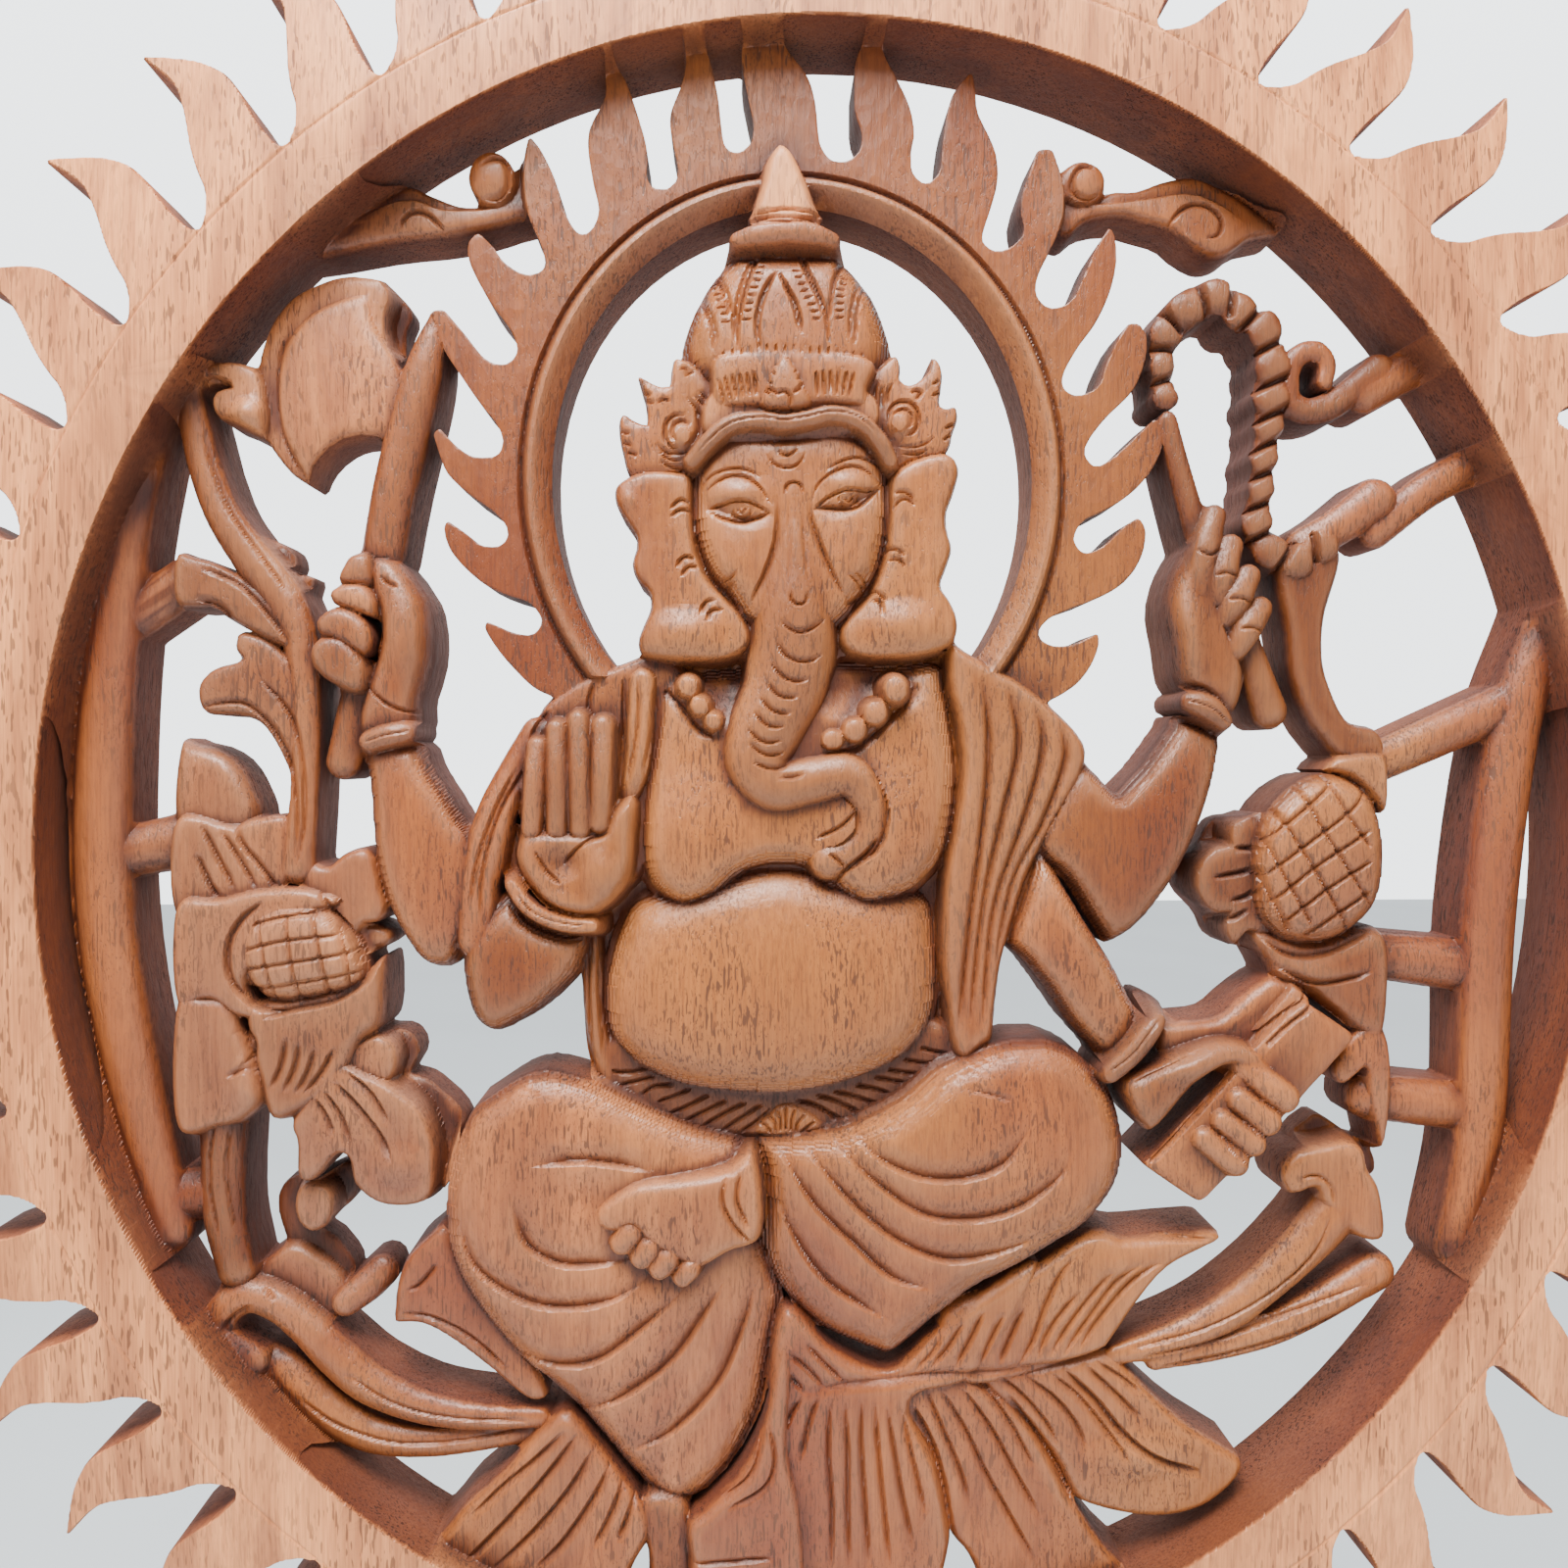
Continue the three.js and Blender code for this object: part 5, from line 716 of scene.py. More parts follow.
# Cuts: the forms they may touch, width to the left and right of the way they run, depth, share of
# the length over which an end fades, and the lines as points of the view
CUTS = {
    "neckLine": (("chest",), 1.0, 3.0, 1.9, 0.1, (
        ((664, 690), (680, 705), (697, 722), (712, 742), (730, 752)),
        ((842, 768), (868, 765), (890, 750), (912, 727), (935, 700)),
    )),
    "eyeSockets": (("head",), 4.5, 4.5, 1.9, 0.35, (
        ((714, 512), (735, 520), (760, 528), (786, 526)),
        ((832, 520), (855, 518), (880, 508), (900, 498)),
    )),
    "brows": (("head",), 0.9, 0.9, 1.4, 0.3, (
        ((714, 502), (722, 489), (735, 481), (750, 478), (764, 480), (778, 488)),
        ((717, 506), (730, 493), (745, 486), (760, 487), (773, 495), (781, 505), (789, 517)),
        ((842, 480), (858, 471), (874, 467), (890, 472), (903, 485)),
        ((829, 514), (832, 500), (841, 488), (857, 479), (872, 476), (886, 482), (899, 495)),
    )),
    "lids": (("head",), 0.8, 1.0, 1.8, 0.2, (
        ((720, 521), (735, 516), (750, 511), (765, 512), (778, 519), (788, 525)),
        ((724, 523), (740, 530), (757, 533), (772, 529), (786, 524)),
        ((830, 521), (843, 509), (858, 501), (872, 499), (885, 501), (897, 499)),
        ((832, 519), (848, 518), (862, 520), (876, 517), (888, 507), (897, 499)),
    )),
    "irises": (("head",), 0.7, 0.7, 1.3, 0.1, (
        ((747, 518), (748, 526), (757, 529), (766, 525), (767, 517)),
        ((752, 519), (757, 524), (762, 518)),
        ((856, 507), (858, 515), (866, 517), (875, 512), (875, 504)),
        ((861, 508), (866, 512), (871, 506)),
    )),
    "foreheadMark": (("head",), 0.8, 1.0, 1.5, 0.3, (
        ((783, 462), (789, 472), (802, 477), (815, 473), (822, 461)),
        ((794, 459), (803, 465), (814, 458)),
    )),
    "noseTop": (("head", "trunk"), 0.9, 0.9, 1.6, 0.2, (
        ((801, 504), (803, 495), (810, 492), (817, 495), (820, 504)),
        ((806, 603), (808, 613), (816, 617), (823, 613), (825, 602)),
    )),
    "noseSides": (("head", "trunk"), 2.6, 1.0, 1.8, 0.3, (
        ((793, 505), (793, 530), (790, 555), (782, 580), (772, 602), (764, 622)),
    )),
    "noseSidesRight": (("head", "trunk"), 1.0, 2.6, 1.8, 0.3, (
        ((826, 505), (829, 530), (838, 556), (848, 580), (858, 600), (866, 612)),
    )),
    "noseRidge": (("head", "trunk"), 1.2, 1.2, 0.7, 0.3, (
        ((804, 508), (806, 540), (806, 575), (803, 603)),
        ((819, 508), (820, 540), (823, 575), (828, 603)),
    )),
    "trunkRings": (("trunk",), 2.2, 0.7, 1.7, 0.25, (
        ((797, 633), (805, 642), (818, 646), (831, 641), (842, 632)),
        ((791, 652), (799, 667), (813, 675), (828, 675), (839, 668)),
        ((787, 677), (797, 690), (811, 696), (825, 694)),
        ((782, 697), (792, 709), (804, 713), (815, 711)),
        ((776, 712), (785, 724), (797, 729), (808, 728)),
        ((769, 726), (778, 738), (790, 743), (801, 741)),
        ((763, 744), (773, 755), (785, 759), (798, 756)),
        ((763, 758), (774, 768), (787, 772), (801, 768)),
        ((768, 778), (780, 784), (793, 786), (806, 781)),
        ((796, 795), (808, 795), (820, 791)),
    )),
    "trunkTip": (("trunk", "chest"), 1.6, 0.8, 2.1, 0.2, (
        ((833, 856), (848, 850), (862, 842), (874, 828)),
        ((850, 902), (866, 886), (884, 872), (896, 856)),
        ((846, 872), (856, 880), (862, 885)),
    )),
    "cheekMarks": (("head",), 1.3, 0.7, 1.5, 0.3, (
        ((734, 594), (741, 593), (748, 588), (752, 581)),
        ((742, 608), (744, 599), (750, 594)),
        ((864, 585), (872, 591), (879, 600), (884, 610)),
        ((873, 584), (880, 590), (885, 598)),
        ((862, 618), (872, 613), (882, 607)),
    )),
    "earMarks": (("earL", "earR"), 1.8, 0.6, 1.7, 0.25, (
        ((704, 515), (697, 509), (689, 512), (684, 519)),
        ((706, 524), (698, 519), (690, 521), (684, 527)),
        ((710, 572), (702, 567), (694, 570), (690, 579)),
        ((713, 580), (706, 577), (699, 580), (695, 588)),
        ((731, 612), (723, 612), (717, 617), (714, 627)),
        ((738, 622), (730, 621), (723, 625), (721, 634)),
        ((912, 505), (919, 502), (927, 504), (933, 510)),
        ((912, 522), (918, 512), (926, 510), (934, 517)),
        ((902, 567), (908, 562), (916, 562), (924, 568)),
        ((906, 574), (913, 571), (919, 573), (924, 579)),
        ((883, 614), (888, 607), (896, 606), (905, 614)),
        ((888, 614), (894, 613), (899, 617), (900, 628)),
    )),
    "browBand": (("headBand",), 0.8, 0.8, 0.8, 0.1, (
        ((712, 462), (726, 446), (746, 431), (775, 425), (800, 428), (826, 424), (852, 419), (878, 426), (900, 448)),
    )),
    "crownPetals": (("crownDome",), 0.9, 1.1, 1.8, 0.2, (
        ((710, 297), (719, 313), (725, 332), (728, 352), (728, 362)),
        ((715, 300), (725, 318), (730, 336), (732, 352)),
        ((729, 273), (738, 288), (744, 306), (748, 324), (748, 338)),
        ((729, 282), (736, 294), (741, 310), (744, 326)),
        ((783, 254), (775, 262), (767, 278), (760, 300), (755, 325), (753, 345), (755, 358)),
        ((774, 259), (766, 269), (757, 290), (752, 312), (750, 335), (750, 350)),
        ((793, 276), (786, 289), (779, 306), (775, 325), (774, 343), (777, 358)),
        ((789, 280), (781, 294), (775, 310), (772, 327), (772, 345)),
        ((793, 276), (803, 292), (812, 308), (817, 325), (819, 342)),
        ((799, 290), (808, 306), (813, 322), (816, 337)),
        ((810, 252), (818, 262), (827, 280), (836, 299), (842, 316), (845, 335), (846, 350)),
        ((816, 266), (826, 286), (835, 305), (840, 322)),
        ((866, 260), (858, 272), (852, 290), (848, 308), (847, 326)),
        ((861, 266), (853, 282), (848, 300)),
        ((882, 283), (876, 293), (871, 309), (868, 326), (867, 346)),
        ((886, 286), (879, 302), (875, 322), (872, 352)),
    )),
    "crownRings": (("crownRing1", "crownRing2", "finial"), 1.0, 1.0, 1.3, 0.05, (
        ((748, 237), (775, 229), (801, 226), (828, 228), (855, 238)),
        ((764, 222), (780, 216), (801, 213), (822, 215), (839, 222)),
    )),
    "bandCurl": (("crownBand", "crownLeaf"), 1.4, 0.8, 1.7, 0.25, (
        ((792, 404), (798, 399), (805, 402), (807, 410), (803, 417)),
        ((783, 396), (788, 398), (793, 402)),
        ((810, 401), (815, 397), (820, 396)),
    )),
    "wingSpirals": (("wingL", "wingR"), 0.8, 1.4, 1.7, 0.2, (
        ((700, 424), (688, 424), (680, 433), (679, 446), (686, 456), (698, 458)),
        ((704, 434), (696, 430), (688, 434), (686, 444), (690, 450)),
        ((710, 418), (713, 430), (712, 443), (706, 454)),
        ((906, 432), (908, 418), (916, 410), (928, 410), (936, 418), (938, 430), (933, 441), (922, 445)),
        ((911, 428), (914, 421), (922, 417), (930, 422), (931, 431), (926, 437)),
        ((935, 408), (940, 400), (934, 399), (930, 402)),
    )),
    "wingVeins": (("wingL", "wingR"), 1.5, 0.7, 1.4, 0.3, (
        ((700, 405), (708, 414), (716, 428), (719, 440)),
        ((706, 402), (716, 412), (724, 425), (726, 436)),
        ((712, 398), (722, 408), (730, 420)),
        ((668, 452), (680, 462), (695, 463), (704, 459)),
        ((672, 461), (683, 469), (696, 470)),
        ((672, 470), (684, 477), (695, 478)),
        ((893, 412), (893, 400), (897, 388)),
        ((900, 416), (900, 402), (903, 393)),
        ((906, 412), (907, 400), (912, 391)),
        ((916, 455), (930, 457), (945, 453), (954, 446)),
        ((920, 463), (935, 464), (948, 459)),
    )),
    "wingTicks": (("wingL", "wingR"), 1.5, 0.6, 1.6, 0.3, (
        ((655, 402), (661, 403), (665, 405)),
        ((658, 411), (663, 411), (667, 413)),
        ((671, 412), (677, 408), (684, 410)),
        ((633, 442), (638, 442), (643, 444)),
        ((634, 453), (639, 453), (644, 456)),
        ((640, 463), (645, 463), (650, 466)),
        ((694, 377), (699, 376), (702, 379)),
        ((701, 385), (703, 381), (708, 381)),
        ((959, 388), (955, 389), (952, 392)),
        ((960, 400), (955, 401), (951, 404)),
        ((974, 432), (969, 434), (964, 437)),
        ((972, 443), (967, 445), (962, 449)),
    )),
    "belt": (("belt", "beltFan"), 1.6, 0.6, 1.8, 0.15, (
        ((622, 1094), (640, 1096), (660, 1092)),
        ((634, 1108), (652, 1104), (668, 1100)),
        ((655, 1118), (668, 1110), (688, 1108)),
        ((670, 1126), (688, 1120), (705, 1112)),
        ((683, 1138), (702, 1130), (724, 1118)),
        ((700, 1146), (722, 1134), (742, 1124)),
        ((718, 1150), (742, 1136), (762, 1126)),
        ((738, 1154), (760, 1140), (778, 1128)),
        ((756, 1156), (772, 1146), (790, 1134)),
        ((812, 1124), (830, 1128), (848, 1138), (862, 1150)),
        ((832, 1118), (852, 1124), (872, 1134), (886, 1146)),
        ((850, 1114), (872, 1120), (892, 1128), (905, 1136)),
        ((872, 1108), (892, 1112), (912, 1120)),
        ((892, 1100), (912, 1104), (934, 1112)),
        ((905, 1092), (925, 1096), (946, 1102)),
        ((922, 1082), (940, 1086), (962, 1090)),
        ((938, 1070), (952, 1074), (968, 1078)),
    )),
    "beltFan": (("belt", "beltFan"), 1.0, 1.0, 1.7, 0.15, (
        ((776, 1146), (784, 1152), (786, 1157)),
        ((784, 1138), (791, 1146), (792, 1156)),
        ((793, 1133), (797, 1145), (797, 1155)),
        ((802, 1130), (802, 1142), (802, 1154)),
        ((812, 1132), (808, 1144), (807, 1155)),
        ((822, 1138), (814, 1147), (812, 1156)),
        ((832, 1145), (822, 1152), (818, 1158)),
        ((770, 1158), (800, 1161), (845, 1154)),
    )),
    "legFolds": (("legL", "legR", "foot", "drapeMid"), 7.0, 1.2, 2.3, 0.25, (
        ((550, 1190), (600, 1187), (660, 1195)),
        ((523, 1230), (535, 1270), (565, 1290), (600, 1293), (635, 1287)),
        ((468, 1252), (485, 1295), (530, 1328), (575, 1337), (620, 1330), (655, 1310)),
        ((530, 1380), (570, 1395), (610, 1390), (650, 1362), (690, 1325)),
        ((600, 1437), (640, 1425), (690, 1385), (735, 1315)),
        ((645, 1480), (690, 1460), (735, 1410), (760, 1350), (770, 1310)),
        ((870, 1155), (900, 1185), (940, 1203), (985, 1205), (1025, 1190), (1050, 1155)),
        ((850, 1160), (890, 1205), (940, 1240), (990, 1247), (1040, 1235), (1080, 1205), (1093, 1180)),
        ((820, 1165), (870, 1230), (920, 1270), (970, 1288), (1020, 1280), (1060, 1263)),
        ((795, 1170), (830, 1230), (870, 1270), (910, 1305), (950, 1317)),
        ((795, 1230), (820, 1280), (850, 1315), (900, 1345)),
    )),
    "lotusUpper": (("petalUp", "petalMidL", "drapeMid", "drapeLow"), 3.0, 0.9, 1.6, 0.25, (
        ((905, 1402), (925, 1393), (944, 1372), (957, 1350)),
        ((935, 1400), (953, 1382), (963, 1362)),
        ((950, 1398), (968, 1378), (985, 1350)),
        ((975, 1398), (991, 1370), (1006, 1338)),
        ((1000, 1395), (1012, 1370), (1026, 1342)),
        ((1020, 1395), (1031, 1370), (1046, 1336)),
        ((1038, 1398), (1055, 1370), (1068, 1335), (1085, 1300), (1102, 1280)),
        ((1060, 1385), (1075, 1355), (1102, 1320)),
        ((1072, 1385), (1095, 1350), (1125, 1312), (1138, 1298)),
        ((1085, 1385), (1110, 1350), (1140, 1310), (1166, 1291)),
        ((1100, 1380), (1125, 1345), (1155, 1310), (1188, 1287)),
        ((822, 1372), (840, 1393), (862, 1412)),
        ((804, 1382), (824, 1400), (842, 1418)),
        ((790, 1398), (808, 1410), (822, 1424)),
    )),
    "lotusRib": (("petalUp", "petalLow", "petalMidL", "drapeMid", "drapeLow"), 3.5, 3.5, 1.6, 0.2, (
        ((822, 1424), (860, 1414), (905, 1410), (950, 1404), (1010, 1402), (1060, 1396), (1130, 1384)),
    )),
    "lotusLower": (("petalUp", "petalLow", "petalMidL", "drapeMid", "drapeLow"), 0.9, 2.6, 1.6, 0.2, (
        ((818, 1428), (806, 1450), (795, 1478)),
        ((836, 1426), (826, 1456), (818, 1490)),
        ((849, 1426), (846, 1480), (850, 1540), (849, 1600)),
        ((862, 1428), (866, 1480), (866, 1540), (868, 1600)),
        ((879, 1428), (880, 1480), (884, 1540), (888, 1600)),
        ((893, 1430), (897, 1480), (903, 1540), (909, 1600)),
        ((905, 1434), (913, 1480), (922, 1530), (933, 1580)),
        ((920, 1438), (931, 1485), (945, 1545)),
        ((945, 1418), (962, 1458), (980, 1500), (990, 1535)),
        ((958, 1416), (985, 1458), (1005, 1500), (1030, 1545), (1058, 1595)),
        ((980, 1414), (1010, 1455), (1035, 1500), (1062, 1548)),
        ((1000, 1412), (1030, 1450), (1056, 1498)),
        ((1020, 1405), (1045, 1425), (1068, 1452), (1081, 1476)),
        ((1045, 1403), (1075, 1425), (1098, 1452), (1110, 1480)),
        ((1070, 1400), (1100, 1424), (1130, 1460), (1156, 1496)),
        ((1105, 1390), (1135, 1418), (1166, 1449)),
        ((1120, 1390), (1148, 1408), (1166, 1424)),
    )),
    "lotusDeep": (("petalUp", "petalLow", "petalMidL", "drapeMid", "drapeLow"), 1.2, 3.2, 2.6, 0.15, (
        ((932, 1436), (950, 1470), (962, 1512), (970, 1562)),
        ((1030, 1425), (1060, 1465), (1082, 1505), (1096, 1538)),
        ((1085, 1396), (1118, 1428), (1150, 1466), (1186, 1491), (1226, 1503)),
        ((777, 1430), (790, 1478), (806, 1530), (812, 1600)),
    )),
    "lotusFold": (("petalUp",), 1.4, 1.4, 1.8, 0.15, (
        ((1108, 1264), (1140, 1262), (1180, 1264), (1236, 1260)),
        ((1130, 1240), (1142, 1250), (1150, 1262)),
        ((1160, 1240), (1172, 1250), (1180, 1262)),
        ((1190, 1238), (1200, 1248), (1206, 1260)),
    )),
    "lotusLeft": (("petalLeft", "drapeLeft"), 2.8, 1.0, 1.9, 0.2, (
        ((575, 1462), (545, 1490), (515, 1515), (480, 1548)),
        ((590, 1462), (560, 1502), (520, 1548), (470, 1600)),
        ((606, 1478), (580, 1520), (545, 1562), (505, 1600)),
        ((622, 1496), (604, 1530), (575, 1572), (548, 1600)),
        ((636, 1512), (624, 1542), (606, 1578)),
        ((650, 1522), (640, 1548), (630, 1572)),
    )),
    "petalLeftSide": (("petalMidL", "petalLeft"), 1.4, 1.4, 1.4, 0.2, (
        ((415, 1318), (430, 1310), (446, 1290)),
        ((408, 1340), (440, 1345), (480, 1365), (520, 1400)),
    )),
    "pendant": (("pendant", "drapeMid"), 2.2, 0.9, 1.5, 0.2, (
        ((770, 1425), (776, 1470), (764, 1508), (728, 1536)),
        ((783, 1448), (790, 1490), (780, 1518), (742, 1541)),
        ((750, 1480), (748, 1505), (722, 1530)),
        ((705, 1593), (745, 1596), (790, 1592)),
    )),
    "foot": (("foot", "legR", "legL"), 1.0, 1.8, 1.7, 0.2, (
        ((742, 1200), (737, 1225), (748, 1250), (770, 1268)),
        ((757, 1196), (752, 1225), (764, 1254)),
    )),
    "knees": (("legR", "legL"), 2.4, 0.9, 1.0, 0.3, (
        ((985, 1112), (1010, 1118), (1036, 1126)),
    )),
    "handFolds": (("axeHand", "axeArm"), 1.6, 0.8, 1.6, 0.25, (
        ((388, 588), (396, 596), (406, 600)),
        ((383, 608), (386, 640), (378, 675), (366, 705)),
        ((372, 700), (400, 722), (436, 730)),
    )),
    "palmLines": (("palm",), 1.4, 0.8, 1.6, 0.25, (
        ((532, 850), (560, 846), (590, 847), (612, 853)),
        ((622, 850), (604, 856), (586, 868), (574, 884)),
        ((545, 868), (556, 888), (572, 904)),
        ((536, 902), (556, 920), (584, 934), (612, 936)),
    )),
    "cuffLines": (("cuffL", "axeCuff", "cuffR", "cuffBook"), 0.8, 0.8, 0.8, 0.1, (
        ((524, 910), (542, 930), (566, 941), (600, 946)),
        ((372, 757), (390, 751), (404, 748), (418, 746)),
        ((1210, 714), (1226, 718), (1241, 725), (1256, 740)),
        ((1132, 1095), (1156, 1077), (1174, 1054), (1184, 1040)),
    )),
    "sleeveFolds": (("sleeve", "fan", "strap", "foreArmL"), 2.2, 1.0, 1.6, 0.2, (
        ((545, 768), (518, 812), (500, 856), (490, 905), (492, 945)),
        ((528, 782), (505, 826), (486, 880), (478, 930)),
        ((560, 725), (545, 745), (538, 770)),
        ((606, 696), (600, 716), (600, 735)),
        ((636, 692), (636, 740), (628, 790)),
        ((652, 690), (650, 745), (640, 800)),
        ((668, 700), (664, 750), (656, 790)),
    )),
    "sashFolds": (("sashL", "backPlate"), 1.0, 1.0, 1.4, 0.15, (
        ((600, 950), (601, 1010), (605, 1080)),
        ((609, 950), (611, 1010), (616, 1085)),
    )),
    "ropeHandFolds": (("ropeHand", "armRope"), 1.6, 0.8, 1.4, 0.25, (
        ((1236, 540), (1228, 558), (1216, 574)),
        ((1236, 590), (1246, 625), (1262, 662), (1276, 694)),
        ((1228, 575), (1232, 590), (1240, 602)),
        ((1200, 696), (1232, 704), (1256, 730)),
    )),
    "book": (("book", "bookEdge"), 1.2, 1.2, 2.2, 0.06, (
        ((1163, 1174), (1200, 1136), (1246, 1088)),
        ((1174, 1187), (1215, 1144), (1263, 1092)),
        ((1284, 1058), (1308, 1036), (1330, 1010)),
        ((1293, 1068), (1316, 1046), (1339, 1020)),
    )),
    "bookHand": (("handBook", "armBook"), 1.0, 2.2, 1.3, 0.25, (
        ((1182, 1072), (1228, 1054), (1268, 1060), (1300, 1086), (1320, 1106)),
        ((1150, 1108), (1195, 1085), (1235, 1066)),
    )),
    "fingerLines": (("bookF1", "bookF2", "bookF3", "bookF4"), 0.8, 0.8, 0.7, 0.2, (
        ((1262, 1140), (1285, 1160), (1300, 1172)),
        ((1245, 1162), (1262, 1180), (1275, 1190)),
    )),
    "coneGridR": (("coneR",), 1.7, 0.9, 1.7, 0.08, (
        ((1345, 790), (1375, 830), (1400, 866)),
        ((1318, 800), (1350, 845), (1385, 900), (1400, 926)),
        ((1296, 822), (1330, 868), (1364, 925), (1374, 952)),
        ((1284, 850), (1312, 895), (1340, 946)),
        ((1282, 885), (1300, 920), (1315, 950)),
        ((1285, 862), (1320, 838), (1360, 800)),
        ((1287, 895), (1330, 866), (1375, 832), (1392, 808)),
        ((1295, 922), (1345, 885), (1400, 848)),
        ((1308, 942), (1355, 908), (1400, 880)),
        ((1330, 955), (1370, 930), (1400, 910)),
    )),
    "coneLeafSlits": (("coneLeaf", "coneR"), 1.6, 1.6, 2.2, 0.35, (
        ((1238, 896), (1264, 891), (1292, 888)),
        ((1260, 866), (1277, 866), (1292, 870)),
        ((1256, 920), (1274, 914), (1292, 906)),
        ((1250, 940), (1262, 936), (1274, 928)),
    )),
    "cupLines": (("cupR", "coneStemR", "coneR"), 2.6, 1.0, 2.0, 0.2, (
        ((1284, 955), (1318, 976), (1360, 972), (1400, 946)),
        ((1300, 985), (1340, 1004), (1380, 1000), (1400, 992)),
    )),
    "coneRowsL": (("coneL",), 0.9, 1.6, 1.5, 0.08, (
        ((238, 949), (285, 937), (332, 930)),
        ((235, 974), (285, 961), (346, 954)),
        ((238, 991), (300, 982), (368, 970)),
        ((244, 1012), (300, 1004), (372, 990)),
        ((264, 940), (270, 985), (286, 1022)),
        ((292, 932), (297, 985), (308, 1024)),
        ((320, 930), (328, 985), (337, 1018)),
        ((345, 942), (353, 982), (358, 1006)),
    )),
    "coneRimL": (("coneL", "calyxL", "blockL", "collarL", "petalL2"), 2.4, 1.2, 2.4, 0.15, (
        ((268, 920), (246, 937), (232, 962), (231, 990), (243, 1014), (268, 1030), (292, 1034)),
        ((326, 912), (342, 932), (358, 958), (368, 985)),
        ((268, 1040), (300, 1031), (342, 1022), (376, 1000)),
    )),
    "collarSlits": (("collarL",), 1.4, 1.4, 1.8, 0.3, (
        ((338, 884), (334, 900), (326, 914)),
        ((352, 902), (347, 920), (338, 930)),
        ((368, 936), (356, 946), (348, 948)),
        ((318, 890), (326, 898), (330, 910)),
    )),
    "calyxVeins": (("calyxL", "blockL"), 2.6, 1.0, 1.8, 0.25, (
        ((290, 1060), (286, 1085), (275, 1112)),
        ((304, 1064), (299, 1090), (288, 1115)),
        ((320, 1070), (313, 1093), (300, 1117)),
        ((340, 1070), (326, 1095), (310, 1116)),
        ((248, 1046), (258, 1062), (258, 1078), (242, 1090)),
        ((232, 1100), (250, 1093), (262, 1096)),
    )),
    "leafVeinsL": (("leafL3",), 1.0, 3.0, 1.9, 0.2, (
        ((340, 1104), (362, 1126), (386, 1156), (400, 1188)),
        ((352, 1094), (378, 1116), (396, 1146)),
        ((330, 1114), (348, 1140), (357, 1166)),
        ((321, 1122), (333, 1140), (340, 1158)),
    )),
    "leafArcsL": (("leafL1", "leafL2", "stemL"), 2.4, 1.0, 1.7, 0.2, (
        ((203, 726), (240, 717), (265, 730), (286, 757), (298, 790), (302, 840), (298, 885)),
        ((262, 690), (285, 715), (300, 742), (308, 785), (309, 840), (302, 885)),
        ((200, 612), (222, 618), (240, 634)),
        ((205, 580), (245, 598), (275, 630), (296, 660)),
    )),
    "petalVeinsL": (("petalL1", "petalL2"), 2.6, 1.0, 1.9, 0.2, (
        ((204, 842), (222, 878), (238, 908)),
        ((224, 848), (243, 878), (260, 906)),
        ((199, 872), (212, 902), (222, 920)),
        ((242, 842), (246, 862), (264, 884), (282, 914)),
    )),
    "stemLinesL": (("stemL", "stemL2", "curlL"), 1.6, 0.8, 1.1, 0.15, (
        ((206, 440), (216, 480), (236, 525), (264, 565), (296, 610)),
        ((215, 1145), (212, 1200), (222, 1262)),
        ((233, 1145), (230, 1200), (240, 1262)),
    )),
    "scrollLinesL": (("scrollL", "stemL3", "moundL", "ballL"), 1.8, 0.8, 1.2, 0.15, (
        ((268, 1318), (273, 1322), (278, 1329)),
        ((350, 1402), (400, 1433), (460, 1448), (540, 1451)),
        ((300, 1424), (345, 1456), (405, 1474), (480, 1470), (545, 1458)),
        ((255, 1332), (235, 1345), (228, 1360), (238, 1378)),
    )),
    "scrollLinesR": (("stemR1", "stemR2", "scrollR", "petalBookR"), 1.6, 0.8, 1.2, 0.15, (
        ((1150, 1380), (1230, 1357), (1298, 1320), (1342, 1280), (1362, 1236)),
        ((1165, 1386), (1240, 1369), (1310, 1336), (1372, 1284)),
        ((1185, 1396), (1250, 1383), (1330, 1359), (1400, 1325)),
        ((1328, 1204), (1344, 1201), (1358, 1210), (1362, 1228)),
    )),
    "volutes": (("voluteL", "voluteR", "scrollEyes"), 1.0, 1.6, 2.2, 0.25, (
        ((408, 234), (411, 223), (422, 215), (436, 218), (447, 228), (456, 238)),
        ((490, 168), (504, 161), (515, 165), (519, 178), (517, 192), (506, 202), (492, 203)),
        ((1190, 234), (1203, 216), (1218, 208), (1233, 210), (1244, 219), (1248, 230), (1243, 240), (1230, 243)),
        ((1118, 173), (1105, 170), (1097, 179), (1095, 190), (1101, 198), (1113, 201), (1123, 197)),
    )),
    "voluteRidges": (("voluteL", "voluteR"), 6.0, 0.8, 1.4, 0.3, (
        ((1105, 206), (1140, 206), (1175, 201), (1215, 196), (1245, 207), (1270, 226)),
        ((365, 222), (400, 205), (425, 203), (450, 212), (490, 213), (515, 205)),
    )),
    "curlSlit": (("curlL",), 1.0, 2.0, 3.0, 0.3, (
        ((214, 402), (220, 394), (229, 391), (238, 396)),
    )),
    "bladeLine": (("bladeFace", "bladeRim"), 1.2, 0.8, 0.9, 0.1, (
        ((294, 340), (286, 362), (283, 390), (284, 418), (290, 447), (307, 484)),
    )),
    "ropeGaps": (("rope", "ropeCord"), 1.9, 1.9, 3.4, 0.0, (
        ((1172, 392), (1202, 388)),
        ((1170, 355), (1202, 359)),
        ((1178, 322), (1206, 338)),
        ((1220, 288), (1233, 324)),
        ((1257, 284), (1257, 320)),
        ((1294, 308), (1266, 336)),
        ((1316, 346), (1278, 362)),
        ((1326, 378), (1280, 400)),
        ((1320, 412), (1280, 433)),
        ((1312, 444), (1272, 466)),
        ((1308, 476), (1266, 496)),
        ((1306, 506), (1262, 528)),
        ((1306, 536), (1270, 556)),
        ((1322, 550), (1302, 586)),
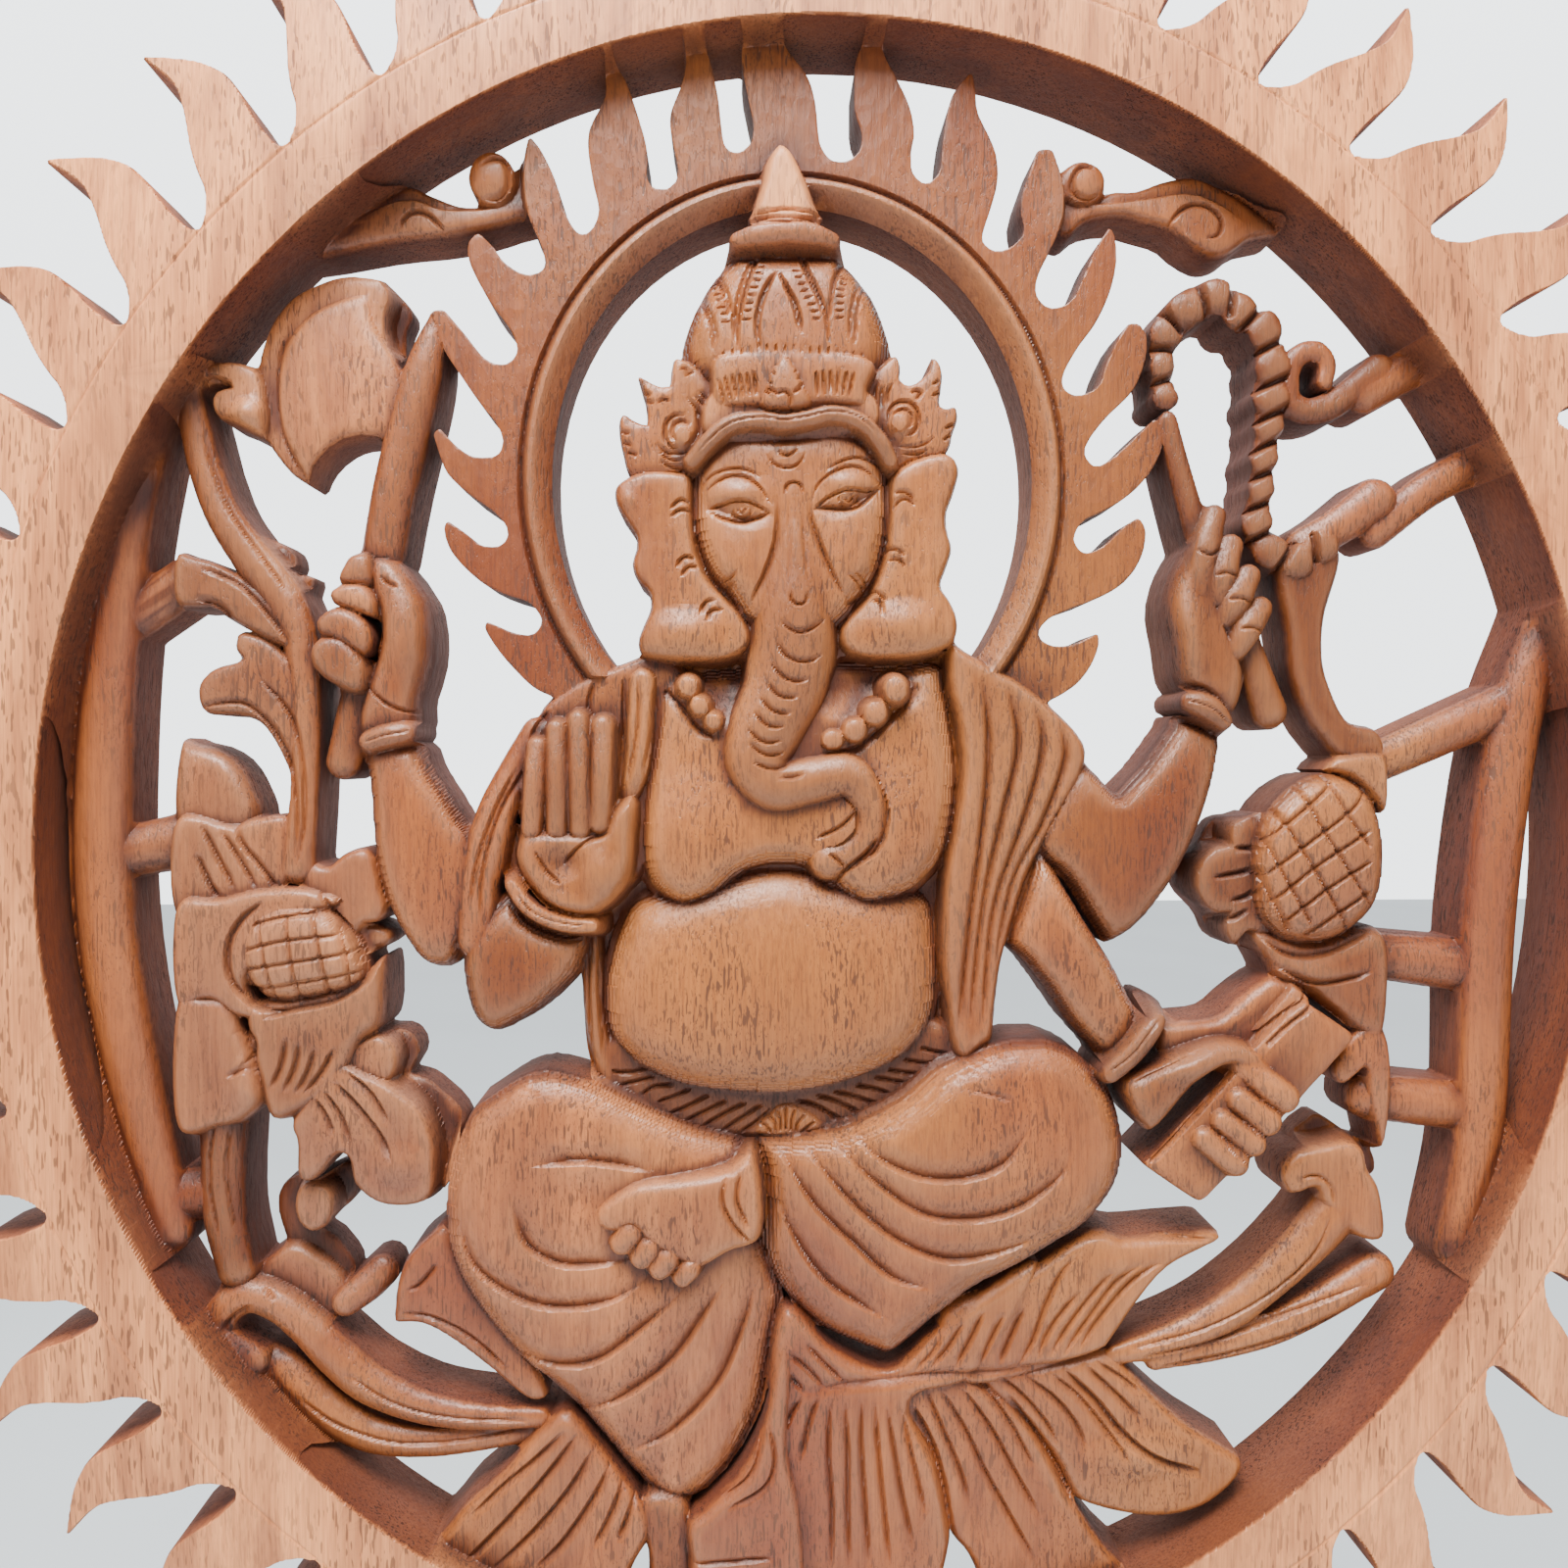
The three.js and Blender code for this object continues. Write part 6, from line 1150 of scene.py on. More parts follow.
        ((1342, 546), (1344, 588)),
    )),
    "ropeKnuckles": (("ropeHand", "ropeF1", "ropeF2", "ropeF3", "ropeF4"), 1.2, 1.2, 1.3, 0.2, (
        ((1222, 560), (1236, 566), (1246, 560)),
        ((1240, 588), (1252, 584), (1266, 588)),
        ((1254, 612), (1266, 610), (1280, 616)),
        ((1266, 642), (1278, 640), (1290, 646)),
    )),
    "shawlFolds": (("shawl",), 2.6, 2.6, 2.2, 0.15, (
        ((1003, 690), (1010, 760), (1003, 850), (990, 950), (978, 1060)),
        ((1030, 700), (1040, 760), (1025, 830), (1005, 920), (990, 1050)),
        ((1058, 720), (1065, 765), (1045, 840), (1015, 930), (1003, 1050)),
        ((1083, 740), (1088, 775), (1065, 840), (1035, 900), (1015, 990)),
    )),
}

# Rows of gouges: the forms they may touch, how many, length, width and depth in mm, turn from the
# way of the row in degrees, and the row as points of the view
GOUGES = {
    "crownTicks1": (("crownDome",), 6, 2.6, 1.4, 1.6, 75, ((729, 290), (734, 305), (739, 322), (742, 336))),
    "crownTicks2": (("crownDome",), 7, 2.6, 1.4, 1.6, 100, ((778, 272), (770, 292), (764, 312), (761, 334))),
    "crownTicks3": (("crownDome",), 7, 2.6, 1.4, 1.6, 75, ((813, 276), (821, 295), (830, 315), (835, 333))),
    "crownTicks4": (("crownDome",), 6, 2.6, 1.4, 1.6, 100, ((861, 284), (858, 298), (857, 312), (856, 332))),
    "bandDropsL": (("crownBand",), 5, 7.0, 1.8, 2.4, 90, ((736, 398), (752, 394), (771, 391))),
    "bandDropsR": (("crownBand",), 5, 7.0, 1.8, 2.4, 90, ((834, 391), (854, 390), (876, 394))),
    "bandScallops": (("crownBand", "crownDome"), 17, 2.4, 1.1, 1.0, 90, (
        (731, 366), (745, 360), (770, 357), (800, 354), (830, 357), (855, 359), (888, 366),
    )),
    "crownLeafTicksL": (("crownLeaf",), 3, 2.4, 1.3, 1.4, 60, ((792, 372), (787, 387), (783, 400))),
    "crownLeafTicksR": (("crownLeaf",), 3, 2.4, 1.3, 1.4, 120, ((811, 372), (816, 387), (820, 400))),
}

# Lights: name, place, side, power and colour
LIGHTS = (
    ("above", (-0.16, -0.5, 0.75), 0.6, 38.0, (1.0, 0.985, 0.96)),
    ("left", (-1.3, -0.9, 0.2), 1.0, 3.5, (1.0, 0.98, 0.96)),
    ("right", (1.2, -1.1, -0.1), 1.2, 3.5, (0.95, 0.98, 1.0)),
)
LIGHT_AIM = (0.0, -0.02, -0.24)
CAMERA_PLACE = (-0.0253, -0.3675, -0.21205)
CAMERA_AIM = (-0.0134, -0.030, -0.21885)
CAMERA_LENS = 28.125
CAMERA_SENSOR = 36.0
SHARP_ANGLE = 40.0

# How much darker and redder some forms are than the body, as painted shade on forms that lie low or in shade, and
# how much paler others are, partly as painted highlight
SHADED_FORMS = (
    (0.35, ("halo", "shawl", "trunk", "stemL", "axeHand", "axeF1", "axeF3", "axeCuff", "handleTop", "palm",
            "fingerL1", "calyxL", "leafL2")),
    (0.6, ("ropeHand", "ropeF2", "ropeF3", "ropeF4", "stickLow", "axeF4", "handBook", "foreArmL", "fingerL2",
           "fingerL3", "fingerL4", "handleLow", "armRope", "sashL", "leafL1", "petalMidL", "cupR")),
    (0.9, ("rope", "ropeCord", "ropeF1", "ropeEndStem", "rodTop", "cuffR", "cuffBook", "headBand", "belt",
           "stemL2", "coneLeaf", "curlR", "ballLBack")),
)
# Painted highlight on the finial and the legs; the other forms here are simply made paler.
PALER_AND_HIGHLIT = (
    (0.2, ("legL", "foot", "axeF2")),
    (0.4, ("bladeFace", "bladeRim", "curlL", "coneL", "crownBase")),
    (1.0, ("finial",)),
)


def view_axes():
    """The viewing axis and the picture's right and down directions, square to each other."""
    axis = np.array((VIEW_FOOT[0] - VIEW_CENTRE[0], VIEW_FOOT[1] - VIEW_CENTRE[1], VIEW_FOCAL))
    axis /= np.linalg.norm(axis)
    right = np.array((1.0, 0.0, 0.0)) - axis * axis[0]
    right /= np.linalg.norm(right)
    return axis, right, np.cross(axis, right)


VIEW_AXIS, VIEW_RIGHT, VIEW_DOWN = view_axes()


def unit_at(height):
    """How many mm one picture unit is at a height above the back."""
    return (VIEW_FOCAL * VIEW_UNIT + PLANK - height) / VIEW_FOCAL


def to_panel(points, height):
    """Points of the view as x, z in mm: the ray through each point, cut with the plane at its height."""
    points = np.asarray(points, float)
    centred = points - VIEW_CENTRE
    rays = np.column_stack((centred, np.full(len(points), VIEW_FOCAL)))
    distance = VIEW_FOCAL * VIEW_UNIT + PLANK - np.asarray(height, float)
    rays *= (distance / (rays @ VIEW_AXIS))[:, None]
    return np.column_stack((rays @ VIEW_RIGHT - RING_CENTRE[0], RING_CENTRE[1] - rays @ VIEW_DOWN))


def smooth(points, steps, closed):
    """A cubic curve through points: at each it runs along the line between its neighbours, its pull
    is at most 1.4 times the side, and a corner or an open end points straight at its neighbour."""
    points = np.asarray(points, float)
    here = points if closed else points[:-1]
    there = np.roll(points, -1, 0) if closed else points[1:]
    chord = there[:, :-1] - here[:, :-1]
    along = np.roll(points, -1, 0) - np.roll(points, 1, 0)
    along = along[:, :-1] / 2
    if not closed:
        along[0] = chord[0]
        along[-1] = chord[-1]
    leave = along if closed else along[:-1]
    arrive = np.roll(along, -1, 0) if closed else along[1:]
    longest = 1.4 * np.linalg.norm(chord, axis=1, keepdims=True)
    pulls = []
    for pull, corner in ((leave, here[:, -1:]), (arrive, there[:, -1:])):
        size = np.maximum(np.linalg.norm(pull, axis=1, keepdims=True), 1e-9)
        pulls.append(np.where(corner > 0, chord, pull * np.minimum(1, longest / size)))
    t = np.linspace(0, 1, steps, endpoint=False)[None, :, None]
    start = 2 * t ** 3 - 3 * t ** 2 + 1
    line = (
        start * here[:, None, :-1] + (1 - start) * there[:, None, :-1]
        + (t ** 3 - 2 * t ** 2 + t) * pulls[0][:, None] + (t ** 3 - t ** 2) * pulls[1][:, None]
    ).reshape(-1, points.shape[1] - 1)
    return line if closed else np.vstack((line, points[-1:, :-1]))


def with_corners(outline):
    """Outline points as rows of u, v, corner, with 0 where no corner is marked."""
    return np.array([(*point, 0)[:3] for point in outline], float)


def even(line, spacing):
    """A line of any number of columns walked at even steps of its first two."""
    lengths = np.linalg.norm(np.diff(line[:, :2], axis=0), axis=1)
    travelled = np.concatenate(((0.0,), np.cumsum(lengths)))
    stations = np.linspace(0, travelled[-1], max(2, int(travelled[-1] / spacing) + 2))
    return np.column_stack([np.interp(stations, travelled, column) for column in line.T])


def share_out(oval, x, z):
    """The squared share of the way from the middle of an oval of the view to its line."""
    place = to_panel([oval[:2]], PLANK)[0]
    half = np.array(oval[2:4]) * unit_at(PLANK)
    return ((x - place[0]) / half[0]) ** 2 + ((z - place[1]) / half[1]) ** 2


class Relief:
    """The carved surface as a height above the back on a square grid of x and z. Forms are joined by
    keeping the highest; a second grid keeps the distance inside the outline of all of them."""

    def __init__(self):
        self.x = np.arange(-HALF_WIDTH, HALF_WIDTH + STEP, STEP)
        self.z = np.arange(-HALF_HEIGHT, HALF_HEIGHT + STEP, STEP)
        self.height = np.full((self.z.size, self.x.size), EMPTY)
        self.within = np.full(self.height.shape, -REACH)
        self.owner = np.zeros(self.height.shape, np.int16)
        self.names = [""]

    def window(self, line, margin):
        """The part of the grid round a line, as slices and as grids of x and z."""
        low = line[:, :2].min(0) - margin
        high = line[:, :2].max(0) + margin
        spans = []
        for k, axis in enumerate((self.x, self.z)):
            first = max(int((low[k] - axis[0]) / STEP), 0)
            last = min(int((high[k] - axis[0]) / STEP) + 2, axis.size)
            spans.append(slice(first, last))
        box = (spans[1], spans[0])
        x, z = np.meshgrid(self.x[spans[0]], self.z[spans[1]])
        return box, x, z

    def near(self, line, x, z, reach):
        """Every grid point near each side of an open line: grid rows and columns, the side's number,
        the share of the way along it, and the signed distance, positive on the left."""
        start = line[:-1, :2]
        across = line[1:, :2] - start
        size = np.maximum(np.linalg.norm(across, axis=1), 1e-9)
        radius = int(math.ceil((reach + size.max() / 2) / STEP))
        middle = (start + across / 2 - (x[0, 0], z[0, 0])) / STEP
        middle = np.rint(middle).astype(int)
        offset = np.arange(-radius, radius + 1)
        columns = (middle[:, 0, None, None] + offset[None, None, :])
        rows = (middle[:, 1, None, None] + offset[None, :, None])
        columns, rows = np.broadcast_arrays(columns, rows)
        number = np.broadcast_to(np.arange(len(start))[:, None, None], rows.shape)
        valid = (columns >= 0) & (rows >= 0) & (columns < x.shape[1]) & (rows < x.shape[0])
        columns, rows, number = columns[valid], rows[valid], number[valid]
        px = x[0, 0] + columns * STEP - start[number, 0]
        pz = z[0, 0] + rows * STEP - start[number, 1]
        ax, az = across[number, 0], across[number, 1]
        share = np.clip((px * ax + pz * az) / size[number] ** 2, 0, 1)
        gap = np.hypot(px - share * ax, pz - share * az)
        close = gap < reach
        side = np.where(ax * pz - az * px >= 0, 1.0, -1.0)
        return rows[close], columns[close], number[close], share[close], (gap * side)[close]

    def signed(self, line, x, z, reach):
        """Distance to a closed line, positive inside it: the nearest side gives the distance, and a
        point is inside when the sides cross its grid row an odd number of times to its left."""
        ring = np.vstack((line, line[:1]))
        rows, columns, _, _, gap = self.near(ring, x, z, reach)
        distance = np.full(x.shape, reach)
        np.minimum.at(distance, (rows, columns), np.abs(gap))
        a, b = ring[:-1], ring[1:]
        low = np.minimum(a[:, 1], b[:, 1])
        high = np.maximum(a[:, 1], b[:, 1])
        first = np.clip(np.ceil((low - z[0, 0]) / STEP).astype(int), 0, x.shape[0])
        last = np.clip(np.ceil((high - z[0, 0]) / STEP).astype(int), 0, x.shape[0])
        count = last - first
        number = np.repeat(np.arange(len(a)), count)
        row = np.arange(count.sum()) - np.repeat(np.cumsum(count) - count, count) + first[number]
        share = (z[0, 0] + row * STEP - a[number, 1]) / (b[number, 1] - a[number, 1])
        crossing = a[number, 0] + share * (b[number, 0] - a[number, 0])
        column = np.clip(np.ceil((crossing - x[0, 0]) / STEP).astype(int), 0, x.shape[1])
        flips = np.zeros((x.shape[0], x.shape[1] + 1), int)
        np.add.at(flips, (row, column), 1)
        inside = np.cumsum(flips[:, :-1], axis=1) % 2 == 1
        return np.where(inside, distance, -distance)

    def join(self, name, box, height, within, through=True):
        """Keeps the higher of what is there and a new form, and notes which form is on top."""
        if name not in self.names:
            self.names.append(name)
        old = self.height[box]
        higher = height > old
        self.height[box] = np.where(higher, height, old)
        self.owner[box] = np.where(higher, self.names.index(name), self.owner[box])
        if through:
            self.within[box] = np.maximum(self.within[box], within)

    def pad(self, name, form, crown, settle, bulge):
        """A raised form whose peak is at its top. Its rim is a quarter of an oval, inset wide and drop
        high; from the middle it falls by crown to the rim, along a blur of its outline settle mm
        wide; and over the bulge's oval it rises by a paraboloid."""
        top, inset, drop, outline = form
        points = with_corners(outline)
        points[:, :2] = to_panel(points[:, :2], top - drop / 2)
        line = smooth(points, 8, closed=True)
        box, x, z = self.window(line, REACH + 1)
        within = self.signed(line, x, z, max(inset, REACH))
        rim = np.clip((within + OVERHANG) / (inset + OVERHANG), 0, 1)
        height = top - drop * (1 - np.sqrt(1 - (1 - rim) ** 2)) + WALL_SLOPE * np.minimum(within, 0)
        height -= crown * (1 - dome(np.clip(within / STEP + 0.5, 0, 1), settle / STEP))
        if bulge:
            height -= bulge[-1] * (1 - np.clip(1 - share_out(bulge, x, z), 0, 1))
        self.join(name, box, height, within)

    def limb(self, name, stations, round_=0.5):
        """A rounded bar along stations of u, v, width and height. Its section is part of an oval that
        falls by a share of its width to the side."""
        stations = np.asarray(stations, float)
        heights = stations[:, 3]
        places = to_panel(stations[:, :2], heights)
        widths = stations[:, 2] * unit_at(heights)
        self.bar(name, np.column_stack((places, widths, heights)), round_)

    def bar(self, name, stations, round_=0.5):
        """As limb, along x, z, width and height in mm."""
        line = smooth(np.column_stack((stations, np.zeros(len(stations)))), 10, closed=False)
        line = even(line, 1.5)
        box, x, z = self.window(line, line[:, 2].max() / 2 + REACH + 1)
        rows, columns, number, share, gap = self.near(line, x, z, line[:, 2].max() / 2 + REACH)
        half = (line[number, 2] + share * (line[number + 1, 2] - line[number, 2])) / 2
        top = line[number, 3] + share * (line[number + 1, 3] - line[number, 3])
        inward = half - np.abs(gap)
        out = np.clip(np.abs(gap) / (half + OVERHANG), 0, 1)
        drop = np.minimum(2 * half * round_, top * 0.7)
        rise = top - drop * (1 - np.sqrt(np.maximum(1 - out ** 2, 0))) + WALL_SLOPE * np.minimum(inward, 0)
        height = np.full(x.shape, EMPTY)
        within = np.full(x.shape, -REACH)
        np.maximum.at(height, (rows, columns), rise)
        np.maximum.at(within, (rows, columns), inward)
        self.join(name, box, height, within)

    def bead(self, name, oval, drop=0.8, through=True):
        """A low dome on an oval: the height falls as the root of one less the squared share outward."""
        u, v, half_u, half_v, top = oval
        place = to_panel([(u, v)], top)
        unit = unit_at(top)
        size = np.array((half_u, half_v)) * unit
        box, x, z = self.window(place, size.max() + REACH)
        out = np.hypot((x - place[0, 0]) / size[0], (z - place[0, 1]) / size[1])
        inward = (1 - out) * size.min()
        arch = 1 - (out * size.min() / (size.min() + OVERHANG)) ** 2
        height = top - drop * size.min() * (1 - np.sqrt(np.maximum(arch, 0)))
        height += WALL_SLOPE * np.minimum(inward, 0)
        self.join(name, box, height, np.clip(inward, -REACH, REACH), through)

    def swell(self, oval, only):
        """A soft swelling, or a hollow if negative: the rise in the middle of an oval, times the
        square of one less the squared share outward."""
        place = to_panel([oval[:2]], PLANK)
        box, x, z = self.window(place, max(oval[2:4]) * unit_at(PLANK) + 1)
        wanted = [self.names.index(name) for name in only]
        rise = np.where(np.isin(self.owner[box], wanted), oval[-1], 0)
        self.height[box] += rise * np.clip(1 - share_out(oval, x, z), 0, 1) ** 2

    def heights_at(self, places):
        """The surface's height at places, from the nearest grid point."""
        column = np.clip(np.rint((places[:, 0] - self.x[0]) / STEP).astype(int), 0, self.x.size - 1)
        row = np.clip(np.rint((places[:, 1] - self.z[0]) / STEP).astype(int), 0, self.z.size - 1)
        return np.maximum(self.height[row, column], 0)

    def on_surface(self, points):
        """Points of the view as x, z where their rays meet the surface, in two rounds of looking."""
        places = to_panel(points, 24.0)
        for _ in range(2):
            places = to_panel(points, self.heights_at(places))
        return places

    def carve(self, points, left, right, depth, only=(), taper=0.3, power=2.0):
        """A cut along points of the view. Its depth falls to nothing over the given width on the left
        and on the right of the way it runs, by a power of the share, and tapers at both ends."""
        points = np.asarray(points, float)
        places = self.on_surface(points[:, :2])
        line = smooth(np.column_stack((places, np.zeros(len(places)))), 8, closed=False)
        self.cut(even(line, 1.2), left, right, depth, only, taper, power)

    def cut(self, line, left, right, depth, only=(), taper=0.3, power=2.0):
        """As carve, along a line of x and z in mm."""
        widest = max(left, right)
        box, x, z = self.window(line, widest + 1)
        rows, columns, number, share, gap = self.near(line, x, z, widest)
        width = np.where(gap >= 0, left, right)
        fall = np.clip(1 - np.abs(gap) / width, 0, 1) ** power
        way = (number + share) / (len(line) - 1)
        ends = np.clip(np.minimum(way, 1 - way) / max(taper, 1e-6), 0, 1) ** 0.6 if taper else 1.0
        depths = np.zeros(x.shape)
        np.maximum.at(depths, (rows, columns), depth * fall * ends)
        if only:
            wanted = [self.names.index(name) for name in only]
            depths = np.where(np.isin(self.owner[box], wanted), depths, 0)
        self.height[box] -= depths

    def notches(self, points, count, length, width, depth, only=(), angle=90.0):
        """Short gouges at even places along a line, each turned from it by an angle."""
        places = self.on_surface(np.asarray(points, float)[:, :2])
        line = smooth(np.column_stack((places, np.zeros(len(places)))), 8, closed=False)
        spots = even(line, np.linalg.norm(np.diff(line, axis=0), axis=1).sum() / count)[:count + 1]
        along = np.gradient(spots, axis=0)
        along /= np.linalg.norm(along, axis=1, keepdims=True)
        turn = math.radians(angle)
        across = np.column_stack((
            along[:, 0] * math.cos(turn) - along[:, 1] * math.sin(turn),
            along[:, 0] * math.sin(turn) + along[:, 1] * math.cos(turn),
        ))
        for spot, way in zip(spots, across):
            ends = np.linspace(-0.5, 0.5, 5)[:, None] * length * way + spot
            self.cut(ends, width / 2, width / 2, depth, only, taper=0.4)


    def ease_steps(self):
        """Rounds steep steps: where a place differs much from the mean of its neighbours, it moves to
        that mean."""
        raised = np.maximum(self.height, 0)
        mean = box_sum(box_sum(raised, 1), 1)
        share = np.clip((np.abs(raised - mean) - 0.5) / 0.8, 0, 1)
        self.height = np.where(self.height > 0, raised + share * (mean - raised), self.height)


def soften(values, mask, radius):
    """Values blurred by three passes of a square box of grid points, each as a share of the mask."""
    weight = mask.astype(float)
    total = values * weight
    for _ in range(3):
        total = box_sum(total, radius)
        weight = box_sum(weight, radius)
    return total / np.maximum(weight, 1e-9)


def box_sum(values, radius):
    """Mean over a square box, from running sums along each axis."""
    for axis in (0, 1):
        pads = [(0, 0), (0, 0)]
        pads[axis] = (radius + 1, radius)
        running = np.cumsum(np.pad(values, pads), axis=axis)
        count = values.shape[axis]
        upper = np.take(running, np.arange(2 * radius + 1, 2 * radius + 1 + count), axis=axis)
        lower = np.take(running, np.arange(0, count), axis=axis)
        values = (upper - lower) / (2 * radius + 1)
    return values


def dome(inside, radius):
    """A dome over a shape: from 0 outside the outline to 1 in the middle, its blurred outline less the
    half that a straight edge has."""
    spread = inside
    for _ in range(3):
        spread = box_sum(spread, max(1, int(radius / 2)))
    low = 0.35
    return np.clip((spread - low) / max(spread.max() - low, 1e-6), 0, 1) ** 0.8

# Stems and ties where the view is cut off, finished plainly: x, z, width, height in mm
HIDDEN_STEMS = {
    "leftStem": (
        (-188, 128, 10, 19), (-199, 85, 15, 20), (-205, 30, 17, 20), (-204, -30, 17, 20), (-188, -108, 14, 20),
    ),
    "leftLeafStem": ((-203, 62, 14, 17), (-183, 76, 14, 17)),
    "leftPetalStem": ((-206, -2, 14, 17), (-186, 2, 16, 17)),
    "leftBlockStem": ((-192, -100, 14, 18), (-176, -98, 16, 18)),
    "rightCurlStem": ((156, 132, 12, 18), (176, 143, 12, 18)),
    "rightBranchStem": ((160, 92, 10, 17), (178, 106, 11, 17), (200, 116, 12, 17)),
    "rightStem": (
        (212, 66, 15, 20), (202, 35, 16, 20), (195, -20, 17, 20), (193, -80, 15, 20), (186, -118, 14, 20),
    ),
    "rightConeStem": ((155, 22, 12, 18), (178, 32, 13, 18), (206, 44, 14, 18)),
    "rightCupStem": ((160, -32, 14, 17), (192, -36, 16, 17)),
    "rightPetalStem": ((160, -74, 14, 17), (192, -78, 15, 17)),
}

# The cord under the rope's beads: its width as a share of half a bead's, and mm below their tops
CORD_SHARE = 1.75
CORD_DROP = 0.8

# Forms whose middle stands higher than the rim: how much higher in mm, and how far in it settles
SWELL = {
    "belly": (3, 16), "legL": (3, 12), "legR": (3, 12), "crownDome": (5, 12), "head": (2.5, 10),
    "foot": (1.5, 4), "axeHand": (4, 7), "axeArm": (5, 9), "foreArmL": (5, 9), "palm": (1.5, 4),
    "chest": (2.5, 8), "coneL": (4, 8), "coneR": (4, 8), "armRope": (5, 9), "armBook": (5, 9),
    "ropeHand": (4, 7), "handBook": (3, 6), "finial": (3, 3), "cupR": (3, 5), "knotL": (2, 4),
}


def flame_line():
    """The outer line of the ring: the flame outline repeated along the ellipse of the notches. A
    point lies on that ellipse at its distance along it, moved out along the ellipse's normal."""
    half = (OPENING[0] + BAND, OPENING[1] + BAND)
    turn = np.linspace(0, 2 * math.pi, 5761)
    spots = np.column_stack((-half[0] * np.sin(turn), half[1] * np.cos(turn)))
    steps = np.linalg.norm(np.diff(spots, axis=0), axis=1)
    arc = np.concatenate(((0.0,), np.cumsum(steps)))
    count = np.arange(FLAME_COUNT + 1)
    even_arc = arc[-1] * count / FLAME_COUNT
    sideways = np.sin(np.interp(even_arc, arc, turn))
    shift = np.where(sideways > 0, LEFT_NOTCH_SHIFT, RIGHT_NOTCH_SHIFT)
    notch = even_arc + TOP_NOTCH_SHIFT + shift * sideways ** 2
    outline = with_corners(FLAME_OUTLINE)
    stretch = np.diff(notch) / FLAME_PITCH
    along = (notch[:-1, None] + stretch[:, None] * outline[None, :, 1]).ravel() % arc[-1]
    outward = np.tile(outline[:, 0], FLAME_COUNT)
    at = np.interp(along, arc, turn)
    normal = np.column_stack((-np.sin(at) / half[0], np.cos(at) / half[1]))
    normal /= np.linalg.norm(normal, axis=1, keepdims=True)
    place = np.column_stack((-half[0] * np.sin(at), half[1] * np.cos(at)))
    points = place + normal * outward[:, None]
    return smooth(np.column_stack((points, np.tile(outline[:, 2], FLAME_COUNT))), 6, closed=True)


def outward_from(x, z, centre, half):
    """Roughly how far a place is outside an ellipse: one step of Newton's rule on its equation."""
    dx, dz = (x - centre[0]) / half[0], (z - centre[1]) / half[1]
    share = np.maximum(np.hypot(dx, dz), 1e-6)
    return (share - 1) * share / np.hypot(dx / half[0], dz / half[1])


def add_ring(relief):
    """The ring: flat at the plank's face on the band, sloping down from the notches to the tips of
    the flames, its outer arrises eased, and a scribed line where the flames start."""
    line = flame_line()
    box, x, z = relief.window(line, 0)
    outer = relief.signed(line, x, z, REACH)
    out = outward_from(x, z, (0, 0), OPENING)
    within = np.minimum(outer, np.clip(out, -REACH, REACH))
    tips = np.clip((out - BAND) / 46, 0, 1)
    height = PLANK - (PLANK - FLAME_TIP_HEIGHT) * tips
    height -= 0.45 * np.clip(1 - np.abs(out - BAND + 0.5) / 0.8, 0, 1)
    height += WALL_SLOPE * np.clip(within, -0.5, 0) + RING_SLOPE * np.minimum(within + 0.5, 0)
    relief.join("ring", box, height, within)


def add_halo(relief):
    """The halo: a flat plate with flames round an oval opening, with a moulding round the opening
    that follows its profile by the distance outward. Behind the figure it lies low."""
    outline = with_corners(HALO_FLAMES)
    outline[:, :2] = to_panel(outline[:, :2], HALO_HEIGHT)
    line = smooth(outline, 6, closed=True)
    box, x, z = relief.window(line, REACH + 1)
    outer = relief.signed(line, x, z, REACH)
    out = outward_from(x, z, HALO_CENTRE, HALO_HALF)
    within = np.minimum(outer, np.clip(out, -REACH, REACH))
    distance, level = np.transpose(HALO_PROFILE)
    height = np.interp(out, distance, level)
    behind = (z < HALO_FOOT[2]) & (x > HALO_FOOT[0]) & (x < HALO_FOOT[1])
    height = np.where(behind, np.minimum(height, HALO_FOOT[3]), height)
    height = np.where(within > 0, height, height + WALL_SLOPE * within)
    relief.join("halo", box, height, within)


def add_forms(relief):
    """Every raised form, limb, stem and bead."""
    for name, stations in HIDDEN_STEMS.items():
        relief.bar(name, stations)
    for table in (AXE, BODY, HEAD, RIGHT_ARMS, SEAT, LEAVES_RIGHT, LEAVES_LEFT):
        for name, form in table.items():
            relief.pad(name, form, *SWELL.get(name, (1.5, 3)), BULGES.get(name))
    for name, stations in LIMBS.items():
        relief.limb(name, stations)
    for oval in ROPE_BEADS:
        relief.bead("rope", oval, 0.55)
    for name, stations in TOE_LIMBS.items():
        relief.limb(name, stations)
    for oval in SCROLL_EYES:
        relief.bead("scrollEyes", oval, 0.5)
    for oval in NECK_BEADS:
        relief.bead("neckBeads", oval, 0.6, through=False)
    relief.limb("ropeCord", [(u, v, CORD_SHARE * wide, top - CORD_DROP) for u, v, wide, _, top in ROPE_BEADS])


def add_cuts(relief):
    """Every groove, fold and gouge."""
    for only, ovals in SWELLINGS:
        for oval in ovals:
            relief.swell(oval, only)
    for name, (only, left, right, depth, taper, lines) in CUTS.items():
        for line in lines:
            relief.carve(line, left, right, depth, only, taper)
    for only, count, length, width, depth, turn, line in GOUGES.values():
        relief.notches(line, count, length, width, depth, only, turn)
    for oval in ROSETTE_EYES:
        relief.bead("rosetteEyes", oval, 0.4, through=False)
    relief.ease_steps()


def shares_of(relief, groups, blur):
    """On each form, the share that its group gives, and 0 on the rest, blurred this many samples wide."""
    shares = np.zeros(len(relief.names))
    for share, names in groups:
        for name in names:
            shares[relief.names.index(name)] = share
    grid = shares[relief.owner]
    return soften(grid, np.ones(grid.shape, bool), blur)


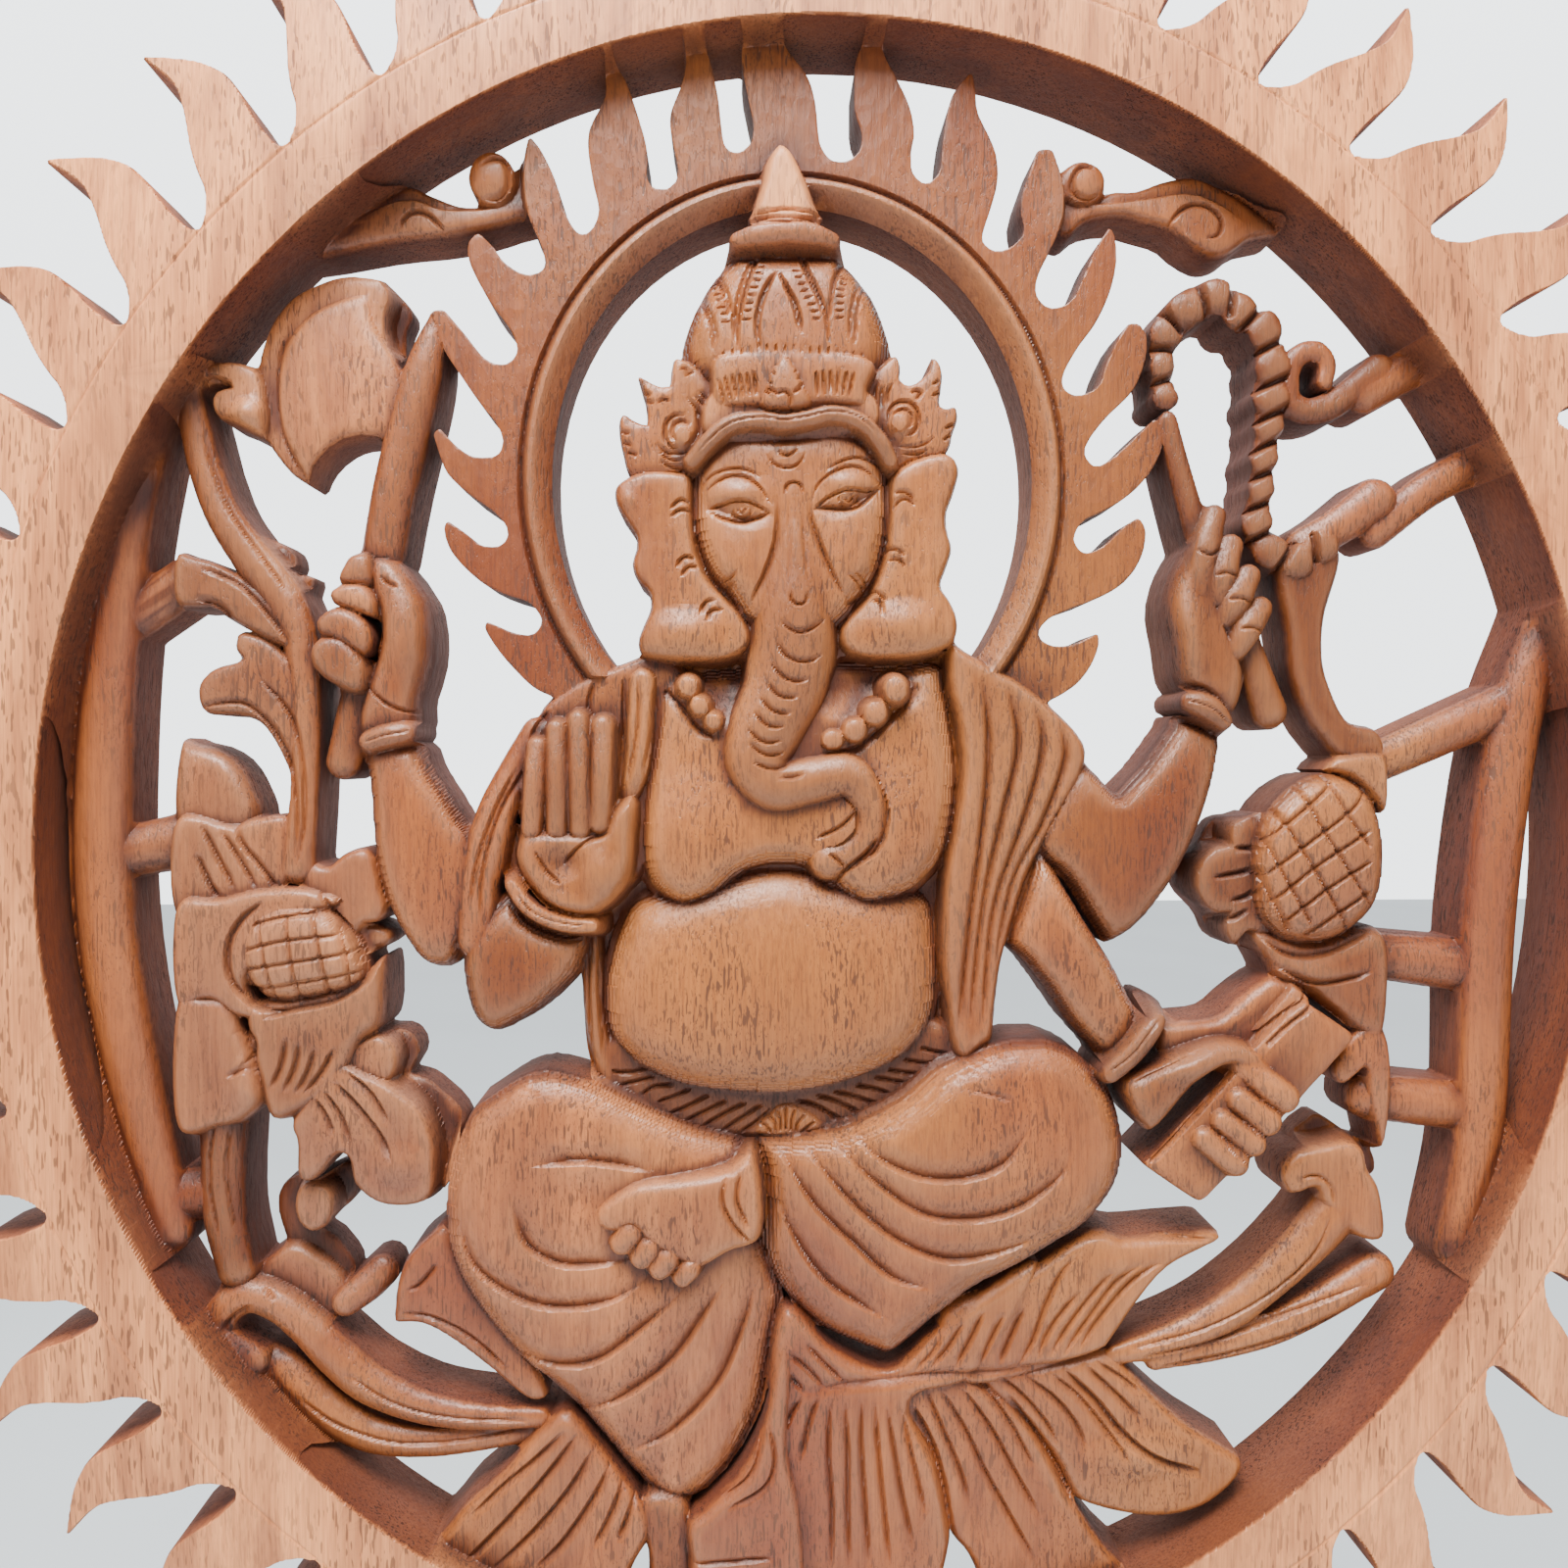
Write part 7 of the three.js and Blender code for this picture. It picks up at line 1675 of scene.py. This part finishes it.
def keep_measures(relief, mesh):
    """Numbers kept on the mesh for its finish: how far a place lies in a hollow, from the height less its own blur,
    for varnish stain with painted shade; or on a raised edge, for wear with painted highlight; the forms given
    painted shade; the paler forms, with painted highlight on some; and the greyer leaves."""
    inside = relief.within > 0
    height = np.where(inside, relief.height, 0)
    fine = soften(height, inside, 3) - height
    broad = soften(height, inside, 12) - height
    # Darker in cuts and broad hollows: varnish stain together with painted shade.
    cut = np.clip(fine / 0.5, 0, 1) * (1 - np.clip((fine - 1.6) / 1.2, 0, 1))
    hollow = cut * 0.8 + np.clip(broad / 6.0, 0, 1) * 0.35
    edge = np.clip(relief.within / 1.5, 0, 1)
    hollow = soften(np.clip(hollow, 0, 1) * edge, inside, 1)
    # Raised edges made lighter: wear together with a painted highlight.
    wear_and_highlight = soften(np.clip((-fine - 0.06) / 0.4, 0, 1) * edge, inside, 1)
    # Painted shade on forms that lie low, under the ring or in shade.
    painted_form_shade = shares_of(relief, SHADED_FORMS, 3)
    grey = shares_of(relief, ((1.0, LEAVES_LEFT),), 16)
    # Paler forms, with painted highlight on the finial and the legs.
    pale_share_and_highlight = shares_of(relief, PALER_AND_HIGHLIT, 3)
    places = np.empty(len(mesh.vertices) * 3, np.float32)
    mesh.vertices.foreach_get("co", places)
    places = places.reshape(-1, 3) / MM
    x, z = places[:, 0], places[:, 2] + HOLD_Z
    out = outward_from(x, z, (0, 0), OPENING)
    measures = {
        "hollow": sample(relief, hollow, x, z), "wear_and_highlight": sample(relief, wear_and_highlight, x, z),
        "painted_form_shade": sample(relief, painted_form_shade, x, z),
        "weathered": sample(relief, grey, x, z),
        # The ring's face paler, its tone brightened as painted highlight; the finial and the legs paler as painted
        # highlight.
        "pale": np.maximum(np.clip(out / 0.8, 0, 1), sample(relief, pale_share_and_highlight, x, z)),
    }
    front = places[:, 1] < -BACK_DEPTH
    for name, values in measures.items():
        values = np.where(front, values, 0)
        layer = mesh.attributes.new(name, "FLOAT", "POINT")
        layer.data.foreach_set("value", values.astype(np.float32))


def sample(relief, values, x, z):
    """Values of a grid at places, weighted between the four nearest grid points."""
    column = np.clip((x - relief.x[0]) / STEP, 0, relief.x.size - 1.001)
    row = np.clip((z - relief.z[0]) / STEP, 0, relief.z.size - 1.001)
    c, r = column.astype(int), row.astype(int)
    a, b = column - c, row - r
    low = values[r, c] * (1 - a) + values[r, c + 1] * a
    high = values[r + 1, c] * (1 - a) + values[r + 1, c + 1] * a
    return low * (1 - b) + high * b


def solid_from(relief):
    """Vertices in mm and triangles of the closed solid. The front is cut out of the grid square by
    square along the zero line of the distance, where a side's crossing is found by its share; the
    back is the same cut at height 0; and a wall joins them along every cut side."""
    inside = relief.within > 0
    rows, columns = inside.shape
    number = np.full((3, rows, columns), -1)
    places = []
    count = 0
    x, z = np.meshgrid(relief.x, relief.z)
    natural = relief.height - WALL_SLOPE * np.minimum(relief.within, 0)
    spots = np.stack((x, z, np.clip(natural, 1.0, PLANK)), axis=-1)
    number[0][inside] = np.arange(inside.sum())
    places.append(spots[inside])
    count += len(places[0])
    for kind, (a, b) in enumerate((
        ((slice(None), slice(0, -1)), (slice(None), slice(1, None))),
        ((slice(0, -1), slice(None)), (slice(1, None), slice(None))),
    ), start=1):
        crossed = inside[a] != inside[b]
        here, there = relief.within[a][crossed], relief.within[b][crossed]
        share = np.clip(here / (here - there), 0.08, 0.92)[:, None]
        cut = spots[a][crossed] * (1 - share) + spots[b][crossed] * share
        number[kind][a][crossed] = np.arange(count, count + len(cut))
        places.append(cut)
        count += len(cut)
    low, left = slice(0, -1), slice(0, -1)
    high, right = slice(1, None), slice(1, None)
    corner = (number[0][low, left], number[0][low, right], number[0][high, right], number[0][high, left])
    side = (number[1][low, left], number[2][low, right], number[1][high, left], number[2][low, left])
    case = sum((corner[k] >= 0) * (1 << k) for k in range(4))
    triangles = []
    edges = []
    for bits in range(1, 16):
        chosen = case == bits
        loop = []
        cuts = []
        for k in range(4):
            here, there = bits >> k & 1, bits >> (k + 1) % 4 & 1
            if here:
                loop.append(corner[k][chosen])
            if here != there:
                cuts.append((len(loop), here))
                loop.append(side[k][chosen])
        triangles += [np.column_stack((loop[0], loop[k], loop[k + 1])) for k in range(1, len(loop) - 1)]
        for place, leaving in cuts:
            if leaving:
                edges.append(np.column_stack((loop[place], loop[(place + 1) % len(loop)])))
    triangles = np.concatenate(triangles)
    edges = np.concatenate(edges)
    front = smooth_edge(np.concatenate(places), edges)
    back = front.copy()
    back[:, 2] = 0
    a, b = edges.T
    walls = np.concatenate((np.column_stack((b, a, a + count)), np.column_stack((b, a + count, b + count))))
    points = np.concatenate((front, back))
    faces = np.concatenate((triangles, triangles[:, ::-1] + count, walls))
    return np.column_stack((points[:, 0], -points[:, 2], points[:, 1] - HOLD_Z)) * MM, faces


def smooth_edge(points, edges):
    """The points with those along the cut line moved, pass by pass, to a quarter of each neighbour
    along the line plus half of their own place. Every such point starts one edge and ends another."""
    before = np.empty(len(points), int)
    after = np.empty(len(points), int)
    after[edges[:, 0]] = edges[:, 1]
    before[edges[:, 1]] = edges[:, 0]
    rim = edges[:, 0]
    for _ in range(EDGE_PASSES):
        moved = (points[before[rim]] + 2 * points[rim] + points[after[rim]]) / 4
        points[rim] = moved
    return points


def mesh_from(name, points, faces):
    """A mesh of triangles from whole arrays."""
    mesh = bpy.data.meshes.new(name)
    mesh.vertices.add(len(points))
    mesh.vertices.foreach_set("co", points.astype(np.float32).ravel())
    mesh.loops.add(faces.size)
    mesh.loops.foreach_set("vertex_index", faces.astype(np.int32).ravel())
    mesh.polygons.add(len(faces))
    mesh.polygons.foreach_set("loop_start", np.arange(0, faces.size, 3, dtype=np.int32))
    mesh.update(calc_edges=True)
    mesh.validate()
    return mesh


def shade(mesh):
    """Corner normals: at each corner, the sum of the area vectors of the faces round its vertex whose
    own normals lie within SHARP_ANGLE of this face's, so that flat stretches stay flat."""
    count = len(mesh.polygons)
    places = np.empty(len(mesh.vertices) * 3, np.float32)
    mesh.vertices.foreach_get("co", places)
    places = places.reshape(-1, 3).astype(float)
    corner = np.empty(count * 3, np.int32)
    mesh.loops.foreach_get("vertex_index", corner)
    a, b, c = (places[corner[k::3]] for k in range(3))
    area = np.repeat(np.cross(b - a, c - a), 3, axis=0)
    facing = area / np.maximum(np.linalg.norm(area, axis=1, keepdims=True), 1e-20)
    order = np.argsort(corner, kind="stable")
    size = np.bincount(corner, minlength=len(places))
    start = (np.cumsum(size) - size)[corner[order]]
    size = size[corner[order]]
    rank = np.arange(count * 3) - start
    total = np.zeros_like(area)
    for step in range(size.max()):
        other = order[start + (rank + step) % size]
        near = (facing[order] * facing[other]).sum(axis=1) > math.cos(math.radians(SHARP_ANGLE))
        total[order] += area[other] * (near & (step < size))[:, None]
    total /= np.maximum(np.linalg.norm(total, axis=1, keepdims=True), 1e-20)
    mesh.polygons.foreach_set("use_smooth", np.ones(count, bool))
    mesh.normals_split_custom_set(total.tolist())


def thinned(piece, triangles):
    """The piece with its flat stretches thinned out until it has about so many triangles."""
    thin = piece.modifiers.new("Thin", "DECIMATE")
    thin.ratio = min(1.0, triangles / len(piece.data.polygons))
    graph = bpy.context.evaluated_depsgraph_get()
    mesh = bpy.data.meshes.new_from_object(piece.evaluated_get(graph))
    piece.modifiers.clear()
    old = piece.data
    piece.data = mesh
    bpy.data.meshes.remove(old)
    mesh.name = piece.name


class Wire:
    """A socket's value in an expression: each operator adds a Math node to the socket's tree."""

    def __init__(self, nodes, socket):
        self.nodes = nodes
        self.socket = socket

    def calc(self, operation, *others):
        """A Math node of this value and others."""
        values = {k: other for k, other in enumerate((self, *others))}
        return self.nodes.add("ShaderNodeMath", {"operation": operation}, values)

    def __add__(self, other):
        return self.calc("ADD", other)

    def __sub__(self, other):
        return self.calc("SUBTRACT", other)

    def __mul__(self, other):
        return self.calc("MULTIPLY", other)

    def __pow__(self, other):
        return self.calc("POWER", other)

    def __rsub__(self, other):
        return self.nodes.add("ShaderNodeMath", {"operation": "SUBTRACT"}, {0: other, 1: self})

    __radd__ = __add__
    __rmul__ = __mul__

    def ramp(self, low, high, bottom=0.0, top=1.0):
        """Bottom below low, top above high, and an S curve between."""
        return self.nodes.add(
            "ShaderNodeMapRange", {"interpolation_type": "SMOOTHSTEP"},
            {"Value": self, "From Min": low, "From Max": high, "To Min": bottom, "To Max": top},
        )


class Nodes:
    """The nodes of one material or world."""

    def __init__(self, owner):
        self.owner = owner
        owner.use_nodes = True
        self.tree = owner.node_tree
        self.tree.nodes.clear()

    def add(self, kind, settings=None, inputs=None, output=0):
        """A node: its settings first, then its sockets by name or number, as values or links."""
        node = self.tree.nodes.new(kind)
        for key, value in (settings or {}).items():
            setattr(node, key, value)
        for key, value in (inputs or {}).items():
            if isinstance(value, Wire):
                self.tree.links.new(value.socket, node.inputs[key])
            else:
                node.inputs[key].default_value = value
        return Wire(self, node.outputs[output])

    def blend(self, share, first, second, mode="MIX"):
        """Two colours mixed by a share."""
        settings = {"data_type": "RGBA", "blend_type": mode}
        return self.add("ShaderNodeMix", settings, {0: share, 6: first, 7: second}, 2)

    def stretched(self, scale, turn=(0, 0, 0)):
        """Object coordinates, scaled along each axis after a turn."""
        place = self.add("ShaderNodeTexCoord", output=3)
        return self.add("ShaderNodeMapping", {}, {"Vector": place, "Rotation": turn, "Scale": scale})

    def noise(self, place, scale, detail=2.0, roughness=0.5, distortion=0.0):
        """A noise value at a place."""
        inputs = {
            "Vector": place, "Scale": scale, "Detail": detail, "Roughness": roughness,
            "Distortion": distortion,
        }
        return self.add("ShaderNodeTexNoise", {}, inputs)

    def measure(self, name):
        """A number kept on the mesh by name."""
        return self.add("ShaderNodeAttribute", {"attribute_name": name}, output=2)

    def finish(self, shader, inputs, kind="ShaderNodeOutputMaterial"):
        """The shader and the output."""
        shader = self.add(shader, {}, inputs)
        output = self.tree.nodes.new(kind)
        self.tree.links.new(shader.socket, output.inputs["Surface"])
        return self.owner


def linear(colour, alpha=1.0):
    """A colour property as four numbers."""
    return (*tuple(colour)[:3], alpha)


def wood_finish(wood):
    """Varnished hardwood. Long fibres and growth bands run up the panel, short dark pores lie along them, the ring's
    face is paler, partly as painted highlight; hollows hold darker varnish with painted shade; saw-cut walls and
    other steep sides are rough and darkened, with painted shade; raised edges are lighter, wear with painted
    highlight; and forms that lie low or in shade get painted shade."""
    nodes = Nodes(bpy.data.materials.new("wood"))
    hollow = nodes.measure("hollow")
    pale = nodes.measure("pale")
    grey = nodes.measure("weathered")
    wear_and_highlight = nodes.measure("wear_and_highlight")
    painted_form_shade = nodes.measure("painted_form_shade")
    fibres = nodes.noise(nodes.stretched((1, 1, 0.03)), 1300, 3, 0.65)
    bands = nodes.noise(nodes.stretched((1, 1, 0.14)), 85, 4, 0.6, 0.8)
    patches = nodes.noise(nodes.stretched((1, 1, 0.6), (0.0, 0.3, 0.0)), 17, 2, 0.5)
    clouds = nodes.noise(nodes.stretched((1, 1, 0.8), (0.4, 0.0, 0.7)), 9, 2, 0.5)
    pores = nodes.noise(nodes.stretched((1, 1, 0.15)), 1350, 1, 0.4).ramp(0.575, 0.655)
    spread = nodes.noise(nodes.stretched((1, 1, 0.4)), 45, 2, 0.5).ramp(0.35, 0.6, 0.25, 1.0)
    specks = nodes.noise(nodes.stretched((1, 1, 0.35)), 2300, 1, 0.4).ramp(0.6, 0.68) * spread
    specks = specks * (1.0 - pale)
    pores = (pores * spread).calc("MAXIMUM", specks * 0.8)
    marks = nodes.add("ShaderNodeTexVoronoi", {}, {
        "Vector": nodes.stretched((1, 1, 0.6), (0.0, 0.5, 0.0)), "Scale": 330.0,
    })
    facing = nodes.add("ShaderNodeTexCoord", output=1)
    facing = nodes.add("ShaderNodeSeparateXYZ", {}, {0: facing}, 1)
    # Steep sides turned away from the front: rough saw-cut wood together with painted shade.
    wall = (facing * -1.0).ramp(0.05, 0.45, 1.0, 0.0)
    colour = nodes.blend(bands.ramp(0.32, 0.66), linear(wood.dark), linear(wood.body))
    colour = nodes.blend(patches.ramp(0.4, 0.66) * 0.85, colour, linear(wood.red))
    colour = nodes.blend(clouds.ramp(0.5, 0.72) * 0.6, colour, linear(wood.honey))
    pale_colour = nodes.blend(bands.ramp(0.32, 0.68), linear(wood.pale_dark), linear(wood.pale))
    # Paler ring face and forms: partly their own tone, partly painted highlight.
    colour = nodes.blend(pale, colour, pale_colour)
    colour = nodes.blend(grey * 0.4, colour, linear(wood.weathered))
    # Painted shade: forms that lie low or in shade made darker and redder.
    colour = nodes.blend(painted_form_shade, colour, linear(wood.painted_form_shade))
    colour = nodes.blend(fibres.ramp(0.35, 0.68, 0.0, 0.5), colour, linear(wood.fibre), "MULTIPLY")
    colour = nodes.blend(pores * (0.78 - 0.15 * pale), colour, linear(wood.pore))
    # Cuts and hollows darkened: varnish stain together with painted shade.
    colour = nodes.blend(hollow.ramp(0.05, 0.9) * 0.95, colour, linear(wood.hollow), "MULTIPLY")
    # Raised edges lighter: wear together with a painted highlight.
    colour = nodes.blend(wear_and_highlight * 0.22, colour, linear(wood.wear_and_highlight))
    # Steep sides darkened: saw-cut wood together with painted shade.
    colour = nodes.blend(wall * 0.85, colour, linear(wood.sawn_and_shaded), "MULTIPLY")
    rough = wood.roughness + 0.2 * (fibres - 0.5) + 0.15 * pores + 0.4 * wall + 0.15 * hollow + 0.12 * pale
    relief = fibres * 0.3 - pores * 1.0
    tooled = {"Strength": 0.3, "Distance": 0.0006, "Height": marks * (1.0 - 0.9 * pale)}
    tooled = nodes.add("ShaderNodeBump", {}, tooled)
    bump = {"Strength": 0.4, "Distance": 0.0004, "Height": relief, "Normal": tooled}
    bump = nodes.add("ShaderNodeBump", {}, bump)
    return nodes.finish("ShaderNodeBsdfPrincipled", {
        "Base Color": colour, "Roughness": rough, "Normal": bump, "Coat Weight": 0.2 * (1.0 - wall) * (1.0 - painted_form_shade),
        "Coat Roughness": 0.35, "Specular IOR Level": 0.45,
    })


def floor_finish(colour):
    """A plain matt floor with the faintest mottling."""
    nodes = Nodes(bpy.data.materials.new("floor"))
    cloud = nodes.noise(nodes.stretched((1, 1, 1)), 3.0, 3, 0.5).ramp(0.3, 0.7, 0.96, 1.0)
    tone = nodes.add("ShaderNodeCombineColor", {}, {0: cloud, 1: cloud, 2: cloud})
    tone = nodes.blend(1.0, linear(colour), tone, "MULTIPLY")
    return nodes.finish("ShaderNodeBsdfPrincipled", {"Base Color": tone, "Roughness": 0.85})


def surround(stage):
    """A plain pale surround: brightest behind the panel and above it, dim in front of it, by the
    direction's share toward +Y and +Z."""
    nodes = Nodes(bpy.data.worlds.new("surround"))
    way = nodes.add("ShaderNodeTexCoord")
    behind = nodes.add("ShaderNodeSeparateXYZ", {}, {0: way}, 1).ramp(0.45, 0.72, stage.front, stage.behind)
    above = nodes.add("ShaderNodeSeparateXYZ", {}, {0: way}, 2).ramp(0.2, 0.9, 0.0, stage.above)
    return nodes.finish(
        "ShaderNodeBackground", {"Color": linear(stage.sky), "Strength": behind + above},
        "ShaderNodeOutputWorld",
    )


class PanelWood(bpy.types.PropertyGroup):
    """The finish of the wood."""
    body: bpy.props.FloatVectorProperty(
        name="Body", description="Main tone of the varnished wood", subtype="COLOR", size=3,
        default=(0.4, 0.11, 0.024), min=0, max=1)
    dark: bpy.props.FloatVectorProperty(
        name="Dark band", description="Darker growth bands", subtype="COLOR", size=3,
        default=(0.26, 0.068, 0.018), min=0, max=1)
    red: bpy.props.FloatVectorProperty(
        name="Red patch", description="Redder patches", subtype="COLOR", size=3,
        default=(0.235, 0.05, 0.014), min=0, max=1)
    honey: bpy.props.FloatVectorProperty(
        name="Honey patch", description="Lighter orange patches", subtype="COLOR", size=3,
        default=(0.48, 0.17, 0.036), min=0, max=1)
    # The ring face's tone, brightened as painted highlight, and the colour of the painted highlight on the finial
    # and the legs.
    pale: bpy.props.FloatVectorProperty(
        name="Pale", description="Main tone of the ring's face", subtype="COLOR", size=3,
        default=(1.0, 0.385, 0.135), min=0, max=1)
    pale_dark: bpy.props.FloatVectorProperty(
        name="Pale dark band", description="Darker bands of the ring's face", subtype="COLOR", size=3,
        default=(0.55, 0.19, 0.065), min=0, max=1)
    weathered: bpy.props.FloatVectorProperty(
        name="Weathered", description="Greyer leaves on the left", subtype="COLOR", size=3,
        default=(0.32, 0.14, 0.07), min=0, max=1)
    # Colour of the painted shade on forms that lie low or in shade.
    painted_form_shade: bpy.props.FloatVectorProperty(
        name="Amber", description="Tone of the darker forms", subtype="COLOR", size=3,
        default=(0.13, 0.028, 0.006), min=0, max=1)
    # Lighter raised edges: wear together with a painted highlight.
    wear_and_highlight: bpy.props.FloatVectorProperty(
        name="Worn edge", description="Lighter raised edges", subtype="COLOR", size=3,
        default=(0.6, 0.27, 0.12), min=0, max=1)
    fibre: bpy.props.FloatVectorProperty(
        name="Fibre", description="Shade between fibres", subtype="COLOR", size=3,
        default=(0.55, 0.42, 0.34), min=0, max=1)
    pore: bpy.props.FloatVectorProperty(
        name="Pore", description="Short dark pores", subtype="COLOR", size=3,
        default=(0.06, 0.018, 0.008), min=0, max=1)
    # Hollow colour: varnish stain in the hollows together with painted shade in the cuts.
    hollow: bpy.props.FloatVectorProperty(
        name="Hollow", description="Varnish gathered in the hollows", subtype="COLOR", size=3,
        default=(0.22, 0.11, 0.07), min=0, max=1)
    # Saw-cut walls and steep sides: their own tone together with painted shade.
    sawn_and_shaded: bpy.props.FloatVectorProperty(
        name="Sawn wall", description="Shade of the sawn walls", subtype="COLOR", size=3,
        default=(0.3, 0.18, 0.12), min=0, max=1)
    roughness: bpy.props.FloatProperty(
        name="Roughness", description="How matt the varnish is", subtype="FACTOR", default=0.42, min=0, max=1)


class PanelStage(bpy.types.PropertyGroup):
    """The stage around the panel."""
    floor_drop: bpy.props.FloatProperty(
        name="Floor drop", description="How far the floor is below the hold point", unit="LENGTH", default=0.78)
    floor_size: bpy.props.FloatProperty(
        name="Floor size", description="Side of the floor", unit="LENGTH", default=9.0)
    floor: bpy.props.FloatVectorProperty(
        name="Floor", description="Tone of the floor", subtype="COLOR", size=3,
        default=(0.74, 0.78, 0.8), min=0, max=1)
    sky: bpy.props.FloatVectorProperty(
        name="Surround", description="Tone of the surround", subtype="COLOR", size=3,
        default=(0.93, 0.97, 1.0), min=0, max=1)
    behind: bpy.props.FloatProperty(
        name="Behind", description="How bright the surround is behind the panel", default=3.2, min=0)
    front: bpy.props.FloatProperty(
        name="In front", description="How bright the surround is in front of the panel", default=0.22, min=0)
    above: bpy.props.FloatProperty(
        name="Above", description="How much brighter the surround is overhead", default=0.9, min=0)


class PANEL_OT_relief(bpy.types.Operator):
    """Carve the panel and give it its finish"""
    bl_idname = "panel.relief"
    bl_label = "Carved relief"

    def execute(self, context):
        relief = Relief()
        add_ring(relief)
        add_halo(relief)
        add_forms(relief)
        add_cuts(relief)
        points, faces = solid_from(relief)
        piece = bpy.data.objects.new("carved_relief", mesh_from("carved_relief", points, faces))
        context.collection.objects.link(piece)
        thinned(piece, TRIANGLES)
        keep_measures(relief, piece.data)
        shade(piece.data)
        piece.data.materials.append(wood_finish(context.scene.panel_wood))
        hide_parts("carved_panel")
        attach(piece, "root")
        return {"FINISHED"}


class PANEL_OT_stage(bpy.types.Operator):
    """Make the floor, the surround, the lights and the camera"""
    bl_idname = "panel.stage"
    bl_label = "Stage"

    def execute(self, context):
        stage = context.scene.panel_stage
        side = stage.floor_size / 2
        corners = [(-side, -side), (side, -side), (side, side), (-side, side)]
        mesh = bpy.data.meshes.new("floor")
        mesh.from_pydata([(x, y, -stage.floor_drop) for x, y in corners], [], [(0, 1, 2, 3)])
        floor = bpy.data.objects.new("floor", mesh)
        mesh.materials.append(floor_finish(stage.floor))
        context.collection.objects.link(floor)
        context.scene.world = surround(stage)
        for name, place, size, power, colour in LIGHTS:
            lamp = bpy.data.lights.new(name, "AREA")
            lamp.size = size
            lamp.energy = power
            lamp.color = colour
            light = bpy.data.objects.new(name, lamp)
            light.location = place
            light.rotation_euler = (Vector(LIGHT_AIM) - Vector(place)).to_track_quat("-Z", "Y").to_euler()
            context.collection.objects.link(light)
        lens = bpy.data.cameras.new("camera")
        lens.sensor_width = CAMERA_SENSOR
        lens.lens = CAMERA_LENS
        lens.clip_start = 0.02
        camera = bpy.data.objects.new("camera", lens)
        camera.location = CAMERA_PLACE
        aim = Vector(CAMERA_AIM) - Vector(CAMERA_PLACE)
        camera.rotation_euler = aim.to_track_quat("-Z", "Y").to_euler()
        context.collection.objects.link(camera)
        context.scene.camera = camera
        return {"FINISHED"}


class PANEL_PT_sidebar(bpy.types.Panel):
    """The panel's pieces and settings"""
    bl_idname = "PANEL_PT_sidebar"
    bl_label = "Carved wall panel"
    bl_space_type = "VIEW_3D"
    bl_region_type = "UI"
    bl_category = "Panel"

    def draw(self, context):
        for operator in (PANEL_OT_relief, PANEL_OT_stage):
            self.layout.operator(operator.bl_idname)
        for settings in (context.scene.panel_wood, context.scene.panel_stage):
            box = self.layout.box()
            for name in settings.__annotations__:
                box.prop(settings, name)


CLASSES = (PanelWood, PanelStage, PANEL_OT_relief, PANEL_OT_stage, PANEL_PT_sidebar)


def register():
    for each in CLASSES:
        bpy.utils.register_class(each)
    bpy.types.Scene.panel_wood = bpy.props.PointerProperty(type=PanelWood)
    bpy.types.Scene.panel_stage = bpy.props.PointerProperty(type=PanelStage)


def unregister():
    del bpy.types.Scene.panel_wood
    del bpy.types.Scene.panel_stage
    for each in reversed(CLASSES):
        bpy.utils.unregister_class(each)


def main():
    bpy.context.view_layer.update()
    register()
    bpy.ops.panel.stage()
    bpy.ops.panel.relief()


if __name__ == "__main__":
    main()
